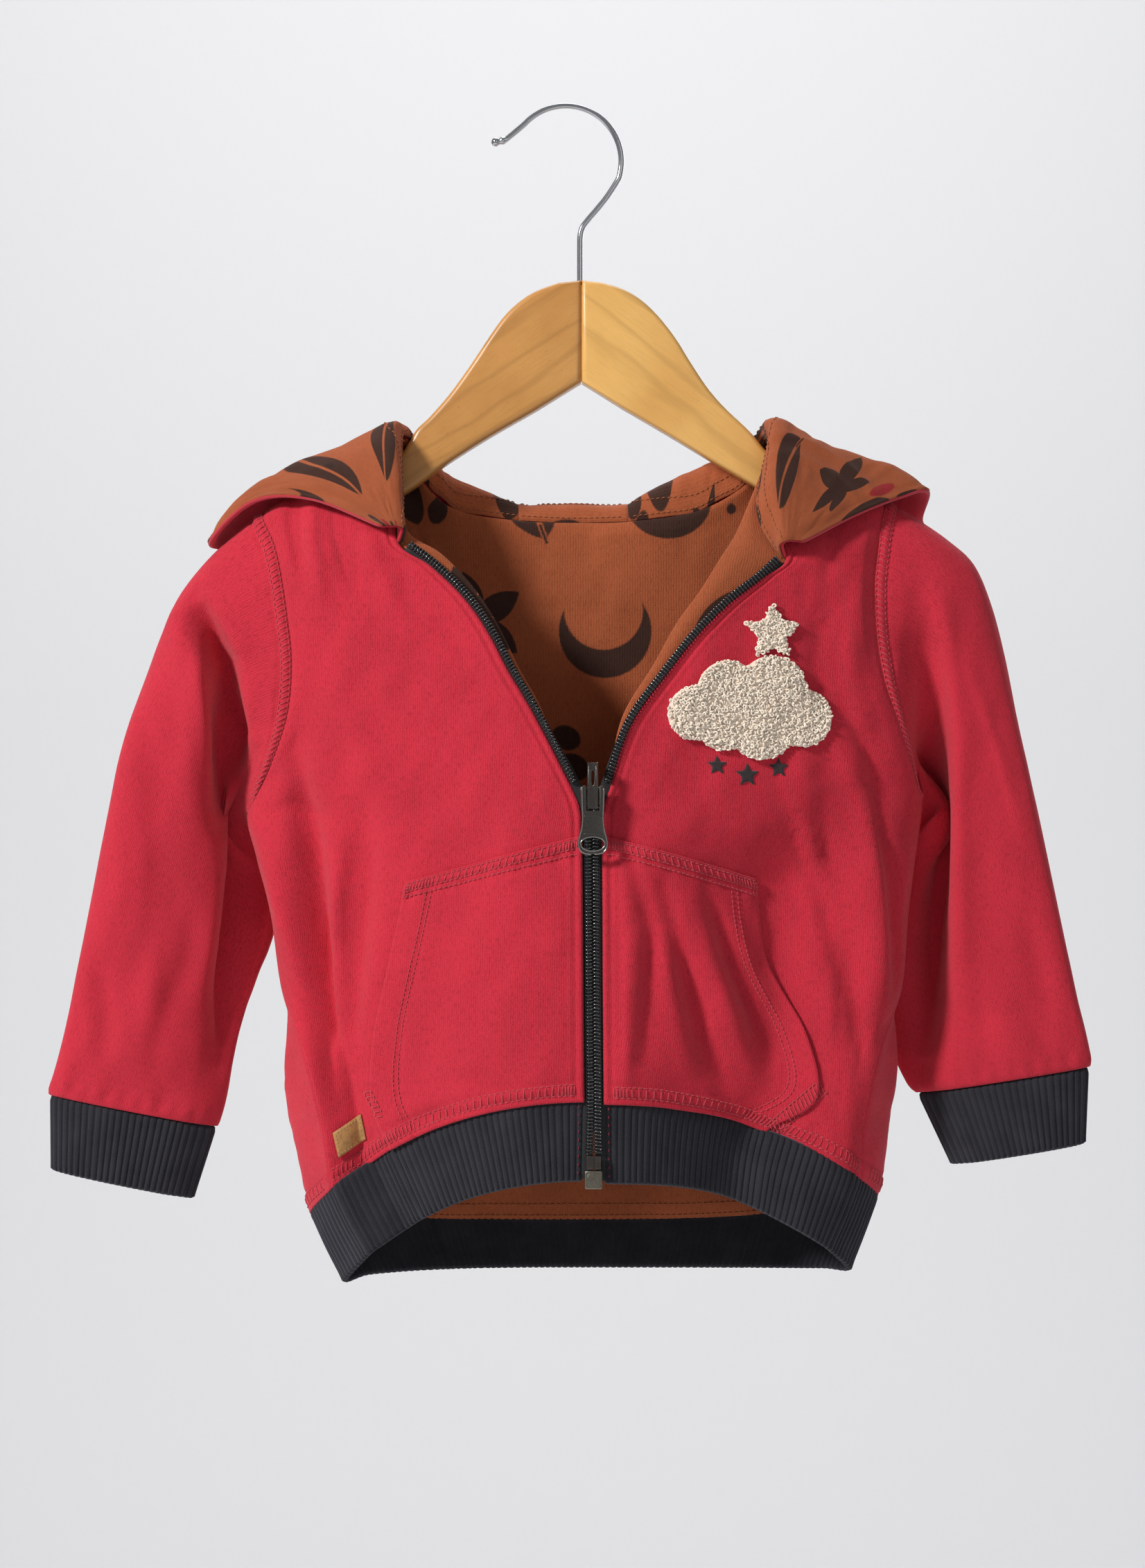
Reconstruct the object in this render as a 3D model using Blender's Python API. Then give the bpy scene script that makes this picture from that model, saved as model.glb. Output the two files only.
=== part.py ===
"""A baby's reversible zip hoodie hanging on a wooden child's hanger.

The frame is the hanger's: the origin is the inside top of the hook, +X is to the right of
someone facing the front, the front faces -Y and +Z is up. "Left" and "right" are as seen from
the front. Tables are in millimetres and are turned into metres when a mesh is made.
"""

import math

import bmesh
import bpy
import numpy as np
from mathutils import Vector
from mathutils.bvhtree import BVHTree

MM = 0.001

# ---------------------------------------------------------------- cloth thicknesses and gaps
JERSEY = 1.2            # outer jersey
LINING = 1.0            # printed lining jersey
RIB = 2.4               # ribbing, folded double
SLEEVE = 1.5            # sleeve jersey with its seam allowances
SEAM_GAP = 0.3          # between neighbouring pieces
LINING_IN = JERSEY + SEAM_GAP
PATCH_OUT = 0.5         # yarn patch above the jersey
PATCH = 2.4             # thickness of the looped-yarn patch
FELT = 1.0

# ---------------------------------------------------------------- the body of the garment
# One row for each level, from the bottom of the rib to the shoulder seam.
# side: the outermost point, and above the armpit the front edge of the armhole.
# seam_x: the side seam. split_x: the pocket opening, and a grid line above it.
# edge: the front edge at the zip, then along the V, then the neck seam.
# lining: the lining's own front edge. back: the back edge of the armhole.
LEVELS = ("rib", "hem", "low", "hip", "waist", "pocket", "slider", "armpit", "chest_1",
          "chest_2", "chest_3", "chest_4", "chest_5", "collar", "yoke", "ridge", "shoulder")
COLUMNS = ("side_x", "side_y", "side_z", "seam_x", "split_x", "edge_x", "edge_y", "edge_z",
           "lining_x", "lining_z", "back_x", "back_y")
LEFT_BODY = (
    (-92, -3, -490, -81, -60, 7.6, -47, -443, 6, -443, -92, -3),
    (-106, 0, -462, -95.5, -73, 8.4, -49, -411, 6.8, -411, -106, 0),
    (-112, 0, -435, -99, -81, 8.2, -49, -391, 6.6, -391, -112, 0),
    (-118, 0, -403, -106, -79.5, 8, -48, -366, 6.4, -366, -118, 0),
    (-117.5, 1, -370, -117.5, -73, 7.8, -46, -336, 6.2, -336, -117.5, 1),
    (-122.5, 2, -337, -122.5, -66, 7.5, -44, -304, 5.9, -304, -122.5, 2),
    (-128.5, 2, -313, -128.5, -64, 7, -43, -293, 5.4, -293, -128.5, 2),
    (-132, 2, -294, -132, -63, 3, -42, -283, 2.5, -282, -132, 2),
    (-121, -10, -273, -121, -70, -12, -41, -254, -9, -252.5, -124, 9),
    (-114, -16, -253, -114, -72, -22, -39, -237, -18.5, -235, -121, 13),
    (-112, -19, -232, -112, -76, -31, -36, -220, -27, -217.5, -119, 15),
    (-114, -19, -212, -114, -80, -41, -33, -206, -36.5, -202.5, -119, 15),
    (-117, -17, -193, -117, -87, -54.5, -30, -193, -50, -188, -121, 13),
    (-120, -13, -182, -120, -97, -68, -27, -183, -64.5, -178, -123, 11),
    (-123, -10, -176, -123, -97, -68.5, -18, -161, -66.5, -161, -124.5, 9.5),
    (-125, -7, -171.5, -125, -97, -69, -8, -139.5, -68.5, -139.5, -125.5, 7),
    (-126, 0, -169, -126, -97, -67.5, 0, -136.5, -67.5, -136.5, -126, 0),
)
RIGHT_BODY = (
    (120.5, -3, -485, 111, 82, 17.4, -47, -444, 19, -444, 120.5, -3),
    (132, 0, -455, 123, 88, 17, -49, -412, 18.6, -412, 132, 0),
    (137, 0, -430, 124, 106, 16.8, -49, -392, 18.4, -392, 137, 0),
    (143, 0, -400, 130, 102, 16.6, -48, -366, 18.2, -366, 143, 0),
    (141.5, -1, -369, 141.5, 87, 16.5, -46, -336, 18.1, -336, 141.5, -1),
    (144.5, -1, -337, 144.5, 83, 16.3, -44, -304, 17.9, -304, 144.5, -1),
    (147.5, 0, -313, 147.5, 83, 16.5, -43, -293, 18.4, -293, 147.5, 0),
    (150.5, 2, -289, 150.5, 85, 19.5, -42, -284, 19, -283, 150.5, 2),
    (145, -9, -273, 145, 90, 28, -41, -259, 24.5, -256, 147, 9),
    (139, -14, -256, 139, 93, 42, -39, -239, 37.5, -234, 144, 13),
    (133, -17, -239, 133, 96, 55.5, -36, -222, 47, -217, 140, 15),
    (129.5, -18, -219, 129.5, 99, 68.5, -33, -209, 57, -203, 136, 15),
    (129, -16, -199, 129, 105, 82.5, -30, -198, 65, -190, 134, 13),
    (131, -13, -182, 131, 113, 92, -27, -189, 71, -180, 134, 11),
    (132.5, -10, -173, 132.5, 112, 81.5, -20, -170.5, 76, -169, 134, 9.5),
    (134, -7, -167, 134, 110, 88, -8, -141.5, 87.5, -141.5, 134.5, 7),
    (135, 0, -164, 135, 110, 88.5, 0, -137.5, 88.5, -137.5, 135, 0),
)
# How round each level's section is at the front and at the back, 2 being an ellipse, how the
# grid crowds towards the side, and how far the hem curve droops.
FRONT_POWER = (2.0, 2.0, 2.0, 2.1, 2.1, 2.0, 1.9, 1.6, 1.3, 1.25, 1.2, 1.2, 1.2, 1.2, 1.2, 1.2, 1.2)
BACK_POWER = (2.6, 2.4, 2.3, 2.2, 2.2, 2.2, 2.2, 2.0)
SIDE_SPACING = (1.0, 1.0, 1.0, 1.0, 1.8, 1.8, 1.8, 1.8, 1.2, 1.1, 1.1, 1.1, 1.1, 1.1, 1.1, 1.1, 1.1)
DROOP = (1.0, 1.0, 0.8, 0.5, 0.25, 0, 0, 0, 0, 0, 0, 0, 0, 0, 0, 0, 0)
DROOP_POWER = 1.6
# The middle of the back at each level up to the armpit: depth y and height z.
BACK_MIDDLE = ((12, -486), (21, -467), (22, -440), (22, -408), (21, -373), (20, -339), (20, -314),
               (19, -292))
BACK_X = 4.0
BACK_Y_TOP = 18.5
# The back neck seam from one shoulder's neck point to the other, x, y and z.
NECKLINE = ((-67.5, 0, -136.5), (-65.6, 6, -139), (-62.4, 10, -146.5), (-56.5, 12.5, -157.5),
            (-44.5, 15, -167.5), (-19, 18, -171.6), (4, 18.5, -172.5), (28, 18, -172),
            (56, 15, -168), (75, 12.5, -158), (83.5, 10, -147), (87, 6, -140), (88.5, 0, -137.5))
LEVEL = {name: index for index, name in enumerate(LEVELS)}
ARMPIT = LEVEL["armpit"]
COLLAR = LEVEL["collar"]
SHOULDER = LEVEL["shoulder"]
FRONT_SIDE_COLUMNS = 5
FRONT_MIDDLE_COLUMNS = 7

# The largest folds: a path of x and z, with depth and half width.
BODY_FOLDS = (
    (((-112, -262), (-109, -308), (-108, -372)), 3.0, 7.0),
    (((-80, -294), (-85, -332), (-98, -368), (-100, -394)), 2.6, 7.0),
    (((28, -321), (38, -346), (33, -408)), 2.2, 7.0),
    (((40, -332), (55, -383), (67, -413)), 2.2, 7.0),
    (((118, -275), (127, -305), (131, -350)), 2.5, 6.0),
)
SLEEVE_FOLDS = {
    "left": ((((-150, -219), (-136, -245), (-138, -266), (-140, -286), (-133, -302)), 6.0, 7.0),),
    "right": ((((152, -216), (156, -274), (153, -331), (152, -383)), 5.0, 8.0),),
}

# ---------------------------------------------------------------- sleeves and cuffs
# A row for each ring below the armhole: outer x z, inner x z, outer y, inner y, front and
# back depth. The last ring is the cuff seam.
LEFT_SLEEVE = (
    (-146, -186, -134.5, -301, 0, 8, 20, 16),
    (-162, -206.5, -131.5, -315, 0, 12, 19, 15),
    (-172, -231.5, -128, -330, 0, 15, 18, 14),
    (-182.5, -260.5, -126.5, -346, -1, 14, 17, 13),
    (-187.5, -282, -128.5, -359, -2, 12, 16, 12),
    (-194, -315.5, -133.5, -376, -3, 8, 14, 11),
    (-201.5, -354.5, -138.5, -396, -4, 4, 12, 10),
    (-208.5, -389, -141, -414, -5, 0, 11, 9),
    (-215, -411.5, -143.5, -425.5, -5, -2, 10, 9),
)
RIGHT_SLEEVE = (
    (156, -177, 152.5, -297, 0, 8, 20, 16),
    (173, -192.5, 151.5, -312, 0, 13, 19, 15),
    (183, -221.5, 147, -328, 0, 17, 18, 14),
    (191, -260.5, 143.5, -347, -1, 18, 17, 13),
    (198, -292, 141.5, -363, -2, 18, 16, 12),
    (206, -330.5, 141.5, -380, -3, 17, 14, 11),
    (214, -369, 143, -396, -4, 13, 12, 10),
    (219, -390, 145.5, -406.5, -5, 9, 11, 9),
    (220.5, -400, 148, -412.5, -5, 7, 10, 9),
)
LEFT_CUFF = ((-213.8, -412.5, -144.8, -426.2, -5, -2, 9, 8), (-213.5, -442.5, -154, -455, -5, -2, 8, 7))
RIGHT_CUFF = ((219.3, -401, 149.3, -413.2, -5, 7, 9, 8), (218, -431.5, 162.5, -441.5, -5, 4, 8, 7))
SLEEVE_RINGS = 15

# ---------------------------------------------------------------- hood
# The red outer face of the hood at stations round the neck, each a path from the neck seam
# over the crest, down to the pouch's bottom and up to the rim. Columns: place along the neck
# seam, counted in its points from the zip end; neck, crest, fall, fall, bottom, bottom, rise, rim.
LEFT_HOOD = (
    (0, (-68, -27.3, -182.5), (-66.5, -31, -178.8), (-67.5, -31.8, -177.6),
     (-69, -31.8, -177.3), (-70.6, -31.6, -177.2), (-71.4, -31.5, -177.2),
     (-72.2, -31.3, -177.3), (-73.8, -31, -177.5)),
    (0.5, (-68.3, -23, -172), (-67, -28, -165), (-69, -28.5, -162.3),
     (-74, -27, -163.5), (-79.5, -25.5, -165.5), (-82, -24.8, -166.8),
     (-84.5, -24, -168), (-89.5, -23, -170.5)),
    (1.3, (-68.7, -15, -154), (-69.8, -18.5, -147), (-72, -19, -144.5),
     (-80, -18, -148), (-91, -16.5, -153.5), (-96.2, -16, -156),
     (-101.5, -15.5, -158.5), (-111.5, -15, -163.2)),
    (2, (-69, -8, -139.5), (-70.5, -10.5, -135.5), (-74, -11, -135.5),
     (-87, -10, -143), (-103, -9.5, -151), (-109.5, -9.2, -154.5),
     (-116, -9, -158), (-128, -10, -166)),
    (3, (-67.5, 0, -136.5), (-67.8, -1, -134.6), (-73.4, -1, -135),
     (-93, -1, -144.7), (-113, -1, -153), (-123, -1.5, -158.4),
     (-133, -2, -163.9), (-146, -4, -182)),
    (4, (-65.6, 6, -139), (-66, 9.5, -135.8), (-71.5, 12.5, -137),
     (-90, 17, -152), (-117, 19, -174), (-125, 21, -178.5),
     (-133, 22, -183), (-142, 18, -184)),
    (6, (-56.5, 12.5, -157.5), (-58.5, 16.5, -146), (-71, 21, -151),
     (-93, 29, -172), (-114, 34.5, -200), (-124, 41, -208),
     (-131, 47, -199), (-135, 46, -185)),
    (7, (-44.5, 15, -167.5), (-47.5, 20, -154.5), (-54, 27, -175),
     (-69, 32, -222), (-77.8, 35, -258), (-83.5, 45, -261),
     (-88, 50, -236), (-91, 50, -190)),
    (8, (-19, 18, -171.6), (-19.8, 23.5, -166.8), (-21.5, 29, -199),
     (-26, 31, -258), (-29.5, 36.5, -297), (-30.2, 47.5, -298),
     (-32, 53, -250), (-33, 53, -190)),
)
HOOD_MIDDLE = (1, (4, 18.5, -172.5), (4, 24, -166.8), (4, 29.5, -202),
               (4, 32, -262), (4, 37.5, -305), (4, 48.5, -306),
               (4, 55, -253), (4, 54, -191))
RIGHT_HOOD = (
    (0, (92, -27.3, -188.8), (90.5, -31, -185), (91.5, -31.8, -183.6),
     (93, -31.8, -183.2), (94.6, -31.6, -183.2), (95.4, -31.5, -183.3),
     (96.2, -31.3, -183.4), (97.8, -31, -183.8)),
    (0.5, (87, -23.5, -179.5), (88, -29, -173), (90, -29, -170.5),
     (95.5, -27.5, -172), (101, -26, -174), (103.5, -25.2, -175),
     (106, -24.5, -176), (110.5, -23.5, -177.5)),
    (1.3, (82.5, -17, -162), (87.5, -20, -154), (90, -20.5, -150),
     (98.5, -19.5, -152.5), (109.5, -17.5, -158), (114.2, -16.8, -160.8),
     (119, -16, -163.5), (127, -15, -168)),
    (2, (88, -8, -141.5), (87.8, -11, -136), (90.5, -12, -135),
     (101, -11, -142), (115, -10, -150), (122, -9.5, -153.5),
     (129, -9, -157), (141, -10, -163.5)),
    (3, (88.5, 0, -137.5), (86.5, -1, -132.5), (93, -1, -134.3),
     (107, -1, -143.2), (123, -1, -149), (131, -1.5, -151.2),
     (139, -2, -153.5), (151.5, -4, -161.5)),
    (4, (87, 6, -140), (85.5, 8.5, -134), (91.5, 12.5, -136),
     (108, 17, -150), (129, 19, -170), (135.5, 21, -173),
     (142, 22, -176), (152, 18, -171)),
    (6, (75, 12.5, -158), (76, 16.5, -145), (89, 21, -149),
     (110, 29, -168), (131, 34.5, -195), (140, 41, -203),
     (147.5, 47, -194), (152, 45, -177)),
    (7, (56, 15, -168), (58.5, 20, -150.5), (67, 27, -174),
     (84, 32, -221), (93, 35, -256), (99, 45, -259),
     (103, 50, -234), (105, 50, -184)),
    (8, (28, 18, -172), (28, 23.5, -166.8), (29.5, 29, -199),
     (33, 31, -258), (37.4, 36.5, -297), (38.2, 47.5, -298),
     (40, 53, -250), (41, 53, -189)),
)
HOOD_PLACES = (0, 1, 2, 3, 4, 5, 6, 6.5, 7, 7.5, 8)
STRIP_PLACES = (0, 1, 2)
HOOD_STEPS = (0, 0.5, 1, 1.4, 2, 2.5, 3, 3.5, 4, 4.33, 4.67, 5, 5.6, 6.3, 7)

# ---------------------------------------------------------------- zip
TAPE_LOW, TAPE_HIGH = 0.3, 4.0      # tape, measured inward from the front edge
COIL_LOW = 1.5                      # outer side of the coil on the tape
TAPE = 0.8
COIL = 1.6
SLIDER_X = 12.2
SLIDER_FRONT_Y = -47.6              # front face of the slider's front plate
SLIDER_TOP, SLIDER_BOTTOM = -283.0, -290.5
SLIDER_WIDTH = 10.6
RAIL_TOP, RAIL_BOTTOM = -274.0, -289.4
RAIL_WIDTH = 4.6
RAIL_WIRE = 1.2
PIVOT_Y = -49.9                     # the crosspin of the pull tab
PIVOT_Z = -284.6
PIN_RADIUS = 0.7
PULL_BACK_Y, PULL_FRONT_Y = -51.0, -52.5
PULL_LENGTH = 27.5
PULL_WIDTH = 12.4
SLOT_WIDTH = 5.4
SLOT_DEPTH = 6.0

# ---------------------------------------------------------------- hanger and hook
BOARD = 12.0                        # thickness of the wood
BOARD_ROUND = 2.6
JOINT_X = 7.7                       # the joint between the two halves
WIRE = 2.4
HOOK_RADIUS = 23.2                  # to the middle of the wire
HOOK_CENTRE = (1.2, -WIRE / 2 + 2.4 - HOOK_RADIUS)
SHANK_X = 7.1
SHANK_BOTTOM = -92.0
SOCKET_RADIUS = 1.5
# Outlines of the halves, x and z, from the top of the joint out along the top and back.
LEFT_BOARD = ((-1.8, -73.4), (-11.5, -77), (-19, -82), (-25, -88), (-31, -96.4), (-38.3, -107.4),
              (-47, -119.5), (-55.4, -129.2), (-61, -133.6), (-64, -142.5),
              (-68, -145.5), (-133, -183), (-139, -189), (-136.5, -197), (-65.2, -161.5), (-49.3, -149), (-31, -138), (-11.5, -126.8))
RIGHT_BOARD = ((16.4, -73.3), (25.1, -76), (32.4, -80.3), (39.6, -87), (47, -96.4), (53.1, -106.2),
               (60.4, -117.2), (67.7, -125.6), (79.5, -136.5), (84.5, -144.8),
               (90, -149), (145, -182.5), (151, -188), (148.5, -197), (84.8, -161.6), (59.2, -146), (42.2, -135.8), (25.1, -125.8))
BOARD_TOP, BOARD_NOTCH = -72.4, -115.0

# ---------------------------------------------------------------- trim on the panels
LABEL_CORNERS = ((-94.6, -426.5), (-83.3, -419), (-81.2, -429), (-92.4, -436.3))
CLOUD_LOBES = ((-22, -4, 11), (-9, 6, 13), (9, 9, 14), (23, -1, 12), (6, -6, 14), (-10, -7, 11))
CLOUD_CENTRE = (76.0, -252.0)
CLOUD_TILT = math.radians(-6)
STARS = (("motif_star", 86, -220.5, 11.5, "wool", PATCH), ("motif_felt_1", 63, -275, 4.2, "felt", FELT),
         ("motif_felt_2", 75.5, -279, 5.0, "felt", FELT), ("motif_felt_3", 88.5, -276, 4.2, "felt", FELT))
STAR_WAIST = 0.5                    # inner radius of a star, as a share of its outer one


# ================================================================ materials and mesh helpers
PAINTS = {
    "jersey_red": ((0.62, 0.035, 0.055), 0.85, 0.0),
    "jersey_rust": ((0.42, 0.13, 0.04), 0.85, 0.0),
    "rib_charcoal": ((0.028, 0.028, 0.034), 0.9, 0.0),
    "zip_tape": ((0.012, 0.012, 0.013), 0.8, 0.0),
    "zip_coil": ((0.015, 0.015, 0.016), 0.3, 0.0),
    "gunmetal": ((0.10, 0.10, 0.105), 0.35, 1.0),
    "leather": ((0.45, 0.22, 0.07), 0.6, 0.0),
    "wool": ((0.60, 0.52, 0.42), 0.95, 0.0),
    "felt": ((0.03, 0.02, 0.022), 0.95, 0.0),
    "wood_left": ((0.52, 0.26, 0.09), 0.45, 0.0),
    "wood_right": ((0.72, 0.43, 0.17), 0.45, 0.0),
    "chrome": ((0.65, 0.66, 0.68), 0.15, 1.0),
}


def clear_scene():
    for item in list(bpy.data.objects):
        bpy.data.objects.remove(item, do_unlink=True)


def paint(name, piece):
    colour, roughness, metallic = PAINTS[name]
    material = bpy.data.materials.new(piece + "_" + name)
    material.use_nodes = True
    shader = material.node_tree.nodes["Principled BSDF"]
    shader.inputs["Base Color"].default_value = (*colour, 1.0)
    shader.inputs["Roughness"].default_value = roughness
    shader.inputs["Metallic"].default_value = metallic
    material.diffuse_color = (*colour, 1.0)
    return material


def add_object(name, points, faces, paint_name, smooth=True):
    """An object from points in millimetres, with its faces turned outward."""
    mesh = bpy.data.meshes.new(name)
    mesh.from_pydata([Vector(point) * MM for point in points], [], faces)
    work = bmesh.new()
    work.from_mesh(mesh)
    bmesh.ops.recalc_face_normals(work, faces=work.faces)
    if work.calc_volume(signed=True) < 0:
        bmesh.ops.reverse_faces(work, faces=work.faces)
    bmesh.ops.triangulate(work, faces=[face for face in work.faces if len(face.verts) == 4])
    work.to_mesh(mesh)
    work.free()
    mesh.materials.append(paint(paint_name, name))
    item = bpy.data.objects.new(name, mesh)
    bpy.context.collection.objects.link(item)
    if smooth:
        mesh.shade_smooth()
        mesh.set_sharp_from_angle(angle=math.radians(40))
    return item


def spline(knots, at):
    """A Catmull-Rom curve through the knots, at a float index."""
    knots = np.asarray(knots, dtype=float)
    at = min(max(at, 0.0), len(knots) - 1.0)
    low = min(int(at), len(knots) - 2)
    part = at - low
    first, second = knots[low], knots[low + 1]
    before = knots[low - 1] if low > 0 else 2 * first - second
    after = knots[low + 2] if low + 2 < len(knots) else 2 * second - first
    slope_a, slope_b = (second - before) / 2, (after - first) / 2
    a, b = 2 * first - 2 * second + slope_a + slope_b, -3 * first + 3 * second - 2 * slope_a - slope_b
    return ((a * part + b) * part + slope_a) * part + first


def unit(vector):
    return vector / max(np.linalg.norm(vector), 1e-9)


def grid_normals(points, sign=1.0, ring=False):
    """Unit normals of a grid, which halve the angle between each point's neighbours."""
    rows, columns = points.shape[:2]
    normals = np.zeros_like(points)
    for i in range(rows):
        for j in range(columns):
            here = points[i, j]
            across = along = 0
            if ring or j > 0:
                across = across + unit(here - points[i, j - 1])
            if ring or j < columns - 1:
                across = across + unit(points[i, (j + 1) % columns] - here)
            if i > 0:
                along = along + unit(here - points[i - 1, j])
            if i < rows - 1:
                along = along + unit(points[i + 1, j] - here)
            normals[i, j] = sign * unit(np.cross(across, along))
    return normals


def share(first, second, least=0.2):
    """The common normal of two pieces that meet at a seam, unless they meet in a sharp fold."""
    if np.dot(first, second) < least:
        return first, second
    both = unit(first + second)
    return both, both


def wall(name, points, normals, outside, thickness, paint_name, ring=False):
    """A closed wall between points moved outside along their normals and thickness less."""
    rows, columns = points.shape[:2]
    front = points + normals * outside
    rear = points + normals * (outside - thickness)
    places = list(front.reshape(-1, 3)) + list(rear.reshape(-1, 3))
    half = rows * columns
    faces = []
    spans = columns if ring else columns - 1
    for i in range(rows - 1):
        for j in range(spans):
            k = (j + 1) % columns
            a, b, c, d = i * columns + j, i * columns + k, (i + 1) * columns + k, (i + 1) * columns + j
            faces.append((a, b, c, d))
            faces.append((half + a, half + d, half + c, half + b))
    for j in range(spans):
        k = (j + 1) % columns
        top = (rows - 1) * columns
        faces.append((k, j, half + j, half + k))
        faces.append((top + j, top + k, half + top + k, half + top + j))
    if not ring:
        for i in range(rows - 1):
            a, b = i * columns, (i + 1) * columns
            c, d = a + columns - 1, b + columns - 1
            faces.append((a, b, half + b, half + a))
            faces.append((d, c, half + c, half + d))
    return add_object(name, places, faces, paint_name)


def pull_in(points, rows=SEAM_GAP / 2, sides=SEAM_GAP / 2, first_row=True):
    """Move the edges of a grid towards its middle, its first and last rows and its two sides."""
    out = points.copy()
    if first_row:
        out[0] += np.array([unit(v) for v in points[1] - points[0]]) * rows
    out[-1] += np.array([unit(v) for v in points[-2] - points[-1]]) * rows
    if sides:
        out[:, 0] += np.array([unit(v) for v in points[:, 1] - points[:, 0]]) * sides
        out[:, -1] += np.array([unit(v) for v in points[:, -2] - points[:, -1]]) * sides
    return out


def sweep(name, sections, paint_name):
    """A closed tube through sections that all have the same number of corners."""
    count = len(sections[0])
    places = [corner for section in sections for corner in section]
    faces = [tuple(range(count))[::-1]]
    for i in range(len(sections) - 1):
        for j in range(count):
            k = (j + 1) % count
            faces.append((i * count + j, i * count + k, (i + 1) * count + k, (i + 1) * count + j))
    last = (len(sections) - 1) * count
    faces.append(tuple(last + j for j in range(count)))
    return add_object(name, places, faces, paint_name)


def block(name, x, y, z, paint_name, bevel=0.0):
    """A box between low and high values of x, y and z, with rounded edges if asked."""
    places = [(x[i], y[j], z[k]) for i in (0, 1) for j in (0, 1) for k in (0, 1)]
    faces = [(0, 1, 3, 2), (4, 6, 7, 5), (0, 4, 5, 1), (2, 3, 7, 6), (0, 2, 6, 4), (1, 5, 7, 3)]
    item = add_object(name, places, faces, paint_name)
    if bevel:
        rounding = item.modifiers.new("edges", "BEVEL")
        rounding.width = bevel * MM
        rounding.segments = 2
    return item


def cut_or_join(item, tool, operation):
    """A Boolean with a hidden tool object."""
    tool.hide_render = True
    tool.display_type = "WIRE"
    tool.hide_set(True)
    modifier = item.modifiers.new(operation.lower(), "BOOLEAN")
    modifier.operation = operation
    modifier.solver = "EXACT"
    modifier.object = tool


# ================================================================ the body's surface
def fold_depth(folds, x, z):
    """How far the cloth sinks at x and z: soft troughs that fade at both ends."""
    total = 0.0
    for path, depth, width in folds:
        nearest = 1e9
        fade = 1.0
        for index in range(len(path) - 1):
            (ax, az), (bx, bz) = path[index], path[index + 1]
            length = math.hypot(bx - ax, bz - az)
            raw = ((x - ax) * (bx - ax) + (z - az) * (bz - az)) / (length * length)
            part = min(max(raw, 0.0), 1.0)
            gap = math.hypot(x - ax - part * (bx - ax), z - az - part * (bz - az))
            if gap < nearest:
                nearest = gap
                along = (index + part) / (len(path) - 1)
                fade = math.sin(math.pi * min(max(along, 0.0), 1.0)) ** 0.5
        total += depth * fade * math.exp(-(nearest / width) ** 2)
    return total


def body_row(table, level):
    """A level's row; the front edge has a corner at the collar, so it is read in two runs."""
    if level <= COLLAR:
        return dict(zip(COLUMNS, spline(table[:COLLAR + 1], level)))
    return dict(zip(COLUMNS, spline(table[COLLAR:], level - COLLAR)))


def front_point(table, level, angle):
    """A point of a front: angle 0 is the side, a quarter turn is the front edge."""
    row = body_row(table, level)
    power = float(spline(FRONT_POWER, level))
    across = 1 - max(math.cos(angle), 0.0) ** (2 / power)
    deep = math.sin(angle) ** (2 / power)
    droop = float(spline(DROOP, level))
    rise = droop * deep ** DROOP_POWER + (1 - droop) * across
    x = row["side_x"] + (row["edge_x"] - row["side_x"]) * across
    y = row["side_y"] + (row["edge_y"] - row["side_y"]) * deep
    z = row["side_z"] + (row["edge_z"] - row["side_z"]) * rise
    return np.array((x, y + fold_depth(BODY_FOLDS, x, z), z))


def front_angles(table, level):
    """Angles of a front's grid columns: from the side seam to the split, then to the edge."""
    row = body_row(table, level)
    power = float(spline(FRONT_POWER, level))
    spacing = float(spline(SIDE_SPACING, level))
    width = row["edge_x"] - row["side_x"]
    seam, split = ((row[key] - row["side_x"]) / width for key in ("seam_x", "split_x"))
    angles = []
    for i in range(FRONT_SIDE_COLUMNS + 1):
        across = seam + (split - seam) * (i / FRONT_SIDE_COLUMNS) ** spacing
        angles.append(math.acos(max(1 - across, 0.0) ** (power / 2)))
    for i in range(1, FRONT_MIDDLE_COLUMNS + 1):
        left_over = (1 - split) * (1 - i / FRONT_MIDDLE_COLUMNS) ** min(power, 1.5)
        angles.append(math.acos(left_over ** (power / 2)))
    return angles


def front_grid(table, levels):
    return np.array([[front_point(table, level, angle) for angle in front_angles(table, level)]
                     for level in levels])


def lower_back_point(level, place):
    """The back below the armpits: place runs from 0, the left side, to 1, the right one."""
    row = body_row(LEFT_BODY if place < 0.5 else RIGHT_BODY, level)
    power = float(spline(BACK_POWER, level))
    middle_y, middle_z = spline(BACK_MIDDLE, level)
    across = 1 - abs(2 * place - 1)
    deep = (1 - (1 - across) ** power) ** (1 / power)
    x = row["side_x"] + (BACK_X - row["side_x"]) * across
    y = row["side_y"] + (middle_y - row["side_y"]) * deep
    z = row["side_z"] + (middle_z - row["side_z"]) * deep ** DROOP_POWER
    return np.array((x, y, z))


def back_edge(table, level):
    row = body_row(table, level)
    return np.array((row["back_x"], row["back_y"], row["side_z"]))


TIP_LEFT, TIP_RIGHT = LEFT_BODY[SHOULDER][0], RIGHT_BODY[SHOULDER][0]
NECK_PLACES = [(x - TIP_LEFT) / (TIP_RIGHT - TIP_LEFT) for x, _, _ in NECKLINE]
NECK_START, NECK_END = NECK_PLACES[0], NECK_PLACES[-1]
NECK_STEPS = len(NECKLINE) - 1
BACK_PLACES = [0.012, 0.045, 0.1, 0.16] + NECK_PLACES + [0.88, 0.92, 0.96, 0.988]


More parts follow.
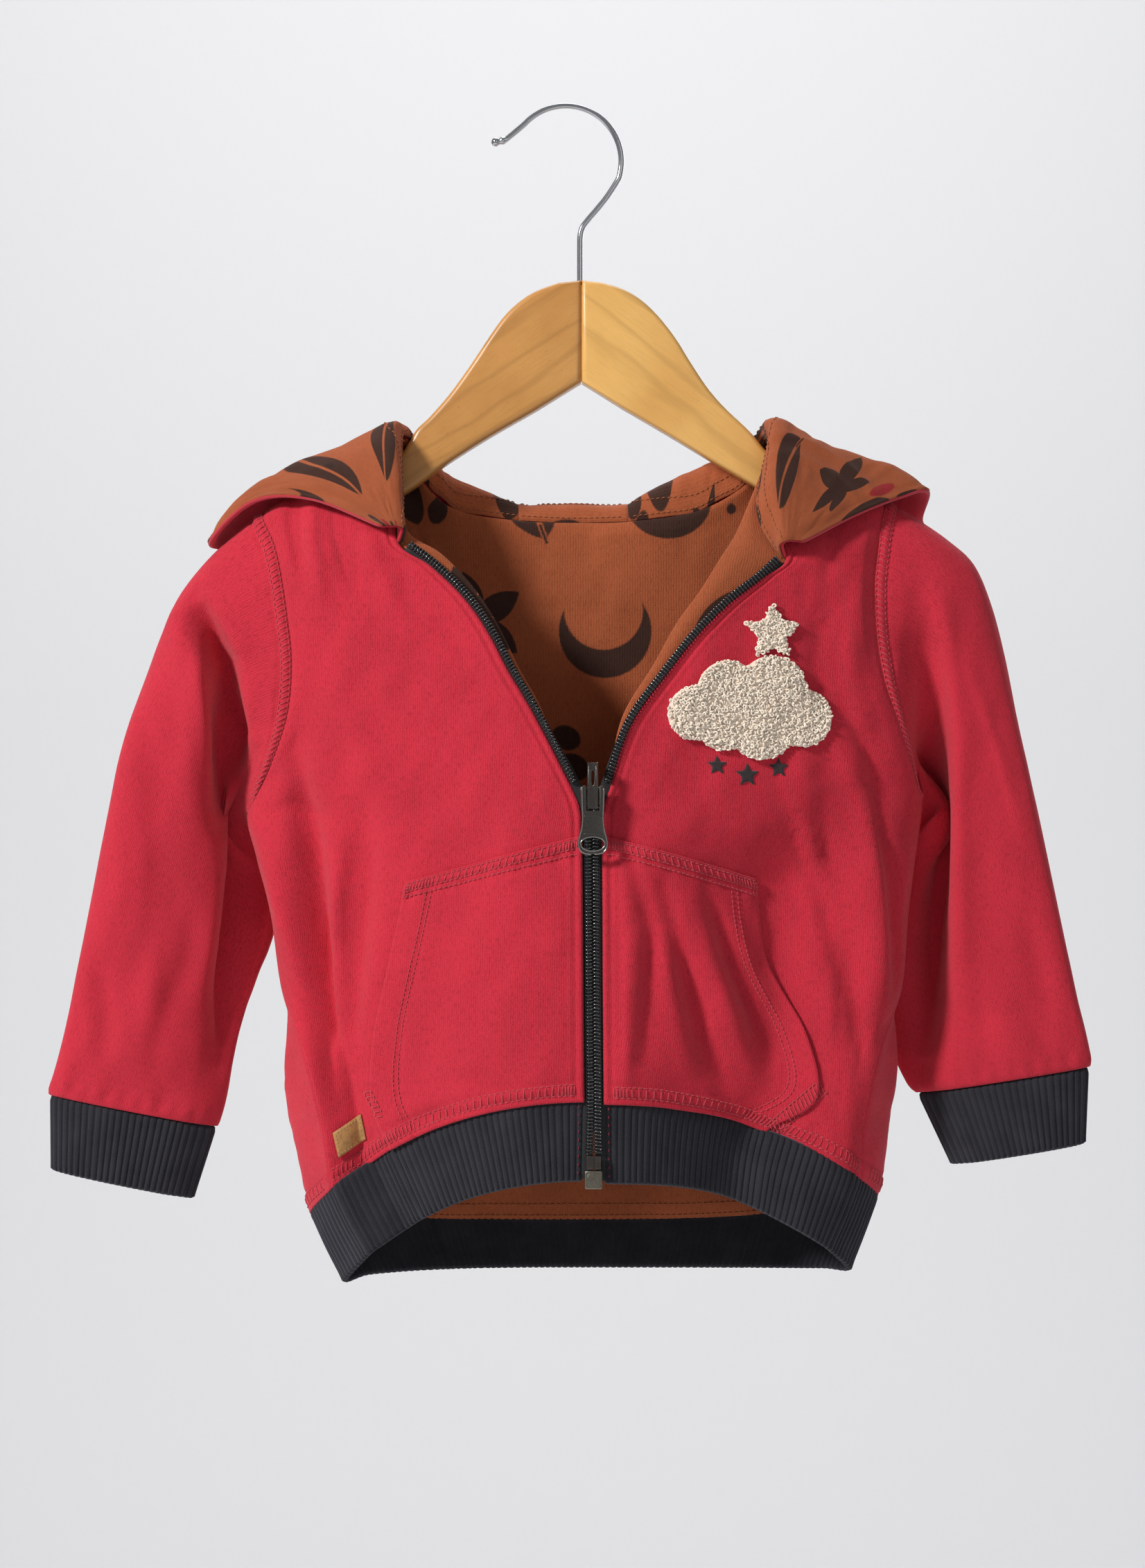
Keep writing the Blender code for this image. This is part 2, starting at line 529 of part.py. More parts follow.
def top_edge(place):
    """The back's top edge: left shoulder seam, back neck seam, right shoulder seam."""
    left_tip, right_tip = back_edge(LEFT_BODY, SHOULDER), back_edge(RIGHT_BODY, SHOULDER)
    if place <= NECK_START:
        return left_tip + (np.array(NECKLINE[0]) - left_tip) * place / NECK_START
    if place >= NECK_END:
        part = (place - NECK_END) / (1 - NECK_END)
        return np.array(NECKLINE[-1]) + (right_tip - np.array(NECKLINE[-1])) * part
    return spline(NECKLINE, float(np.interp(place, NECK_PLACES, range(NECK_STEPS + 1))))


def upper_back_point(level, place):
    """The back between the armholes: place runs from the left armhole to the right one."""
    left, right = back_edge(LEFT_BODY, level), back_edge(RIGHT_BODY, level)
    bottom = lower_back_point(ARMPIT, place)
    top = top_edge(place)
    lifts = []
    for table, edge in ((LEFT_BODY, left), (RIGHT_BODY, right)):
        lowest, highest = table[ARMPIT][2], table[SHOULDER][2]
        lifts.append((edge[2] - lowest) / (highest - lowest))
    lift = lifts[0] + (lifts[1] - lifts[0]) * place
    even = left + (right - left) * place
    bottom_even = LEFT_BODY[ARMPIT][0] + (RIGHT_BODY[ARMPIT][0] - LEFT_BODY[ARMPIT][0]) * place
    x = even[0] + (bottom[0] - bottom_even) * (1 - lift) ** 2
    z = bottom[2] + (top[2] - bottom[2]) * lift
    swell = math.sin(math.pi * min(max(place, 0.0), 1.0)) ** 0.7
    y = even[1] + (max(BACK_Y_TOP, bottom[1]) - even[1]) * swell
    y += (bottom[1] - y) * (1 - lift) ** 3
    y += (top[1] - y) * lift ** 24
    return np.array((x, y, z))


def back_row(level):
    """One row of the back, from side seam to side seam or from armhole to armhole."""
    if level > ARMPIT:
        return [upper_back_point(level, place) for place in [0] + BACK_PLACES + [1]]
    # Where the seams lie round to the front, the first columns step out to the sides.
    reach = min(max((level - LEVEL["hip"]) / (LEVEL["waist"] - LEVEL["hip"]), 0.0), 1.0)
    places = list(BACK_PLACES)
    places[0] *= reach
    places[-1] = 1 - (1 - places[-1]) * reach
    row = [lower_back_point(level, place) for place in places]
    left = front_point(LEFT_BODY, level, front_angles(LEFT_BODY, level)[0])
    right = front_point(RIGHT_BODY, level, front_angles(RIGHT_BODY, level)[0])
    return [left] + row + [right]


# ================================================================ body pieces and sleeves
def armhole(points, side_column, rear, rear_column):
    """Where the armhole's points are: down the front edge, then up the back edge."""
    lowest = ARMPIT - LEVEL["hem"]
    highest = SHOULDER - LEVEL["hem"]
    down = [(points, i, side_column) for i in range(highest, lowest - 1, -1)]
    up = [(rear, i, rear_column) for i in range(lowest + 1, highest)]
    return down + up


def section_ring(row, turns, folds=()):
    """A flattened ring from its outer point to its inner one, front first."""
    outer_x, outer_z, inner_x, inner_z, outer_y, inner_y, front, rear = row
    ring = []
    for turn in turns:
        part = (1 - math.cos(turn)) / 2
        x = outer_x + (inner_x - outer_x) * part
        z = outer_z + (inner_z - outer_z) * part
        y = outer_y + (inner_y - outer_y) * part
        side = math.sin(turn)
        if side >= 0:
            y -= front * side ** 0.9 - fold_depth(folds, x, z) * min(side * 2, 1.0)
        else:
            y += rear * (-side) ** 0.9
        ring.append((x, y, z))
    return np.array(ring)


def sleeve_grid(side, places, rows):
    """The sleeve's points: the armhole's own, then rings read from the table."""
    edge = np.array([grid[i, j] for grid, i, j in places])
    top, bottom = edge[:, 2].max(), edge[:, 2].min()
    down = len(places) // 2
    turns = []
    for index, height in enumerate(edge[:, 2]):
        turn = math.acos(1 - 2 * (top - height) / (top - bottom))
        turns.append(turn if index <= down else 2 * math.pi - turn)
    knots = [edge] + [section_ring(row, turns, SLEEVE_FOLDS[side]) for row in rows]
    steps = [i * (len(knots) - 1) / (SLEEVE_RINGS - 1) for i in range(SLEEVE_RINGS)]
    return np.array([spline(knots, step) for step in steps]), turns


def make_garment():
    """Fronts, back, linings and sleeves, which share their points and normals at the seams."""
    levels = list(range(LEVEL["hem"], SHOULDER + 1))
    low = ARMPIT - LEVEL["hem"]
    grids = {"left": front_grid(LEFT_BODY, levels), "right": front_grid(RIGHT_BODY, levels),
             "back": np.array([back_row(level) for level in levels])}
    normals = {"left": grid_normals(grids["left"]), "right": grid_normals(grids["right"], -1),
               "back": grid_normals(grids["back"], -1)}
    last = grids["back"].shape[1] - 1
    first_neck = 1 + BACK_PLACES.index(NECK_START)
    last_neck = first_neck + NECK_STEPS
    sleeves = {}
    for side, column, sign in (("left", 0, -1), ("right", last, 1)):
        for i in range(low + 1):
            pair = share(normals[side][i, 0], normals["back"][i, column])
            normals[side][i, 0], normals["back"][i, column] = pair
        slope = unit(grids[side][-1, -1] - grids[side][-1, 0])
        up = unit(np.array((0, 0, 1.0)) - slope * slope[2])
        normals[side][-1, :] = up
        normals[side][-2, :] = [unit(normal + 0.5 * up) for normal in normals[side][-2]]
        shoulder = slice(0, first_neck + 1) if side == "left" else slice(last_neck, last + 1)
        normals["back"][-1, shoulder] = up
        places = armhole(grids[side], 0, grids["back"], column)
        sleeve, turns = sleeve_grid(side, places, LEFT_SLEEVE if side == "left" else RIGHT_SLEEVE)
        ring = grid_normals(sleeve, sign, ring=True)
        normal_places = armhole(normals[side], 0, normals["back"], column)
        for index, (grid, i, j) in enumerate(normal_places):
            ring[0, index], grid[i, j] = share(ring[0, index], grid[i, j])
        armpit = len(places) // 2
        for i in range(3):
            ring[i, armpit] = unit(ring[i, armpit] + np.array((0, 0, i - 3.0)))
        tip = normals[side][-1, 0]
        normals["back"][-1, column] = tip
        sleeves[side] = (sleeve, ring, turns)
    for j in range(first_neck + 1, last_neck):
        normals["back"][-1, j] = unit(normals["back"][-2, j] * (1, 1, 0))
    for j, beside in ((first_neck + 1, first_neck), (last_neck - 1, last_neck)):
        normals["back"][-1, j] = unit(normals["back"][-1, j] + normals["back"][-1, beside])

    for side, table in (("left", LEFT_BODY), ("right", RIGHT_BODY)):
        wall("front_" + side, pull_in(grids[side]), normals[side], 0, JERSEY, "jersey_red")
        make_front_lining(side, table, levels, grids[side], normals[side])
        sleeve, ring, turns = sleeves[side]
        wall("sleeve_" + side, pull_in(sleeve, sides=0), ring, 0, SLEEVE, "jersey_red", ring=True)
        make_cuff(side, LEFT_CUFF if side == "left" else RIGHT_CUFF, turns)
    wall("back", pull_in(grids["back"]), normals["back"], 0, JERSEY, "jersey_red")
    wall("lining_back", pull_in(grids["back"], 0.6, 1.6), normals["back"], -LINING_IN - 0.5, LINING,
         "jersey_rust")
    return grids, normals


def make_front_lining(side, table, levels, points, normals):
    """The lining lies behind the front, and past the zip it is turned out along the V."""
    edge = []
    for i, level in enumerate(levels):
        row = body_row(table, level)
        spot, lean = points[i, -1], normals[i, -1]
        if level > COLLAR or lean[1] > -0.3:
            lean = np.array((0, -1.0, 0))
        dx, dz = row["lining_x"] - spot[0], row["lining_z"] - spot[2]
        edge.append(spot + np.array((dx, -(lean[0] * dx + lean[2] * dz) / lean[1], dz)))
    edge = np.array(edge)
    inner = np.concatenate([points[:, :-1], edge[:, None]], axis=1)
    wall("lining_" + side, pull_in(inner, 0.6, 1.6), normals, -LINING_IN - 0.5, LINING, "jersey_rust")


def make_cuff(side, table, turns):
    first, second = section_ring(table[0], turns), section_ring(table[1], turns)
    points = np.array([first, (first + second) / 2, second])
    sign = -1 if side == "left" else 1
    wall("cuff_" + side, points, grid_normals(points, sign, ring=True), 0, RIB, "rib_charcoal", ring=True)


def make_pockets(grids, normals):
    """Each half pocket is made from the front's own points, moved out."""
    top = LEVEL["pocket"] - LEVEL["hem"] + 1
    for side in ("left", "right"):
        patch = pull_in(grids[side])[:top, FRONT_SIDE_COLUMNS:]
        lean = normals[side][:top, FRONT_SIDE_COLUMNS:]
        wall("pocket_" + side, patch, lean, JERSEY + SEAM_GAP, JERSEY, "jersey_red")


def make_hem_rib(normals):
    """The folded rib from one side of the zip round the back to the other."""
    rows = []
    for level in (0.0, 0.5, 1.0):
        left = [front_point(LEFT_BODY, level, angle) for angle in front_angles(LEFT_BODY, level)]
        right = [front_point(RIGHT_BODY, level, angle) for angle in front_angles(RIGHT_BODY, level)]
        rows.append(left[:0:-1] + back_row(level) + right[1:])
    points = np.array(rows)
    facing = grid_normals(points, -1)
    facing[-1] = np.concatenate([normals["left"][0, :0:-1], normals["back"][0], normals["right"][0, 1:]])
    wall("hem_rib", pull_in(points, first_row=False), facing, 0, RIB, "rib_charcoal")


# ================================================================ hood
def hood_grid(stations, places, seam):
    """Rows from the neck seam to the rim; the seam row lies on the body's own neck points."""
    at = [station[0] for station in stations]
    columns = []
    for place in places:
        exact = float(np.interp(place, at, range(len(at))))
        knots = spline([station[1:] for station in stations], exact)
        low = int(place)
        root = seam[low] + (seam[min(low + 1, len(seam) - 1)] - seam[low]) * (place - low)
        knots = np.concatenate([[root], knots[1:]])
        columns.append([spline(knots, step) for step in HOOD_STEPS])
    return np.array(columns).transpose(1, 0, 2)


def make_hood(grids, normals):
    """Two sides and a middle strip, each with its lining towards the neck."""
    first_neck = 1 + BACK_PLACES.index(NECK_START)
    back = grids["back"][-1, first_neck:first_neck + NECK_STEPS + 1]
    lean = normals["back"][-1, first_neck:first_neck + NECK_STEPS + 1]
    half = (NECK_STEPS - 2) // 2
    left = list(grids["left"][-4:-1, -1]) + list(back[:half + 1])
    right = list(grids["right"][-4:-1, -1]) + list(back[::-1][:half + 1])
    strip = [LEFT_HOOD[-1], HOOD_MIDDLE, (2,) + RIGHT_HOOD[-1][1:]]
    strip[0] = (0,) + strip[0][1:]
    pieces = {"left": (LEFT_HOOD, HOOD_PLACES, left, -1), "right": (RIGHT_HOOD, HOOD_PLACES, right, 1),
              "gusset": (strip, STRIP_PLACES, back[half:half + 3], -1)}
    points, facing = {}, {}
    for name, (stations, places, seam, sign) in pieces.items():
        points[name] = hood_grid(stations, places, seam)
        facing[name] = grid_normals(points[name], sign)
    # Where a side or the strip stands on the back, they lean the same way.
    for name, order in (("left", lean), ("right", lean[::-1])):
        for index, place in enumerate(HOOD_PLACES):
            if place > 4:
                facing[name][0, index] = unit(facing[name][0, index] + order[min(int(place) - 3, half)])
    for index in range(3):
        facing["gusset"][0, index] = unit(facing["gusset"][0, index] + lean[half + index])
    for i in range(len(HOOD_STEPS)):
        for name, column in (("left", 0), ("right", -1)):
            both = unit(facing[name][i, -1] + facing["gusset"][i, column])
            facing[name][i, -1] = facing["gusset"][i, column] = both
    for name, outer in (("left", "side_left"), ("right", "side_right"), ("gusset", "gusset")):
        trimmed = pull_in(points[name], SEAM_GAP, SEAM_GAP)
        wall("hood_" + outer, trimmed, facing[name], 0, JERSEY, "jersey_red")
        wall("hood_lining_" + name, trimmed, facing[name], -LINING_IN, LINING, "jersey_rust")


# ================================================================ zip
def zip_frame(table, level):
    """A place on the front edge with the cloth's outward normal and the way to the middle."""
    spot = front_point(table, level, math.pi / 2)
    step = 0.05
    along = unit(front_point(table, min(level + step, COLLAR), math.pi / 2)
                 - front_point(table, max(level - step, 0), math.pi / 2))
    inward = unit(spot - front_point(table, level, math.pi / 2 - 0.3))
    out = unit(np.cross(inward, along))
    if out[1] > 0:
        out = -out
    middle = unit(np.cross(out, along))
    if np.dot(middle, inward) < 0:
        middle = -middle
    return spot, out, middle


def zip_strip(name, table, levels, low, high, bottom, top, paint_name):
    sections = []
    for level in levels:
        spot, out, middle = zip_frame(table, level)
        corners = ((low, bottom), (high, bottom), (high, top), (low, top))
        sections.append([spot + middle * across + out * up for across, up in corners])
    return sweep(name, sections, paint_name)


def level_at_height(table, height):
    """The level at which the front edge has a height."""
    fine = [i / 20 for i in range(COLLAR * 20 + 1)]
    heights = [body_row(table, level)["edge_z"] for level in fine]
    return float(np.interp(height, heights, fine))


def make_zip():
    for side, table in (("left", LEFT_BODY), ("right", RIGHT_BODY)):
        whole = [0.02 + (COLLAR - 0.3) * i / 26 for i in range(27)]
        zip_strip("zip_tape_" + side, table, whole, TAPE_LOW, TAPE_HIGH, -0.9, -0.9 + TAPE, "zip_tape")
        low = level_at_height(table, -431.5)
        high = level_at_height(table, SLIDER_BOTTOM - 0.6)
        closed = [low + (high - low) * i / 10 for i in range(11)]
        coil = (COIL_LOW, TAPE_HIGH, 0.2, 0.2 + COIL)
        zip_strip("zip_chain_" + side, table, closed, *coil, "zip_coil")
        low = level_at_height(table, SLIDER_TOP + 4.5)
        high = COLLAR - 0.28
        opened = [low + (high - low) * i / 12 for i in range(13)]
        zip_strip("zip_coil_" + side, table, opened, *coil, "zip_coil")
    make_slider()
    make_pull()
    block("zip_pin", (9.6, 15.6), (-51.2, -48.9), (-438.6, -433.2), "gunmetal", 0.4)
    block("zip_box", (8.9, 16.1), (-51.6, -48.7), (-446.4, -439.0), "gunmetal", 0.5)


def make_slider():
    """Two plates joined by a neck, with a rail that loops over the top from front to back."""
    half = SLIDER_WIDTH / 2
    front = (SLIDER_FRONT_Y, SLIDER_FRONT_Y + 1.0)
    rear = (-40.3, -39.3)
    slider = block("zip_slider", (SLIDER_X - half, SLIDER_X + half), front,
                   (SLIDER_BOTTOM, SLIDER_TOP), "gunmetal")
    plate = block("tool_rear_plate", (SLIDER_X - half, SLIDER_X + half), rear,
                  (SLIDER_BOTTOM, SLIDER_TOP), "gunmetal")
    neck = block("tool_neck", (SLIDER_X - 1.2, SLIDER_X + 1.2), (front[0] + 0.5, rear[1] - 0.5),
                 (SLIDER_TOP - 2.2, SLIDER_TOP - 0.1), "gunmetal")
    rail_front = PULL_FRONT_Y + 0.1
    rail_rear = -36.6
    loop = []
    outer = ((rail_front, RAIL_BOTTOM), (rail_front, RAIL_TOP), (rail_rear, RAIL_TOP),
             (rail_rear, RAIL_BOTTOM))
    path = ((SLIDER_FRONT_Y + 0.5, RAIL_BOTTOM), *outer, (rear[1] - 0.5, RAIL_BOTTOM))
    thick = RAIL_WIRE
    # The rail is a bent strip: down the front, over the top and down the rear.
    strip = ((path[0][0], RAIL_BOTTOM), (rail_front, RAIL_BOTTOM), (rail_front, RAIL_TOP),
             (rail_rear, RAIL_TOP), (rail_rear, RAIL_BOTTOM), (path[-1][0], RAIL_BOTTOM),
             (path[-1][0], RAIL_BOTTOM + thick), (rail_rear - thick, RAIL_BOTTOM + thick),
             (rail_rear - thick, RAIL_TOP - thick), (rail_front + thick, RAIL_TOP - thick),
             (rail_front + thick, RAIL_BOTTOM + thick), (path[0][0], RAIL_BOTTOM + thick))
    for x in (SLIDER_X - RAIL_WIDTH / 2, SLIDER_X + RAIL_WIDTH / 2):
        loop.append([(x, y, z) for y, z in strip])
    rail = sweep("tool_rail", loop, "gunmetal")
    feet_front = block("tool_foot_front", (SLIDER_X - 2.0, SLIDER_X + 2.0),
                       (SLIDER_FRONT_Y + 0.1, SLIDER_FRONT_Y + 0.9),
                       (RAIL_BOTTOM + 0.2, SLIDER_BOTTOM + 0.6), "gunmetal")
    feet_rear = block("tool_foot_rear", (SLIDER_X - 2.0, SLIDER_X + 2.0), (rear[0] + 0.1, rear[1] - 0.1),
                      (RAIL_BOTTOM + 0.2, SLIDER_BOTTOM + 0.6), "gunmetal")
    for tool in (plate, neck, rail, feet_front, feet_rear):
        cut_or_join(slider, tool, "UNION")


def make_pull():
    """The pull tab: a plate with an oval hole and a fork whose crosspin sits behind the rail."""
    half = PULL_WIDTH / 2
    top = PIVOT_Z + 1.2
    bottom = top - PULL_LENGTH
    slot = SLOT_WIDTH / 2
    slot_floor = PIVOT_Z - SLOT_DEPTH
    shoulder_half = 4.7
    outline = [(-shoulder_half, top), (-shoulder_half, top - 4), (-half, top - 9)]
    for i in range(7):
        turn = math.pi + math.pi * i / 6
        outline.append((half * math.cos(turn) * 1.0, bottom + 4.5 + 4.5 * math.sin(turn)))
    outline += [(half, top - 9), (shoulder_half, top - 4), (shoulder_half, top),
                (slot, top), (slot, slot_floor), (-slot, slot_floor), (-slot, top)]
    loop = []
    for y in (PULL_FRONT_Y, PULL_BACK_Y):
        loop.append([(SLIDER_X + x, y, z) for x, z in outline])
    pull = sweep("zip_pull", loop, "gunmetal")
    hole = []
    for y in (PULL_FRONT_Y - 1, PULL_BACK_Y + 1):
        hole.append([(SLIDER_X + 3.0 * math.cos(i * math.pi / 8), y,
                      bottom + 4.2 + 1.9 * math.sin(i * math.pi / 8)) for i in range(16)])
    cut_or_join(pull, sweep("tool_hole", hole, "gunmetal"), "DIFFERENCE")
    for sign in (-1, 1):
        cheek = []
        for x in (slot + 0.05, shoulder_half - 0.05):
            profile = [(PULL_BACK_Y - 0.4, PIVOT_Z + 1.0), (PULL_BACK_Y - 0.4, PIVOT_Z - 2.6),
                       (PULL_BACK_Y + 0.2, PIVOT_Z - 2.6)]
            for i in range(7):
                turn = -math.pi / 2 + math.pi * i / 6
                profile.append((PIVOT_Y + 1.0 * math.cos(turn), PIVOT_Z + 1.0 * math.sin(turn)))
            cheek.append([(SLIDER_X + sign * x, y, z) for y, z in profile])
        cut_or_join(pull, sweep("tool_cheek_%d" % (sign + 1), cheek, "gunmetal"), "UNION")
    pin = []
    for x in (-shoulder_half + 0.4, shoulder_half - 0.4):
        pin.append([(SLIDER_X + x, PIVOT_Y + PIN_RADIUS * math.cos(i * math.pi / 5),
                     PIVOT_Z + PIN_RADIUS * math.sin(i * math.pi / 5)) for i in range(10)])
    cut_or_join(pull, sweep("tool_pin", pin, "gunmetal"), "UNION")


# ================================================================ hanger
def make_board(name, outline, paint_name, toward):
    """One half of the hanger: its outline, extruded, with the edges rounded."""
    joint = JOINT_X + toward * SEAM_GAP / 2
    flat = [(joint, BOARD_TOP)] + list(outline) + [(joint, BOARD_NOTCH)]
    if toward > 0:
        flat.reverse()
    half = BOARD / 2
    loop = [[(x, y, z) for x, z in flat] for y in (-half, half)]
    board = sweep(name, loop, paint_name)
    mesh = board.data
    work = bmesh.new()
    work.from_mesh(mesh)
    rim = [edge for edge in work.edges
           if all(abs(abs(vert.co.y) - half * MM) < 1e-6 for vert in edge.verts)
           and abs(edge.verts[0].co.y - edge.verts[1].co.y) < 1e-6
           and not all(abs(vert.co.x - joint * MM) < 1e-6 for vert in edge.verts)]
    bmesh.ops.bevel(work, geom=rim, offset=BOARD_ROUND * MM, segments=3, affect="EDGES", profile=0.5)
    work.to_mesh(mesh)
    work.free()
    mesh.shade_smooth()
    mesh.set_sharp_from_angle(angle=math.radians(40))
    socket = []
    for z in (SHANK_BOTTOM - 0.6, BOARD_TOP + 3):
        socket.append([(SHANK_X + SOCKET_RADIUS * math.cos(i * math.pi / 6),
                        SOCKET_RADIUS * math.sin(i * math.pi / 6), z) for i in range(12)])
    cut_or_join(board, sweep("tool_socket_" + name, socket, paint_name), "DIFFERENCE")


def hook_path():
    """The middle of the wire from the tip round the arc and down the shank, with its radius."""
    wire = WIRE / 2
    path = [((-29.6, -14.2), 1.1), ((-29.0, -14.1), 1.75), ((-27.9, -13.9), 1.95), ((-26.9, -13.8), 1.5),
            ((-26.2, -13.7), 1.45), ((-25.2, -13.4), 1.75), ((-24.3, -13.0), 1.3), ((-22.6, -12.1), wire),
            ((-19.4, -9.3), wire)]
    start, end = math.radians(137), math.radians(-18)
    for i in range(21):
        turn = start + (end - start) * i / 20
        place = (HOOK_CENTRE[0] + HOOK_RADIUS * math.cos(turn), HOOK_CENTRE[1] + HOOK_RADIUS * math.sin(turn))
        path.append((place, wire))
    for place in ((21.0, -33.0), (17.9, -37.6), (14.0, -42.4), (10.4, -46.6), (8.0, -50.0), (7.2, -53.5),
                  (SHANK_X, -58), (SHANK_X, SHANK_BOTTOM)):
        path.append((place, wire))
    return path


def make_hook():
    path = hook_path()
    sections = []
    for index, ((x, z), radius) in enumerate(path):
        before = path[max(index - 1, 0)][0]
        after = path[min(index + 1, len(path) - 1)][0]
        run = unit(np.array((after[0] - before[0], after[1] - before[1])))
        across = np.array((-run[1], run[0]))
        section = []
        for i in range(10):
            turn = 2 * math.pi * i / 10
            section.append((x + across[0] * radius * math.cos(turn), radius * math.sin(turn),
                            z + across[1] * radius * math.cos(turn)))
        sections.append(section)
    sweep("hook", sections, "chrome")


# ================================================================ trim laid on the panels
def panel_tree(points):
    rows, columns = points.shape[:2]
    places = [Vector(point) for point in points.reshape(-1, 3)]
    faces = []
    for i in range(rows - 1):
        for j in range(columns - 1):
            a, b = i * columns + j, i * columns + j + 1
            c, d = a + columns, b + columns
            faces += [(a, b, d), (a, d, c)]
    return BVHTree.FromPolygons(places, faces)


def on_panel(tree, x, z, out):
    hit, normal, _, _ = tree.ray_cast(Vector((x, -200, z)), Vector((0, 1, 0)))
    if normal.y > 0:
        normal = -normal
    lean = (Vector((0, -1, 0)) + 0.4 * normal).normalized()
    return np.array(hit + lean * out)


def patch(name, tree, centre, outline, out, thickness, paint_name, rings=2):
    """A pad with a flat outline of x and z laid on a panel."""
    count = len(outline)
    faces = []
    places = []
    for level in (out, out + thickness):
        places.append(on_panel(tree, centre[0], centre[1], level))
        for ring in range(1, rings + 1):
            share = ring / rings
            for x, z in outline:
                spot = (centre[0] + (x - centre[0]) * share, centre[1] + (z - centre[1]) * share)
                places.append(on_panel(tree, spot[0], spot[1], level))
    half = 1 + rings * count
    for i in range(count):
        k = (i + 1) % count
        faces += [(0, 1 + k, 1 + i), (half, half + 1 + i, half + 1 + k)]
        for ring in range(rings - 1):
            a, b = 1 + ring * count + i, 1 + ring * count + k
            faces += [(a, b, b + count, a + count)]
            faces += [(half + b, half + a, half + a + count, half + b + count)]
        rim_a, rim_b = 1 + (rings - 1) * count + i, 1 + (rings - 1) * count + k
        faces.append((rim_a, rim_b, half + rim_b, half + rim_a))
    return add_object(name, places, faces, paint_name)


def cloud_outline(count):
    """The edge of a row of overlapping circles, seen from the cloud's middle."""
    outline = []
    for i in range(count):
        turn = 2 * math.pi * i / count
        dx, dz = math.cos(turn), math.sin(turn)
        reach = 0.0
        for cx, cz, radius in CLOUD_LOBES:
            along = cx * dx + cz * dz
            off = cx * cx + cz * cz - along * along
            if off < radius * radius:
                reach = max(reach, along + math.sqrt(radius * radius - off))
        x, z = reach * dx, reach * dz
        outline.append((CLOUD_CENTRE[0] + x * math.cos(CLOUD_TILT) - z * math.sin(CLOUD_TILT),
                        CLOUD_CENTRE[1] + x * math.sin(CLOUD_TILT) + z * math.cos(CLOUD_TILT)))
    return outline


def star_outline(x, z, radius):
    outline = []
    for i in range(10):
        turn = math.pi / 2 + math.pi * i / 5
        reach = radius if i % 2 == 0 else radius * STAR_WAIST
        outline.append((x + reach * math.cos(turn), z + reach * math.sin(turn)))
    return outline


def make_trim(grids):
    right = panel_tree(grids["right"])
    left = panel_tree(grids["left"])
    patch("motif_cloud", right, CLOUD_CENTRE, cloud_outline(28), PATCH_OUT, PATCH, "wool", rings=3)
    for name, x, z, radius, paint_name, thickness in STARS:
        patch(name, right, (x, z), star_outline(x, z, radius), PATCH_OUT, thickness, paint_name)
    middle = (sum(x for x, z in LABEL_CORNERS) / 4, sum(z for x, z in LABEL_CORNERS) / 4)
    edge = []
    for index in range(4):
        (ax, az), (bx, bz) = LABEL_CORNERS[index], LABEL_CORNERS[(index + 1) % 4]
        for share in (0.0, 0.33, 0.67):
            edge.append((ax + (bx - ax) * share, az + (bz - az) * share))
    patch("label", left, middle, edge, PATCH_OUT, LINING, "leather")


def main():
    clear_scene()
    make_board("hanger_left", LEFT_BOARD, "wood_left", -1)
    make_board("hanger_right", RIGHT_BOARD, "wood_right", 1)
    make_hook()
    grids, normals = make_garment()
    make_pockets(grids, normals)
    make_hem_rib(normals)
    make_hood(grids, normals)
    make_zip()
    make_trim(grids)


main()
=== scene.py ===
"""Looks of a baby's reversible zip hoodie hanging on a wooden child's hanger.

Places are in millimetres in the CAD model's frame and are turned into metres when a mesh is made.
"Left" and "right" are as seen from the front, which faces -Y.
"""
import functools
import math

import bmesh
import bpy
import numpy as np
from mathutils import Matrix, Vector
from mathutils.bvhtree import BVHTree


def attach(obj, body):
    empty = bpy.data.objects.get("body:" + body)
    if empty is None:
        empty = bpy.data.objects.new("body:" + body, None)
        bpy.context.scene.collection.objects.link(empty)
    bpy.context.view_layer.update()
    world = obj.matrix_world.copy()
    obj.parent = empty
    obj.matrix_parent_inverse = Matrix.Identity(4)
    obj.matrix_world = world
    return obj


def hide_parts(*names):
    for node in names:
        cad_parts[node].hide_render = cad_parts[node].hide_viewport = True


MM = 0.001
JERSEY = 1.2
LINING = 1.0
RIB = 2.4
SLEEVE = 1.5
SEAM_GAP = 0.3
LINING_IN = JERSEY + SEAM_GAP
# How far a body lining hangs away from the cloth it lines.
SLACK = 0.5
# The step at which a cloth is measured before it is divided.
WALK = 0.5
FAR = 1e9
SIDES = ("left", "right")
HANGERS = ["hanger_left", "hanger_right"]

LEVELS = ("rib", "hem", "low", "hip", "waist", "pocket", "slider", "armpit", "chest_1",
          "chest_2", "chest_3", "chest_4", "chest_5", "collar", "yoke", "ridge", "shoulder")
COLUMNS = ("side_x", "side_y", "side_z", "seam_x", "split_x", "edge_x", "edge_y", "edge_z",
           "lining_x", "lining_z", "back_x", "back_y")
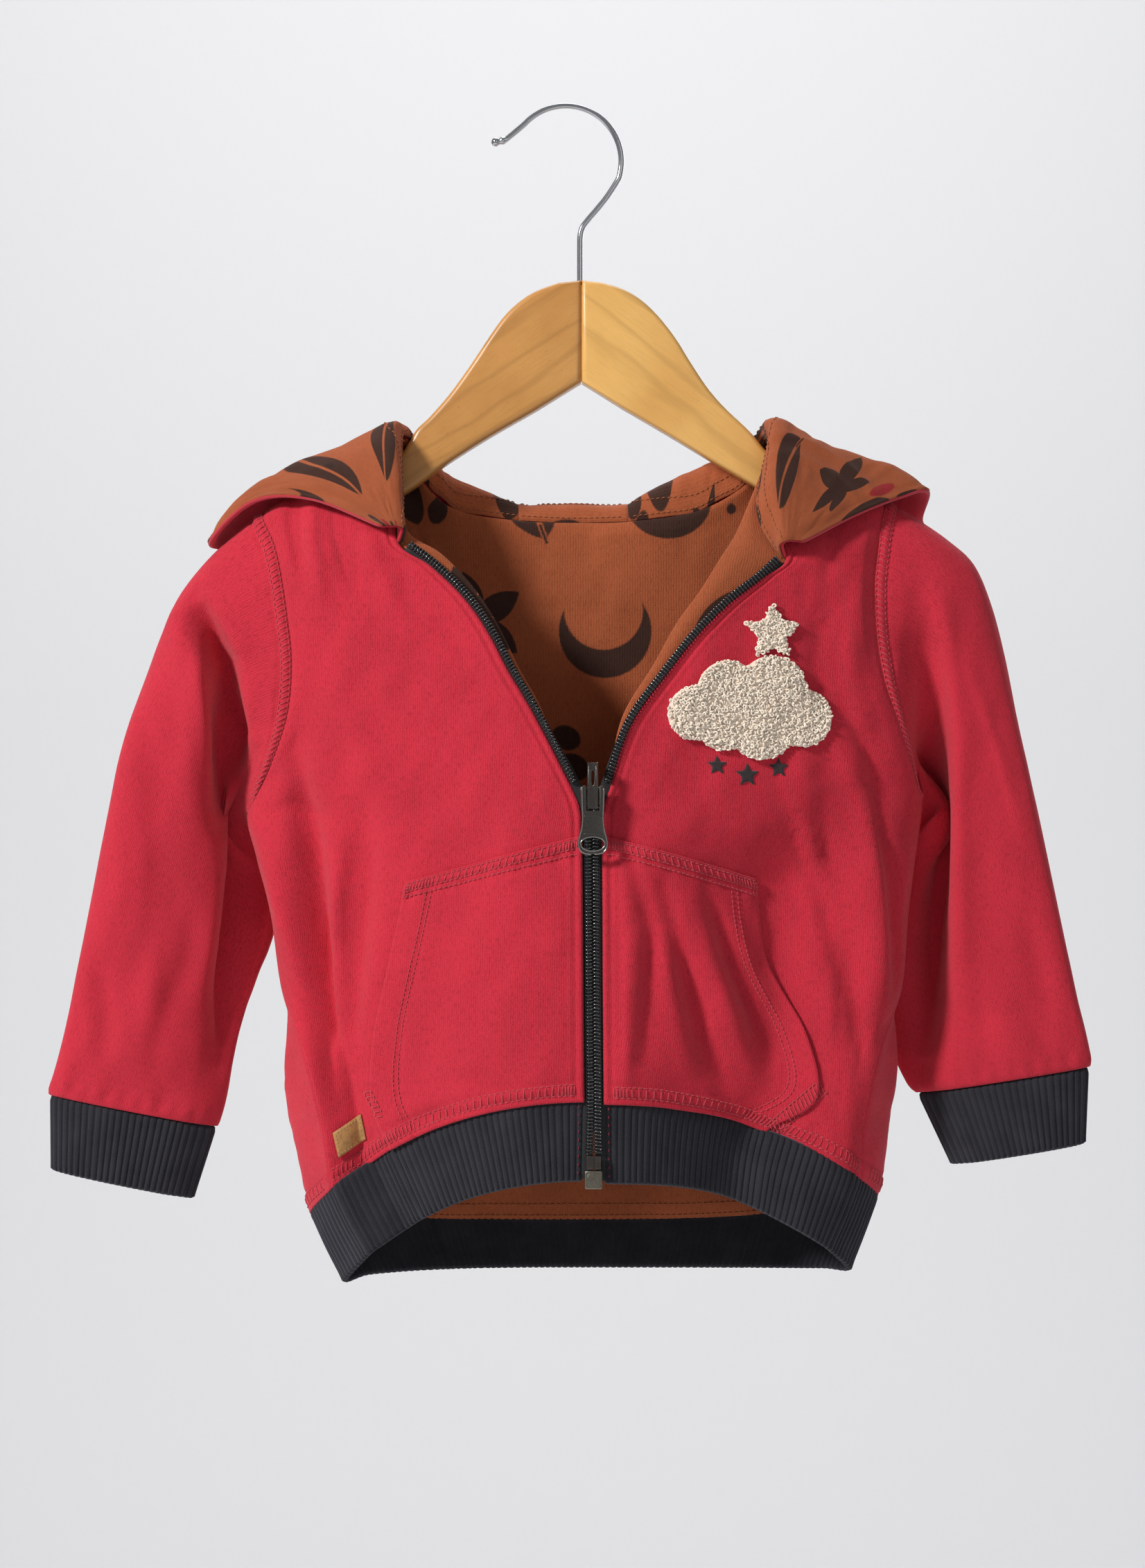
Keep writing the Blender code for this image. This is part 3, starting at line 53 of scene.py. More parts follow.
# Each half of the body, one row for each of LEVELS and one number for each of COLUMNS.
LEFT_BODY = (
    (-92, -3, -490, -81, -60, 7.6, -47, -443, 6, -443, -92, -3),
    (-106, 0, -462, -95.5, -73, 8.4, -49, -411, 6.8, -411, -106, 0),
    (-112, 0, -435, -99, -81, 8.2, -49, -391, 6.6, -391, -112, 0),
    (-118, 0, -403, -106, -79.5, 8, -48, -366, 6.4, -366, -118, 0),
    (-117.5, 1, -370, -117.5, -73, 7.8, -46, -336, 6.2, -336, -117.5, 1),
    (-122.5, 2, -337, -122.5, -66, 7.5, -44, -304, 5.9, -304, -122.5, 2),
    (-128.5, 2, -313, -128.5, -64, 7, -43, -293, 5.4, -293, -128.5, 2),
    (-132, 2, -294, -132, -63, 3, -42, -283, 2.5, -282, -132, 2),
    (-121, -10, -273, -121, -70, -12, -41, -254, -9, -252.5, -124, 9),
    (-114, -16, -253, -114, -72, -22, -39, -237, -18.5, -235, -121, 13),
    (-112, -19, -232, -112, -76, -31, -36, -220, -27, -217.5, -119, 15),
    (-114, -19, -212, -114, -80, -41, -33, -206, -36.5, -202.5, -119, 15),
    (-117, -17, -193, -117, -87, -54.5, -30, -193, -50, -188, -121, 13),
    (-120, -13, -182, -120, -97, -68, -27, -183, -64.5, -178, -123, 11),
    (-123, -10, -176, -123, -97, -68.5, -18, -161, -66.5, -161, -124.5, 9.5),
    (-125, -7, -171.5, -125, -97, -69, -8, -139.5, -68.5, -139.5, -125.5, 7),
    (-126, 0, -169, -126, -97, -67.5, 0, -136.5, -67.5, -136.5, -126, 0),
)
RIGHT_BODY = (
    (120.5, -3, -485, 111, 82, 17.4, -47, -444, 19, -444, 120.5, -3),
    (132, 0, -455, 123, 88, 17, -49, -412, 18.6, -412, 132, 0),
    (137, 0, -430, 124, 106, 16.8, -49, -392, 18.4, -392, 137, 0),
    (143, 0, -400, 130, 102, 16.6, -48, -366, 18.2, -366, 143, 0),
    (141.5, -1, -369, 141.5, 87, 16.5, -46, -336, 18.1, -336, 141.5, -1),
    (144.5, -1, -337, 144.5, 83, 16.3, -44, -304, 17.9, -304, 144.5, -1),
    (147.5, 0, -313, 147.5, 83, 16.5, -43, -293, 18.4, -293, 147.5, 0),
    (150.5, 2, -289, 150.5, 85, 19.5, -42, -284, 19, -283, 150.5, 2),
    (145, -9, -273, 145, 90, 28, -41, -259, 24.5, -256, 147, 9),
    (139, -14, -256, 139, 93, 42, -39, -239, 37.5, -234, 144, 13),
    (133, -17, -239, 133, 96, 55.5, -36, -222, 47, -217, 140, 15),
    (129.5, -18, -219, 129.5, 99, 68.5, -33, -209, 57, -203, 136, 15),
    (129, -16, -199, 129, 105, 82.5, -30, -198, 65, -190, 134, 13),
    (131, -13, -182, 131, 113, 92, -27, -189, 71, -180, 134, 11),
    (132.5, -10, -173, 132.5, 112, 81.5, -20, -170.5, 76, -169, 134, 9.5),
    (134, -7, -167, 134, 110, 88, -8, -141.5, 87.5, -141.5, 134.5, 7),
    (135, 0, -164, 135, 110, 88.5, 0, -137.5, 88.5, -137.5, 135, 0),
)
BODY = {"left": LEFT_BODY, "right": RIGHT_BODY}
# By level: how square the front and the back are, how the side's columns are spaced, and how much
# of the front's fall towards the middle follows its depth.
FRONT_POWER = (2.0, 2.0, 2.0, 2.1, 2.1, 2.0, 1.9, 1.6, 1.3, 1.25, 1.2, 1.2, 1.2, 1.2, 1.2, 1.2, 1.2)
BACK_POWER = (2.6, 2.4, 2.3, 2.2, 2.2, 2.2, 2.2, 2.0)
SIDE_SPACING = (1.0, 1.0, 1.0, 1.0, 1.8, 1.8, 1.8, 1.8, 1.2, 1.1, 1.1, 1.1, 1.1, 1.1, 1.1, 1.1, 1.1)
DROOP = (1.0, 1.0, 0.8, 0.5, 0.25, 0, 0, 0, 0, 0, 0, 0, 0, 0, 0, 0, 0)
DROOP_POWER = 1.6
# The back's middle at each level up to the armpit, y and z; then the neckline, x, y and z.
BACK_MIDDLE = ((12, -486), (21, -467), (22, -440), (22, -408), (21, -373), (20, -339), (20, -314),
               (19, -292))
BACK_X = 4.0
BACK_Y_TOP = 18.5
NECKLINE = ((-67.5, 0, -136.5), (-65.6, 6, -139), (-62.4, 10, -146.5), (-56.5, 12.5, -157.5),
            (-44.5, 15, -167.5), (-19, 18, -171.6), (4, 18.5, -172.5), (28, 18, -172),
            (56, 15, -168), (75, 12.5, -158), (83.5, 10, -147), (87, 6, -140), (88.5, 0, -137.5))
LEVEL = {name: index for index, name in enumerate(LEVELS)}
ARMPIT = LEVEL["armpit"]
COLLAR = LEVEL["collar"]
SHOULDER = LEVEL["shoulder"]
# Places across the back, from 0 at the left shoulder's tip to 1 at the right one's.
TIP_LEFT, TIP_RIGHT = LEFT_BODY[SHOULDER][0], RIGHT_BODY[SHOULDER][0]
NECK_PLACES = [(x - TIP_LEFT) / (TIP_RIGHT - TIP_LEFT) for x, _, _ in NECKLINE]
NECK_START, NECK_END = NECK_PLACES[0], NECK_PLACES[-1]
NECK_STEPS = len(NECKLINE) - 1
BACK_PLACES = [0.012, 0.045, 0.1, 0.16] + NECK_PLACES + [0.88, 0.92, 0.96, 0.988]
FRONT_SIDE_COLUMNS = 5
FRONT_MIDDLE_COLUMNS = 7
# The large folds, which the solid model has too: path in x and z, depth and width.
BODY_FOLDS = (
    (((-112, -262), (-109, -308), (-108, -372)), 3.0, 7.0),
    (((-80, -294), (-85, -332), (-98, -368), (-100, -394)), 2.6, 7.0),
    (((28, -321), (38, -346), (33, -408)), 2.2, 7.0),
    (((40, -332), (55, -383), (67, -413)), 2.2, 7.0),
    (((118, -275), (127, -305), (131, -350)), 2.5, 6.0),
)
SLEEVE_FOLDS = {
    "left": ((((-150, -219), (-136, -245), (-138, -266), (-140, -286), (-133, -302)), 6.0, 7.0),),
    "right": ((((152, -216), (156, -274), (153, -331), (152, -383)), 5.0, 8.0),),
}
# Sleeve and cuff sections from the shoulder down: x and z outside, x and z inside, y outside and
# inside, and how far the front and the rear bulge.
LEFT_SLEEVE = (
    (-146, -186, -131.5, -301, 0, 10, 20, 14),
    (-162, -206.5, -125.5, -315, 0, 15, 19, 12),
    (-172, -231.5, -122.5, -330, 0, 18, 18, 10),
    (-182.5, -260.5, -123.5, -346, -1, 16, 17, 11),
    (-187.5, -282, -128.5, -359, -2, 12, 16, 12),
    (-194, -315.5, -133.5, -376, -3, 8, 14, 11),
    (-201.5, -354.5, -138.5, -396, -4, 4, 12, 10),
    (-208.5, -389, -141, -414, -5, 0, 11, 9),
    (-215, -411.5, -143.5, -425.5, -5, -2, 10, 9),
)
RIGHT_SLEEVE = (
    (156, -177, 148.5, -297, 0, 12, 20, 13),
    (173, -192.5, 144.5, -312, 0, 18, 19, 10),
    (183, -221.5, 139, -328, 0, 21, 18, 9),
    (191, -260.5, 135.5, -347, -1, 22, 17, 9),
    (198, -292, 134, -363, -2, 21, 16, 9),
    (206, -330.5, 135, -380, -3, 19, 14, 9),
    (214, -369, 139.5, -396, -4, 14, 12, 9),
    (219, -390, 144, -406.5, -5, 9, 11, 9),
    (220.5, -400, 148, -412.5, -5, 7, 10, 9),
)
SLEEVE_ROWS = {"left": LEFT_SLEEVE, "right": RIGHT_SLEEVE}
LEFT_CUFF = ((-213.8, -412.5, -144.8, -426.2, -5, -2, 9, 8), (-213.5, -442.5, -154, -455, -5, -2, 8, 7))
RIGHT_CUFF = ((219.3, -401, 149.3, -413.2, -5, 7, 9, 8), (218, -431.5, 162.5, -441.5, -5, 4, 8, 7))
SLEEVE_RINGS = 15
# Hood columns: place along the neckline, then points from the neck to the rim.
LEFT_HOOD = (
    (0, (-68, -27.3, -182.5), (-66.5, -31, -178.8), (-67.5, -31.8, -177.6),
     (-69, -31.8, -177.3), (-70.6, -31.6, -177.2), (-71.4, -31.5, -177.2),
     (-72.2, -31.3, -177.3), (-73.8, -31, -177.5)),
    (0.5, (-68.3, -23, -172), (-67, -28, -165), (-69, -28.5, -162.3),
     (-74, -27, -163.5), (-79.5, -25.5, -165.5), (-82, -24.8, -166.8),
     (-84.5, -24, -168), (-89.5, -23, -170.5)),
    (1.3, (-68.7, -15, -154), (-69.8, -18.5, -147), (-72, -19, -144.5),
     (-80, -18, -148), (-91, -16.5, -153.5), (-96.2, -16, -156),
     (-101.5, -15.5, -158.5), (-111.5, -15, -163.2)),
    (2, (-69, -8, -139.5), (-70.5, -10.5, -135.5), (-74, -11, -135.5),
     (-87, -10, -143), (-103, -9.5, -151), (-109.5, -9.2, -154.5),
     (-116, -9, -158), (-128, -10, -166)),
    (3, (-67.5, 0, -136.5), (-67.8, -1, -134.6), (-73.4, -1, -135),
     (-93, -1, -144.7), (-113, -1, -153), (-123, -1.5, -158.4),
     (-133, -2, -163.9), (-146, -4, -182)),
    (4, (-65.6, 6, -139), (-66, 9.5, -135.8), (-71.5, 12.5, -137),
     (-90, 17, -152), (-117, 19, -174), (-125, 21, -178.5),
     (-133, 22, -183), (-142, 18, -184)),
    (6, (-56.5, 12.5, -157.5), (-58.5, 16.5, -146), (-71, 21, -151),
     (-93, 29, -172), (-114, 34.5, -200), (-124, 41, -208),
     (-131, 47, -199), (-135, 46, -185)),
    (7, (-44.5, 15, -167.5), (-47.5, 20, -154.5), (-54, 27, -175),
     (-69, 32, -222), (-77.8, 35, -258), (-83.5, 45, -261),
     (-88, 50, -236), (-91, 50, -190)),
    (8, (-19, 18, -171.6), (-19.8, 23.5, -166.8), (-21.5, 29, -199),
     (-26, 31, -258), (-29.5, 36.5, -297), (-30.2, 47.5, -298),
     (-32, 53, -250), (-33, 53, -190)),
)
HOOD_MIDDLE = (1, (4, 18.5, -172.5), (4, 24, -166.8), (4, 29.5, -202),
               (4, 32, -262), (4, 37.5, -305), (4, 48.5, -306),
               (4, 55, -253), (4, 54, -191))
RIGHT_HOOD = (
    (0, (92, -27.3, -188.8), (90.5, -31, -185), (91.5, -31.8, -183.6),
     (93, -31.8, -183.2), (94.6, -31.6, -183.2), (95.4, -31.5, -183.3),
     (96.2, -31.3, -183.4), (97.8, -31, -183.8)),
    (0.5, (87, -23.5, -179.5), (88, -29, -173), (90, -29, -170.5),
     (95.5, -27.5, -172), (101, -26, -174), (103.5, -25.2, -175),
     (106, -24.5, -176), (110.5, -23.5, -177.5)),
    (1.3, (82.5, -17, -162), (87.5, -20, -154), (90, -20.5, -150),
     (98.5, -19.5, -152.5), (109.5, -17.5, -158), (114.2, -16.8, -160.8),
     (119, -16, -163.5), (127, -15, -168)),
    (2, (88, -8, -141.5), (87.8, -11, -136), (90.5, -12, -135),
     (101, -11, -142), (115, -10, -150), (122, -9.5, -153.5),
     (129, -9, -157), (141, -10, -163.5)),
    (3, (88.5, 0, -137.5), (86.5, -1, -132.5), (93, -1, -134.3),
     (107, -1, -143.2), (123, -1, -149), (131, -1.5, -151.2),
     (139, -2, -153.5), (151.5, -4, -161.5)),
    (4, (87, 6, -140), (85.5, 8.5, -134), (91.5, 12.5, -136),
     (108, 17, -150), (129, 19, -170), (135.5, 21, -173),
     (142, 22, -176), (152, 18, -171)),
    (6, (75, 12.5, -158), (76, 16.5, -145), (89, 21, -149),
     (110, 29, -168), (131, 34.5, -195), (140, 41, -203),
     (147.5, 47, -194), (152, 45, -177)),
    (7, (56, 15, -168), (58.5, 20, -150.5), (67, 27, -174),
     (84, 32, -221), (93, 35, -256), (99, 45, -259),
     (103, 50, -234), (105, 50, -184)),
    (8, (28, 18, -172), (28, 23.5, -166.8), (29.5, 29, -199),
     (33, 31, -258), (37.4, 36.5, -297), (38.2, 47.5, -298),
     (40, 53, -250), (41, 53, -189)),
)
HOOD_PLACES = (0, 1, 2, 3, 4, 5, 6, 6.5, 7, 7.5, 8)
STRIP_PLACES = (0, 1, 2)
HOOD_STEPS = (0, 0.5, 1, 1.4, 2, 2.5, 3, 3.5, 4, 4.33, 4.67, 5, 5.6, 6.3, 7)
# The zip's slider, the rail on it and the pull tab's pin and faces.
SLIDER_X = 12.2
SLIDER_FRONT_Y = -47.6
SLIDER_TOP, SLIDER_BOTTOM = -283.0, -290.5
RAIL_TOP, RAIL_BOTTOM = -274.0, -292.6
RAIL_FOOT = -289.4
PIVOT_Y, PIVOT_Z = -49.9, -284.6
PULL_BACK_Y, PULL_FRONT_Y = -51.0, -52.5
JOINT_X = 7.7
SHANK_X = 7.1
# The hanger: each half's outline in x and z, from the joint at the top round to the joint below.
LEFT_BOARD = ((-1.8, -73.4), (-11.5, -77), (-19, -82), (-25, -88), (-31, -96.4), (-38.3, -107.4),
              (-47, -119.5), (-55.4, -129.2), (-61, -134.6), (-64.5, -140.5), (-70, -146.7), (-90, -158.2),
              (-112, -170.9), (-130, -181.3), (-138, -188), (-138.6, -193), (-136.5, -196.5),
              (-131, -195.2), (-112, -185.5), (-88, -173.4), (-65.2, -161), (-49.3, -149.6),
              (-31, -138), (-11.5, -126.8))
RIGHT_BOARD = ((16.4, -73.3), (25.1, -76), (32.4, -80.3), (39.6, -87), (47, -96.4), (53.1, -106.2),
               (60.4, -117.2), (67.7, -125.6), (77.5, -134.9), (84, -142.6), (92, -150.2), (108, -160),
               (126, -171), (142, -180.7), (150, -187), (150.6, -193), (148.5, -196.6), (143, -194.6),
               (126, -185), (105, -173), (84.8, -161.2), (59.2, -146), (42.2, -135.8), (25.1, -125.8))
BOARD_TOP, BOARD_NOTCH = -72.4, -115.0
HOOK_RADIUS = 23.2
HOOK_CENTRE = (1.2, -22.0)
# The label's corners, the cloud's lobes (x, z and radius round its centre), and the stars.
LABEL_CORNERS = ((-94.6, -426.5), (-83.3, -419), (-81.2, -429), (-92.4, -436.3))
CLOUD_LOBES = ((-22, -4, 11), (-9, 6, 13), (9, 9, 14), (23, -1, 12), (6, -6, 14), (-10, -7, 11))
CLOUD_CENTRE = (76.0, -252.0)
CLOUD_TILT = math.radians(-6)
STARS = (("motif_star", 86, -220.5, 11.5), ("motif_felt_1", 63, -275, 4.2),
         ("motif_felt_2", 75.5, -279, 5.0), ("motif_felt_3", 88.5, -276, 4.2))
# Folds on the fronts and the sleeves: path in x and z, height, width and, if uneven, slant.
LEFT_FOLDS = (
    (((-118, -310), (-109.5, -337), (-103.5, -362)), -1.3, 2.6, 0.5),
    (((-122, -322), (-115, -345), (-108, -378)), 1.0, 3.0, -0.4),
    (((-81, -288), (-90, -311), (-93.5, -337), (-93, -366)), -1.3, 2.8, -0.5),
    (((-86, -296), (-95, -320), (-99, -350)), 0.9, 3.2),
    (((-108, -335), (-106, -360), (-102, -389), (-99, -417)), -1.2, 2.8, 0.4),
    (((-119, -346), (-116.5, -372), (-109, -400)), -1.0, 3.0),
    (((-124, -296), (-112, -290), (-98, -296)), -0.9, 3.0),
    (((-111, -268), (-109, -305), (-107, -365), (-98, -418)), -5.0, 5.0, 0.4),
    (((-98, -268), (-97, -310), (-99, -375), (-96, -405)), 2.2, 6.0),
    (((-80, -285), (-84, -325), (-90, -362), (-92, -392)), -1.8, 5.0, -0.5),
    (((-74, -300), (-76, -340), (-88, -380)), 1.0, 6.0),
    (((-112, -158), (-111, -178), (-108, -198)), -1.6, 3.0, 0.3),
    (((-104, -158), (-103, -182), (-99, -208)), 1.1, 3.4),
    (((-94, -160), (-92, -180), (-84, -205)), -1.2, 3.4, -0.3),
    (((-85, -166), (-78, -190), (-62, -222)), 0.8, 4.5),
    (((-70, -180), (-56, -206), (-40, -232)), -0.6, 4.0),
    (((-40, -316), (-50, -345), (-54, -380)), -0.5, 8.0),
    (((-30, -420), (-52, -417), (-72, -425)), -0.9, 3.0, 0.4),
    (((-62, -408), (-40, -403), (-12, -404)), -0.7, 4.0),
    (((-96, -240), (-84, -262), (-70, -300)), 0.8, 7.0),
)
RIGHT_FOLDS = (
    (((86, -280), (109, -325), (117, -360), (115, -392)), -1.5, 3.0, 0.5),
    (((92, -282), (114, -322), (123, -358)), 1.1, 3.4, -0.4),
    (((60, -326), (71, -360), (90, -394)), -1.6, 3.0, -0.5),
    (((66, -324), (79, -356), (97, -388)), 1.2, 3.6),
    (((127, -276), (132.5, -308), (136, -343), (137, -380)), -1.4, 2.8, 0.4),
    (((112, -243), (126, -270), (136, -292)), -1.2, 3.4, -0.4),
    (((104, -250), (118, -278), (126, -300)), 1.0, 4.0),
    (((120, -341), (123, -377), (125, -408)), -1.2, 3.0),
    (((20, -308), (27, -345), (26, -385), (22, -410)), 1.8, 7.0, 0.5),
    (((26, -312), (36, -340), (33, -382), (30, -404)), -1.6, 4.5, 0.5),
    (((38, -316), (47, -350), (58, -384), (72, -416)), -2.8, 4.6, -0.5),
    (((33, -312), (42, -344), (46, -374), (53, -404)), 2.0, 4.4),
    (((50, -322), (62, -356), (76, -392), (88, -412)), 2.2, 5.5),
    (((62, -330), (74, -362), (84, -388)), -1.1, 4.5, 0.4),
    (((92, -318), (103, -352), (118, -384)), 1.1, 6.0),
    (((104, -282), (112, -316), (122, -356), (120, -400)), -2.8, 5.5, 0.4),
    (((118, -262), (128, -300), (133, -344), (131, -385)), 2.6, 6.5),
    (((130, -292), (138, -322), (138, -372)), -1.8, 4.0, -0.4),
    (((96, -262), (106, -300), (112, -338)), 1.2, 5.5),
    (((110, -200), (104, -232), (108, -262)), -1.1, 5.0),
    (((122, -196), (118, -226), (124, -258)), 0.9, 4.0),
    (((112, -152), (112, -176), (108, -200)), -1.3, 3.2),
    (((60, -222), (46, -262), (34, -292)), 0.7, 6.0),
    (((62, -296), (84, -300), (106, -290)), 0.7, 6.0),
    (((40, -424), (66, -432), (90, -442)), -0.8, 3.0),
)
FRONT_FOLDS = {"left": LEFT_FOLDS, "right": RIGHT_FOLDS}
# The sunk cloth beside each pocket: x, depth there, and the heights where it starts and ends.
SLUMP = {
    "left": ((-118, -104, -94, -20), (0, -11.5, -11.0, 0), (-268, -318), (-520, -470)),
    "right": ((31, 38, 88, 97, 127), (0, -0.5, -17.0, -17.5, 0), (-280, -326), (-520, -470)),
}
SLEEVE_CREASES = {
    "left": ((((-154, -205), (-141, -233), (-139, -262), (-140, -300)), -17.0, 5.5, -0.3),
             (((-152, -214), (-148, -246), (-147, -286)), 3.0, 4.0),
             (((-131, -262), (-129, -318), (-133, -352), (-140, -396)), -15.0, 9.0),
             (((-163, -205), (-154, -240), (-154, -275), (-152, -300)), 2.6, 7.0),
             (((-176, -240), (-170, -290), (-160, -340)), -1.0, 7.0),
             (((-186, -300), (-176, -340), (-168, -395)), 1.2, 7.0),
             (((-150, -330), (-158, -360), (-172, -398)), -1.2, 6.0, 0.4),
             (((-196, -345), (-190, -375), (-192, -402)), -0.8, 5.0),
             (((-139, -300), (-143, -340), (-152, -372)), 1.1, 5.0)),
    "right": ((((147, -196), (152, -230), (156, -262)), -4.0, 6.0),
              (((158, -206), (164, -262), (165, -330), (170, -390)), 3.2, 6.5, -0.5),
              (((149, -226), (151, -290), (150, -345), (148, -400)), -20.0, 8.0, 0.3),
              (((168, -232), (180, -266), (190, -302)), 0.9, 3.0, 0.5),
              (((176, -212), (182, -260), (186, -320)), -0.9, 8.0),
              (((196, -300), (194, -340), (204, -388)), -1.2, 6.0),
              (((180, -330), (184, -366), (186, -396)), 1.0, 6.0),
              (((160, -372), (176, -380), (200, -376)), -0.8, 5.0)),
}
# How far from the armhole a dent may reach its full depth.
DENT_REACH = {"left": 14, "right": 38}
# The cloth lies on the hanger above this height.
HANGER_FOOT = -215
# Ridges and grooves beside the edges of the cloth: height, distance from the edge and width.
SEAM = (-0.5, 0, 1.1)
ZIP_WELT = ((0.45, 1.2, 0.9), (-0.55, 2.9, 0.6), (0.25, 4.4, 1.0))
HEM_BAND = ((0.35, 5.0, 2.2), (-0.4, 8.4, 0.9))
HEM_GROOVES = ((-0.5, 2.4, 0.7), (-0.45, 7.0, 0.6))
ARMHOLE_WELT = (SEAM, (0.55, 3.0, 1.5), (-0.6, 5.6, 0.8))
HOOD_RIDGES = ((-0.9, 33.0, 1.3), (-0.9, 41.0, 1.5))
MOUTH_HEM = ((0.35, 6.5, 4.0), (-0.5, 13.3, 0.8))
POCKET_TOP = ((0.45, 2.6, 1.5), (-0.6, 7.2, 0.8), (-0.5, 0.9, 0.6), (-0.45, 4.6, 0.6))
RIB_PITCH, RIB_STEPS = 2.7, 8
# The inner row of stitches at each pocket's mouth, and the slanted bars where the mouths end.
MOUTH_ROW = {"left": 11.0, "right": 10.4}
POCKET_BARS = (("left", 1.6, ((-80.5, -409), (-75.0, -419.5))),
               ("right", 3.0, ((107, -406.5), (85.5, -425.5))))
# The zip tape: how far its hidden lines lie from the edge and how deep, and where it shows.
TAPE_HIDDEN = ((5.9, 2.2), (3.6, 1.9), (1.5, 1.3))
TAPE_SHOWN = (0.3, 1.4, 2.6, 3.8)
COIL_PITCH = 1.42
BOX_TOP = -432.5
PULL_TOP = PIVOT_Z + 1.2
PULL_SIDE = [(x, PULL_TOP - down) for x, down in (
    (4.8, 3.0), (4.75, 6.5), (4.6, 10.0), (4.5, 13.0), (4.65, 15.8), (5.1, 18.3), (5.75, 20.6), (6.12, 22.6),
    (6.1, 24.4), (5.5, 25.9), (4.4, 26.9), (2.8, 27.4), (1.0, 27.5))]
# The hook's wire: x, z and radius at its capped tip, then x and z down its shank.
HOOK_WIRE = 1.2
HOOK_TIP = ((-29.9, -14.25, 0.5), (-29.5, -14.2, 1.25), (-28.8, -14.1, 1.8), (-27.9, -13.9, 1.95),
            (-27.0, -13.8, 1.55), (-26.4, -13.7, 1.4), (-25.3, -13.4, 1.75), (-24.3, -13.0, 1.4),
            (-23.2, -12.4, HOOK_WIRE), (-19.4, -9.3, HOOK_WIRE))
HOOK_SHANK = ((21.0, -33.0), (17.9, -37.6), (14.0, -42.4), (10.4, -46.6), (8.0, -50.0),
              (7.2, -53.5), (SHANK_X, -58), (SHANK_X, -66), (SHANK_X, -74), (SHANK_X, -90))
# Colours, and the lining's print: the size of its cells and the height of its lower end in metres,
# how soft its edges are, and a paw's toes (x, y and radius).
RED = (0.60, 0.024, 0.047)
RUST = (0.41, 0.105, 0.040)
PRINT_CELL = 0.056
PRINT_EDGE = 0.018
PRINT_FOOT = -0.43
PRINT_BROWN = (0.030, 0.017, 0.014)
PRINT_CRIMSON = (0.33, 0.018, 0.028)
PAW_TOES = ((-0.28, 0.13, 0.10), (-0.10, 0.27, 0.11), (0.10, 0.27, 0.11), (0.28, 0.13, 0.10))
# The camera's place in metres and its lens in millimetres.
CAMERA = (0.004, -1.5, -0.2826)
LENS = 82.3
# The floor's height in metres; each lamp's place, size, power and aim.
FLOOR_Z = -1.35
LAMPS = (("key", (-1.8, -1.45, 0.95), 0.45, 67, (0, 0, -0.3)),
         ("fill", (1.2, -2.2, 0.1), 1.6, 4, (0, 0, -0.3)),
         ("top", (0.2, 0.4, 1.9), 1.4, 8, (0, 0, -0.3)),
         ("rear", (0.8, 2.0, 0.4), 1.4, 12, (0, 0, -0.3)),
         ("wall", (0.0, 1.6, 2.2), 2.8, 76, (0, 4.4, -0.7)))


# ================================================================ the shape's own grids
def spline(knots, at):
    """A Catmull-Rom curve through the knots, at a float index."""
    knots = np.asarray(knots, dtype=float)
    at = min(max(at, 0.0), len(knots) - 1.0)
    low = min(int(at), len(knots) - 2)
    part = at - low
    first, second = knots[low], knots[low + 1]
    before = knots[low - 1] if low > 0 else 2 * first - second
    after = knots[low + 2] if low + 2 < len(knots) else 2 * second - first
    slope_a, slope_b = (second - before) / 2, (after - first) / 2
    a, b = 2 * first - 2 * second + slope_a + slope_b, -3 * first + 3 * second - 2 * slope_a - slope_b
    return ((a * part + b) * part + slope_a) * part + first


def unit(vector):
    return vector / max(np.linalg.norm(vector), 1e-9)


def units(vectors):
    return vectors / np.maximum(np.linalg.norm(vectors, axis=-1, keepdims=True), 1e-9)


def grid_normals(points, sign=1.0, ring=False):
    """Unit normals of a grid, which halve the angle between each point's neighbours."""
    rows, columns = points.shape[:2]
    normals = np.zeros_like(points)
    for i in range(rows):
        for j in range(columns):
            here = points[i, j]
            across = along = 0
            if ring or j > 0:
                across = across + unit(here - points[i, j - 1])
            if ring or j < columns - 1:
                across = across + unit(points[i, (j + 1) % columns] - here)
            if i > 0:
                along = along + unit(here - points[i - 1, j])
            if i < rows - 1:
                along = along + unit(points[i + 1, j] - here)
            normals[i, j] = sign * unit(np.cross(across, along))
    return normals


def share(first, second, least=0.2):
    """Two normals made one, unless the cloth turns sharply between them."""
    if np.dot(first, second) < least:
        return first, second
    both = unit(first + second)
    return both, both


def fold_depth(folds, x, z):
    """How far the large folds push one place back: path in x and z, depth and width."""
    total = 0.0
    for path, depth, width in folds:
        nearest = FAR
        for index, ((ax, az), (bx, bz)) in enumerate(zip(path, path[1:])):
            dx, dz = bx - ax, bz - az
            part = min(max(((x - ax) * dx + (z - az) * dz) / (dx * dx + dz * dz), 0.0), 1.0)
            gap = math.hypot(x - ax - part * dx, z - az - part * dz)
            if gap < nearest:
                nearest, along = gap, (index + part) / (len(path) - 1)
        total += depth * math.sin(math.pi * along) ** 0.5 * math.exp(-(nearest / width) ** 2)
    return total


def body_row(table, level):
    if level <= COLLAR:
        return dict(zip(COLUMNS, spline(table[:COLLAR + 1], level)))
    return dict(zip(COLUMNS, spline(table[COLLAR:], level - COLLAR)))


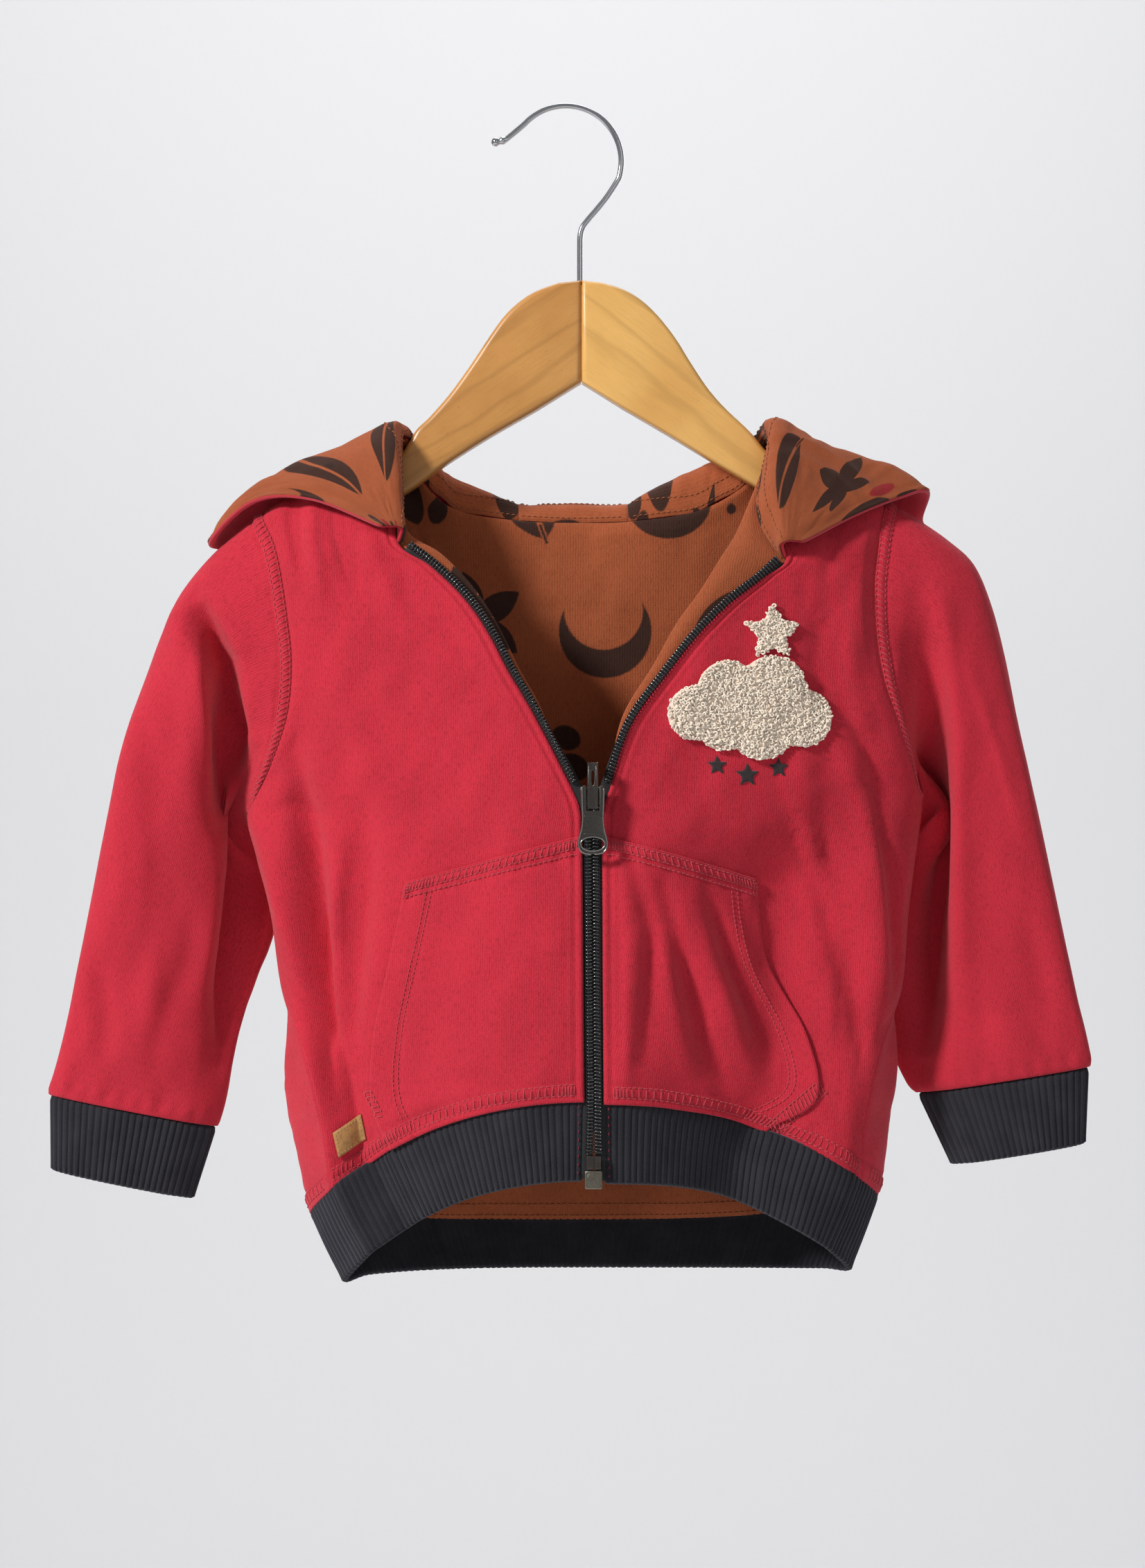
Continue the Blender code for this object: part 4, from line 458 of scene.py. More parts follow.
def front_point(table, level, angle):
    """A point of a front: angle 0 is the side, a quarter turn is the front edge."""
    row = body_row(table, level)
    power = float(spline(FRONT_POWER, level))
    across = 1 - max(math.cos(angle), 0.0) ** (2 / power)
    deep = math.sin(angle) ** (2 / power)
    droop = float(spline(DROOP, level))
    rise = droop * deep ** DROOP_POWER + (1 - droop) * across
    x = row["side_x"] + (row["edge_x"] - row["side_x"]) * across
    y = row["side_y"] + (row["edge_y"] - row["side_y"]) * deep
    z = row["side_z"] + (row["edge_z"] - row["side_z"]) * rise
    return np.array((x, y + fold_depth(BODY_FOLDS, x, z), z))


def front_angles(table, level):
    row = body_row(table, level)
    power = float(spline(FRONT_POWER, level))
    spacing = float(spline(SIDE_SPACING, level))
    width = row["edge_x"] - row["side_x"]
    seam, split = ((row[key] - row["side_x"]) / width for key in ("seam_x", "split_x"))
    angles = []
    for i in range(FRONT_SIDE_COLUMNS + 1):
        across = seam + (split - seam) * (i / FRONT_SIDE_COLUMNS) ** spacing
        angles.append(math.acos(max(1 - across, 0.0) ** (power / 2)))
    for i in range(1, FRONT_MIDDLE_COLUMNS + 1):
        left_over = (1 - split) * (1 - i / FRONT_MIDDLE_COLUMNS) ** min(power, 1.5)
        angles.append(math.acos(left_over ** (power / 2)))
    return angles


def front_grid(table, levels):
    return np.array([[front_point(table, level, angle) for angle in front_angles(table, level)]
                     for level in levels])


def lower_back_point(level, place):
    row = body_row(LEFT_BODY if place < 0.5 else RIGHT_BODY, level)
    power = float(spline(BACK_POWER, level))
    middle_y, middle_z = spline(BACK_MIDDLE, level)
    across = 1 - abs(2 * place - 1)
    deep = (1 - (1 - across) ** power) ** (1 / power)
    x = row["side_x"] + (BACK_X - row["side_x"]) * across
    y = row["side_y"] + (middle_y - row["side_y"]) * deep
    z = row["side_z"] + (middle_z - row["side_z"]) * deep ** DROOP_POWER
    return np.array((x, y, z))


def back_edge(table, level):
    row = body_row(table, level)
    return np.array((row["back_x"], row["back_y"], row["side_z"]))


def top_edge(place):
    left_tip, right_tip = back_edge(LEFT_BODY, SHOULDER), back_edge(RIGHT_BODY, SHOULDER)
    if place <= NECK_START:
        return left_tip + (np.array(NECKLINE[0]) - left_tip) * place / NECK_START
    if place >= NECK_END:
        part = (place - NECK_END) / (1 - NECK_END)
        return np.array(NECKLINE[-1]) + (right_tip - np.array(NECKLINE[-1])) * part
    return spline(NECKLINE, float(np.interp(place, NECK_PLACES, range(NECK_STEPS + 1))))


def upper_back_point(level, place):
    left, right = back_edge(LEFT_BODY, level), back_edge(RIGHT_BODY, level)
    bottom = lower_back_point(ARMPIT, place)
    top = top_edge(place)
    lifts = []
    for table, edge in ((LEFT_BODY, left), (RIGHT_BODY, right)):
        armpit_z, tip_z = table[ARMPIT][2], table[SHOULDER][2]
        lifts.append((edge[2] - armpit_z) / (tip_z - armpit_z))
    lift = lifts[0] + (lifts[1] - lifts[0]) * place
    flat = left + (right - left) * place
    flat_x = LEFT_BODY[ARMPIT][0] + (RIGHT_BODY[ARMPIT][0] - LEFT_BODY[ARMPIT][0]) * place
    x = flat[0] + (bottom[0] - flat_x) * (1 - lift) ** 2
    z = bottom[2] + (top[2] - bottom[2]) * lift
    swell = math.sin(math.pi * min(max(place, 0.0), 1.0)) ** 0.7
    y = flat[1] + (max(BACK_Y_TOP, bottom[1]) - flat[1]) * swell
    y += (bottom[1] - y) * (1 - lift) ** 3
    y += (top[1] - y) * lift ** 24
    return np.array((x, y, z))


def back_row(level):
    if level > ARMPIT:
        return [upper_back_point(level, place) for place in [0] + BACK_PLACES + [1]]
    reach = min(max((level - LEVEL["hip"]) / (LEVEL["waist"] - LEVEL["hip"]), 0.0), 1.0)
    places = list(BACK_PLACES)
    places[0] *= reach
    places[-1] = 1 - (1 - places[-1]) * reach
    row = [lower_back_point(level, place) for place in places]
    left = front_point(LEFT_BODY, level, front_angles(LEFT_BODY, level)[0])
    right = front_point(RIGHT_BODY, level, front_angles(RIGHT_BODY, level)[0])
    return [left] + row + [right]


def armhole(points, side_column, rear, rear_column):
    """The armhole's places: down the front's edge and up the back's."""
    armpit, tip = ARMPIT - LEVEL["hem"], SHOULDER - LEVEL["hem"]
    return [(points, i, side_column) for i in range(tip, armpit - 1, -1)] \
        + [(rear, i, rear_column) for i in range(armpit + 1, tip)]


def section_ring(row, turns, folds=()):
    outer_x, outer_z, inner_x, inner_z, outer_y, inner_y, front, rear = row
    ring = []
    for turn in turns:
        part = (1 - math.cos(turn)) / 2
        x = outer_x + (inner_x - outer_x) * part
        z = outer_z + (inner_z - outer_z) * part
        y = outer_y + (inner_y - outer_y) * part
        side = math.sin(turn)
        if side >= 0:
            y -= front * side ** 0.9 - fold_depth(folds, x, z) * min(side * 2, 1.0)
        else:
            y += rear * (-side) ** 0.9
        ring.append((x, y, z))
    return np.array(ring)


def sleeve_grid(side, places):
    """A sleeve's coarse grid from its armhole down, and the turn of each of its columns."""
    edge = np.array([grid[i, j] for grid, i, j in places])
    top, bottom = edge[:, 2].max(), edge[:, 2].min()
    down = len(places) // 2
    turns = []
    for index, height in enumerate(edge[:, 2]):
        turn = math.acos(1 - 2 * (top - height) / (top - bottom))
        turns.append(turn if index <= down else 2 * math.pi - turn)
    knots = [edge] + [section_ring(row, turns, SLEEVE_FOLDS[side]) for row in SLEEVE_ROWS[side]]
    steps = [i * (len(knots) - 1) / (SLEEVE_RINGS - 1) for i in range(SLEEVE_RINGS)]
    return np.array([spline(knots, step) for step in steps]), turns


def body_grids():
    """The coarse grids of the body and sleeves, with the normals they share at the seams."""
    levels = list(range(LEVEL["hem"], SHOULDER + 1))
    low = ARMPIT - LEVEL["hem"]
    grids = {"left": front_grid(LEFT_BODY, levels), "right": front_grid(RIGHT_BODY, levels),
             "back": np.array([back_row(level) for level in levels])}
    normals = {"left": grid_normals(grids["left"]), "right": grid_normals(grids["right"], -1),
               "back": grid_normals(grids["back"], -1)}
    last = grids["back"].shape[1] - 1
    first_neck = 1 + BACK_PLACES.index(NECK_START)
    last_neck = first_neck + NECK_STEPS
    sleeves = {}
    for side, column, sign in (("left", 0, -1), ("right", last, 1)):
        for i in range(low + 1):
            pair = share(normals[side][i, 0], normals["back"][i, column])
            normals[side][i, 0], normals["back"][i, column] = pair
        slope = unit(grids[side][-1, -1] - grids[side][-1, 0])
        up = unit(np.array((0, 0, 1.0)) - slope * slope[2])
        normals[side][-1, :] = up
        normals[side][-2, :] = [unit(normal + 0.5 * up) for normal in normals[side][-2]]
        shoulder = slice(0, first_neck + 1) if side == "left" else slice(last_neck, last + 1)
        normals["back"][-1, shoulder] = up
        places = armhole(grids[side], 0, grids["back"], column)
        sleeve, turns = sleeve_grid(side, places)
        ring = grid_normals(sleeve, sign, ring=True)
        for index, (grid, i, j) in enumerate(armhole(normals[side], 0, normals["back"], column)):
            ring[0, index], grid[i, j] = share(ring[0, index], grid[i, j])
        armpit = len(places) // 2
        for i in range(3):
            ring[i, armpit] = unit(ring[i, armpit] + np.array((0, 0, i - 3.0)))
        normals["back"][-1, column] = normals[side][-1, 0]
        sleeves[side] = (sleeve, ring, turns)
    for j in range(first_neck + 1, last_neck):
        normals["back"][-1, j] = unit(normals["back"][-2, j] * (1, 1, 0))
    for j, end in ((first_neck + 1, first_neck), (last_neck - 1, last_neck)):
        normals["back"][-1, j] = unit(normals["back"][-1, j] + normals["back"][-1, end])
    return grids, normals, sleeves


def lining_edge(table, levels, points, normals):
    edge = []
    for i, level in enumerate(levels):
        row = body_row(table, level)
        spot, lean = points[i, -1], normals[i, -1]
        if level > COLLAR or lean[1] > -0.3:
            lean = np.array((0, -1.0, 0))
        dx, dz = row["lining_x"] - spot[0], row["lining_z"] - spot[2]
        edge.append(spot + np.array((dx, -(lean[0] * dx + lean[2] * dz) / lean[1], dz)))
    return np.array(edge)


def rib_grid(normals):
    rows = []
    for level in (0.0, 0.5, 1.0):
        left = [front_point(LEFT_BODY, level, angle) for angle in front_angles(LEFT_BODY, level)]
        right = [front_point(RIGHT_BODY, level, angle) for angle in front_angles(RIGHT_BODY, level)]
        rows.append(left[:0:-1] + back_row(level) + right[1:])
    points = np.array(rows)
    facing = grid_normals(points, -1)
    facing[-1] = np.concatenate([normals["left"][0, :0:-1], normals["back"][0], normals["right"][0, 1:]])
    return points, facing


def hood_column_grid(stations, places, seam):
    at = [station[0] for station in stations]
    columns = []
    for place in places:
        exact = float(np.interp(place, at, range(len(at))))
        knots = spline([station[1:] for station in stations], exact)
        low = int(place)
        root = seam[low] + (seam[min(low + 1, len(seam) - 1)] - seam[low]) * (place - low)
        knots = np.concatenate([[root], knots[1:]])
        columns.append([spline(knots, step) for step in HOOD_STEPS])
    return np.array(columns).transpose(1, 0, 2)


def hood_grids(grids, normals):
    first_neck = 1 + BACK_PLACES.index(NECK_START)
    back = grids["back"][-1, first_neck:first_neck + NECK_STEPS + 1]
    lean = normals["back"][-1, first_neck:first_neck + NECK_STEPS + 1]
    half = (NECK_STEPS - 2) // 2
    left = list(grids["left"][-4:-1, -1]) + list(back[:half + 1])
    right = list(grids["right"][-4:-1, -1]) + list(back[::-1][:half + 1])
    strip = [(0,) + LEFT_HOOD[-1][1:], HOOD_MIDDLE, (2,) + RIGHT_HOOD[-1][1:]]
    pieces = {"left": (LEFT_HOOD, HOOD_PLACES, left, -1), "right": (RIGHT_HOOD, HOOD_PLACES, right, 1),
              "gusset": (strip, STRIP_PLACES, back[half:half + 3], -1)}
    points, facing = {}, {}
    for name, (stations, places, seam, sign) in pieces.items():
        points[name] = hood_column_grid(stations, places, seam)
        facing[name] = grid_normals(points[name], sign)
    for name, order in (("left", lean), ("right", lean[::-1])):
        for index, place in enumerate(HOOD_PLACES):
            if place > 4:
                facing[name][0, index] = unit(facing[name][0, index] + order[min(int(place) - 3, half)])
    for index in range(3):
        facing["gusset"][0, index] = unit(facing["gusset"][0, index] + lean[half + index])
    for i in range(len(HOOD_STEPS)):
        for name, column in (("left", 0), ("right", -1)):
            both = unit(facing[name][i, -1] + facing["gusset"][i, column])
            facing[name][i, -1] = facing["gusset"][i, column] = both
    return points, facing


def zip_frame(table, level):
    """A place on the front edge with the cloth's outward normal and the way to the middle."""
    spot = front_point(table, level, math.pi / 2)
    step = 0.05
    along = unit(front_point(table, min(level + step, COLLAR), math.pi / 2)
                 - front_point(table, max(level - step, 0), math.pi / 2))
    inward = unit(spot - front_point(table, level, math.pi / 2 - 0.3))
    out = unit(np.cross(inward, along))
    if out[1] > 0:
        out = -out
    middle = unit(np.cross(out, along))
    if np.dot(middle, inward) < 0:
        middle = -middle
    return spot, out, middle


def level_at_height(table, height):
    fine = [i / 20 for i in range(COLLAR * 20 + 1)]
    heights = [body_row(table, level)["edge_z"] for level in fine]
    return float(np.interp(height, heights, fine))


# ================================================================ fine surfaces
def weights(at, count, ring=False):
    """Catmull-Rom weights of the knots at float indexes, as a matrix."""
    at = np.asarray(at, dtype=float)
    low = np.floor(at).astype(int)
    if not ring:
        low = np.clip(low, 0, count - 2)
    t = at - low
    parts = (-.5 * t ** 3 + t ** 2 - .5 * t, 1.5 * t ** 3 - 2.5 * t ** 2 + 1,
             -1.5 * t ** 3 + 2 * t ** 2 + .5 * t, .5 * t ** 3 - .5 * t ** 2)
    matrix = np.zeros((len(at), count))
    rows = np.arange(len(at))
    for offset, part in zip((-1, 0, 1, 2), parts):
        index = low + offset
        if ring:
            np.add.at(matrix, (rows, index % count), part)
            continue
        under, over = index < 0, index > count - 1
        inside = ~(under | over)
        np.add.at(matrix, (rows[inside], index[inside]), part[inside])
        for past, near, far in ((under, 0, 1), (over, count - 1, count - 2)):
            np.add.at(matrix, (rows[past], near), 2 * part[past])
            np.add.at(matrix, (rows[past], far), -part[past])
    return matrix


def sample(grid, rows, columns, ring=False):
    by_row = np.tensordot(weights(rows, grid.shape[0]), grid, axes=(1, 0))
    by_column = np.tensordot(weights(columns, grid.shape[1], ring), by_row, axes=(1, 1))
    return by_column.transpose(1, 0, 2)


def even(grid, axis, spacing, ring=False, start=0.0, stop=None):
    """Float indexes along an axis that lie about one spacing apart on the cloth."""
    lines = np.moveaxis(grid, axis, 0)
    if ring:
        lines = np.concatenate([lines, lines[:1]])
    gaps = np.linalg.norm(np.diff(lines, axis=0), axis=2).mean(axis=1)
    length = np.concatenate([[0], np.cumsum(gaps)])
    index = np.arange(len(length))
    low = np.interp(start, index, length)
    high = np.interp(len(length) - 1 if stop is None else stop, index, length)
    count = max(2, int(round((high - low) / spacing)))
    at = np.interp(np.linspace(low, high, count + 1), length, index)
    return at[:-1] if ring else at


def lattice_noise(x, y, scale, seed):
    """Smooth noise between about -1 and 1 on a plane."""
    table = np.random.RandomState(seed).rand(64, 64) * 2 - 1
    x, y = x / scale + 200.0, y / scale + 200.0
    i, j = np.floor(x).astype(int), np.floor(y).astype(int)
    u, v = x - i, y - j
    u, v = u * u * (3 - 2 * u), v * v * (3 - 2 * v)
    a, b = table[i % 64, j % 64], table[(i + 1) % 64, j % 64]
    c, d = table[i % 64, (j + 1) % 64], table[(i + 1) % 64, (j + 1) % 64]
    return (a * (1 - u) + b * u) * (1 - v) + (c * (1 - u) + d * u) * v


def creases(x, z, table):
    """Outward offsets of listed folds: path, height, width and, if uneven, slant."""
    total = np.zeros_like(x)
    for path, height, width, *more in table:
        slant = more[0] if more else 0.0
        nearest = np.full(x.shape, FAR)
        signed = np.zeros_like(x)
        along = np.zeros_like(x)
        for index in range(len(path) - 1):
            (ax, az), (bx, bz) = path[index], path[index + 1]
            dx, dz = bx - ax, bz - az
            length2 = dx * dx + dz * dz
            part = np.clip(((x - ax) * dx + (z - az) * dz) / length2, 0, 1)
            gx, gz = x - ax - part * dx, z - az - part * dz
            gap = np.hypot(gx, gz)
            closer = gap < nearest
            nearest = np.where(closer, gap, nearest)
            side = np.sign(gx * dz - gz * dx)
            signed = np.where(closer, gap * side, signed)
            along = np.where(closer, (index + part) / (len(path) - 1), along)
        ends = np.sin(np.pi * np.clip(along, 0.02, 0.98)) ** 0.7
        reach = nearest / width
        body = np.exp(-reach ** 2)
        # A slanted fold is steeper on one side, like cloth that has slipped.
        if slant:
            steep = nearest / (width * (1 - 0.6 * abs(slant)))
            body = np.exp(-np.where(signed * slant > 0, steep, reach) ** 2)
        total += height * ends * body
    return total


def surface_uv(points, mode):
    """Cloth coordinates in metres: along x and z for hanging panels, or along the grid."""
    if mode == "hang":
        steps = np.linalg.norm(np.diff(points, axis=1), axis=2)
        run = np.concatenate([np.zeros((len(points), 1)), np.cumsum(steps, axis=1)], axis=1)
        middle = points.shape[1] // 2
        sign = 1.0 if points[0, -1, 0] > points[0, 0, 0] else -1.0
        u = (run - run[:, middle:middle + 1]) * sign + points[:, middle:middle + 1, 0]
        return np.stack([u, points[:, :, 2]], axis=2) * MM
    across = np.linalg.norm(np.diff(points, axis=1), axis=2).mean(axis=0)
    along = np.linalg.norm(np.diff(points, axis=0), axis=2).mean(axis=1)
    u = np.concatenate([[0], np.cumsum(across)])[None, :] + np.zeros((points.shape[0], 1))
    v = np.concatenate([[0], np.cumsum(along)])[:, None] + np.zeros((1, points.shape[1]))
    if mode == "turned":
        u, v = v, u
    return np.stack([u, v], axis=2) * MM


def add_mesh(name, points, faces, look, uvs=None):
    mesh = bpy.data.meshes.new(name)
    mesh.from_pydata((np.asarray(points) * MM).tolist(), [], faces)
    if uvs is not None:
        layer = mesh.uv_layers.new(name="cloth")
        loops = np.empty(len(mesh.loops), dtype=np.int64)
        mesh.loops.foreach_get("vertex_index", loops)
        layer.data.foreach_set("uv", np.asarray(uvs)[loops].reshape(-1))
    mesh.materials.append(MATERIALS[look])
    mesh.shade_smooth()
    item = bpy.data.objects.new(name, mesh)
    bpy.context.collection.objects.link(item)
    return item


def quads(rows, columns, start=0, flip=False, ring=False):
    i, j = np.meshgrid(np.arange(rows - 1), np.arange(columns if ring else columns - 1), indexing="ij")
    k = (j + 1) % columns
    faces = np.stack([i * columns + j, i * columns + k, (i + 1) * columns + k, (i + 1) * columns + j], -1)
    faces = faces.reshape(-1, 4) + start
    return faces[:, ::-1] if flip else faces


def sheet_mesh(name, cloth, outside, thickness, look, mode, flip, both=True, rolled=0.6, shift=(0, 0)):
    """A cloth panel: its face, its back if asked, and rounded edges between them."""
    points, ring = cloth.points, cloth.ring
    rows, columns = points.shape[:2]
    uv = surface_uv(np.concatenate([points, points[:, :1]], 1) if ring else points, mode)[:, :columns]
    uv = (uv + np.array(shift) * MM).reshape(-1, 2)
    front, middle, rear = ((points + cloth.lean * (outside - depth)).reshape(-1, 3)
                           for depth in (0, thickness / 2, thickness))
    places, coordinates = [front], [uv]
    faces = [quads(rows, columns, 0, flip, ring)]
    total = rows * columns
    index = np.arange(total).reshape(rows, columns)
    if ring:
        loops = [(index[0], flip), (index[-1], not flip)]
    else:
        loops = [(np.concatenate([index[0], index[1:, -1], index[-1, -2::-1], index[-2:0:-1, 0]]), flip)]
    rear_start = total
    if both:
        places.append(rear)
        coordinates.append(uv)
        faces.append(quads(rows, columns, total, not flip, ring))
        total *= 2
    for loop, turn in loops:
        # The rounding points lie a little outside the edge, away from the panel's middle.
        row, column = loop // columns, loop % columns
        inner = np.clip(row, 1, rows - 2), column if ring else np.clip(column, 1, columns - 2)
        inward = points[inner] - points[row, column]
        places.append(middle[loop] - units(inward) * min(rolled, thickness) * 0.5)
        coordinates.append(uv[loop])
        edge = total + np.arange(len(loop))
        total += len(loop)
        if both:
            back = rear_start + loop
        else:
            places.append(rear[loop])
            coordinates.append(uv[loop])
            back = total + np.arange(len(loop))
            total += len(loop)
        band = np.concatenate([np.stack([near, far, np.roll(far, -1), np.roll(near, -1)], -1)
                               for near, far in ((loop, edge), (edge, back))])
        faces.append(band[:, ::-1] if turn else band)
    places, faces, coordinates = (np.concatenate(parts) for parts in (places, faces, coordinates))
    return add_mesh(name, places, faces.tolist(), look, coordinates)


# ================================================================ materials
class Value:
    """A node's output that works in sums like a number."""

    def __init__(self, socket):
        self.socket = socket

    def __add__(self, other):
        return calculate("ADD", self, other)

    def __radd__(self, other):
        return calculate("ADD", other, self)

    def __sub__(self, other):
        return calculate("SUBTRACT", self, other)

    def __rsub__(self, other):
        return calculate("SUBTRACT", other, self)

    def __mul__(self, other):
        return calculate("MULTIPLY", self, other)

    def __gt__(self, other):
        return calculate("GREATER_THAN", self, other)

    def __lt__(self, other):
        return calculate("LESS_THAN", self, other)

    def __abs__(self):
        return calculate("ABSOLUTE", self)


def put(socket, value):
    """Links an input to a value, or sets it."""
    if isinstance(value, Value):
        socket.id_data.links.new(value.socket, socket)
    else:
        socket.default_value = (*value, 1.0) if socket.type == "RGBA" and len(value) == 3 else value


def calculate(operation, *values):
    tree = next(value.socket.id_data for value in values if isinstance(value, Value))
    node = tree.nodes.new("ShaderNodeMath")
    node.operation = operation
    for socket, value in zip(node.inputs, values):
        put(socket, value)
    return Value(node.outputs[0])


def lowest(*values):
    return functools.reduce(lambda first, second: calculate("MINIMUM", first, second), values)


def highest(*values):
    return functools.reduce(lambda first, second: calculate("MAXIMUM", first, second), values)


def times(colour, by):
    return tuple(by * channel for channel in colour)


class Nodes:
    """A short way to write a material's nodes."""

    def __init__(self, name):
        self.material = bpy.data.materials.new(name)
        self.material.use_nodes = True
        self.tree = self.material.node_tree
        self.shader = self.tree.nodes["Principled BSDF"]

    def add(self, kind, inputs=None, out=0, **settings):
        node = self.tree.nodes.new("ShaderNode" + kind)
        for key, value in settings.items():
            setattr(node, key, value)
        for key, value in (inputs or {}).items():
            put(node.inputs[key], value)
        return Value(node.outputs[out])

    def mix(self, factor, first, second, blend="MIX"):
        return self.add("Mix", {0: factor, 6: first, 7: second}, 2, data_type="RGBA", blend_type=blend)

    def ramp(self, value, low, high):
        return self.add("MapRange", {0: value, 1: low, 2: high}, interpolation_type="SMOOTHSTEP")

    def noise(self, scale, vector, detail=3.0, roughness=0.55):
        return self.add("TexNoise", {"Scale": scale, "Detail": detail, "Roughness": roughness,
                                     "Vector": vector})

    def uv(self):
        return self.add("UVMap", uv_map="cloth")

    def place(self):
        return self.add("TexCoord", out="Object")

    def split(self, vector):
        return [Value(out) for out in self.add("SeparateXYZ", {0: vector}).socket.node.outputs]

    def join(self, x, y, z):
        return self.add("CombineXYZ", {0: x, 1: y, 2: z})

    def scaled(self, vector, by):
        return self.add("VectorMath", {0: vector, 1: by}, operation="MULTIPLY")

    def finish(self, colour, roughness, height=None, bump=0.5, distance=0.0003, **extra):
        put(self.shader.inputs["Base Color"], colour)
        put(self.shader.inputs["Roughness"], roughness)
        for key, value in extra.items():
            self.shader.inputs[key.replace("_", " ")].default_value = value
        if height is not None:
            put(self.shader.inputs["Normal"],
                self.add("Bump", {"Strength": bump, "Distance": distance, "Height": height}))
        return self.material


def knit_height(u, v, wale, course):
    """Columns of small slanted stitches: u across the wales, v along them, both in metres."""
    turn = calculate("PINGPONG", u * (1 / wale), 0.5)
    row = v * (1 / course) + turn * 1.2
    stitch = calculate("SINE", row * (2 * math.pi))
    ridge = calculate("SINE", turn * math.pi)
    return ridge, ridge + stitch * 0.3


def jersey(name, colour, dark, wale, course, sheen, motif=None):
    n = Nodes(name)
    cloth = n.uv()
    warp = n.noise(90.0, cloth, 2.0)
    u, v, _ = n.split(cloth)
    ridge, height = knit_height(u + (warp - 0.5) * 0.0009, v, wale, course)
    streak = n.noise(1.0, n.scaled(cloth, (900.0, 60.0, 1.0)))
    blotch = n.noise(28.0, cloth, 4.0)
    fuzz = n.noise(1500.0, cloth, 3.0, 0.7)
    slub = n.noise(1.0, n.scaled(cloth, (1400.0, 380.0, 1.0)), 2.0)
    base = n.mix(n.ramp(blotch, 0.3, 0.75), colour, times(colour, 0.86))
    if motif:
        base = motif(n, cloth, base)
    # Painted shade darkens the colour in the grooves between the wales; the streaks mixed in are random tone.
    shade = (1.0 - ridge) * 0.55 + (streak - 0.4) * 1.1
    shade.socket.node.use_clamp = True
    base = n.mix(shade * 0.16, base, dark, "MULTIPLY")
    if not motif:
        pale = tuple(min(1, c * 1.18 + 0.035) for c in colour)
        base = n.mix(n.ramp(fuzz, 0.35, 0.75) * 0.34, base, pale)
    base = n.mix(n.ramp(slub, 0.45, 0.75) * 0.36, base, dark, "MULTIPLY")
    return n.finish(base, 0.95, height * 0.5 + fuzz * 2.2, 0.6, Sheen_Weight=sheen, Sheen_Roughness=0.45,
                    Sheen_Tint=(*[min(1, 0.35 + c) for c in colour], 1.0), Specular_IOR_Level=0.18)


def print_motifs(n, cloth, base):
    """Scattered generic shapes: leaves, paws, stars, crescents and dots."""
    def cells(shift_x, shift_y, seed):
        """The place in a cell, moved and turned at random, and the cell's random number."""
        u, v, _ = n.split(cloth)
        x, y = (u + shift_x) * (1 / PRINT_CELL), (v + shift_y) * (1 / PRINT_CELL)
        row = calculate("FLOOR", y)
        x = x + calculate("MODULO", row, 2.0) * 0.5
        column = calculate("FLOOR", x)
        white = n.add("TexWhiteNoise", {"Vector": n.join(column, row, seed)}, "Color")
        red, green, blue = n.split(white)
        px, py = x - column - (0.42 + red * 0.16), y - row - (0.42 + green * 0.16)
        turn = blue * (2 * math.pi)
        c, s = calculate("COSINE", turn), calculate("SINE", turn)
        return px * c - py * s, px * s + py * c, Value(white.socket.node.outputs["Value"])

    def disc(x, y, cx, cy, radius, stretch=1.0):
        dx, dy = x - cx, (y - cy) * stretch
        return radius - calculate("SQRT", dx * dx + dy * dy)

    def when(value, low, high, inner, otherwise):
        chosen = (value > low) * (value < high)
        return inner * chosen + otherwise * (1.0 - chosen)

    def ink(shape):
        return n.ramp(shape + rough, 0.0, PRINT_EDGE)

    x, y, kind = cells(0.013, 0.021, 3.0)
    blade = lowest(disc(x, y, -0.24, 0.0, 0.48), disc(x, y, 0.24, 0.0, 0.48))
    stalk = lowest(0.02 - abs(x), lowest(-0.28 - y, y + 0.45))
    leaf = highest(lowest(blade, abs(x) - 0.012), stalk)
    paw = highest(disc(x, y, 0.0, -0.12, 0.24, 1.25),
                  *[disc(x, y, cx, cy, radius, 0.8) for cx, cy, radius in PAW_TOES])
    moon = lowest(disc(x, y, 0.0, 0.0, 0.36), disc(x, y, 0.15, 0.06, 0.29) * -1.0)
    fold = calculate("PINGPONG", calculate("ARCTAN2", y, x), math.pi / 5)
    star = 0.40 - fold * 0.36 - calculate("SQRT", x * x + y * y)
    shape = when(kind, 0.0, 0.34, leaf, when(kind, 0.34, 0.62, paw, when(kind, 0.62, 0.82, moon, star)))
    rough = (n.noise(1500.0, cloth, 2.0) - 0.5) * 0.02
    # The facing along the hem is left plain.
    shape = shape - (n.split(cloth)[1] < PRINT_FOOT)
    base = n.mix(ink(shape) * 0.95, base, PRINT_BROWN)
    x, y, kind = cells(0.036, 0.009, 7.0)
    base = n.mix(ink(disc(x, y, 0.0, 0.0, 0.12)) * (kind > 0.62) * 0.92, base, PRINT_CRIMSON)
    return n.mix(ink(disc(x, y, 0.3, 0.2, 0.05)) * (kind < 0.35) * 0.95, base, PRINT_BROWN)


def rib_material():
    n = Nodes("rib_charcoal")
    cloth = n.uv()
    u, v, _ = n.split(cloth)
    _, height = knit_height(u, v, 0.0007, 0.0009)
    fuzz = n.noise(2200.0, cloth)
    base = n.mix(n.ramp(n.noise(60.0, cloth, 4.0), 0.3, 0.7), (0.018, 0.0175, 0.022), (0.027, 0.026, 0.031))
    base = n.mix(n.ramp(fuzz, 0.45, 0.8) * 0.5, base, (0.060, 0.058, 0.068))
    return n.finish(base, 0.95, height * 0.5 + fuzz, 0.5, 0.0002, Sheen_Weight=0.35, Sheen_Roughness=0.5,
                    Sheen_Tint=(0.35, 0.36, 0.42, 1.0), Specular_IOR_Level=0.15)


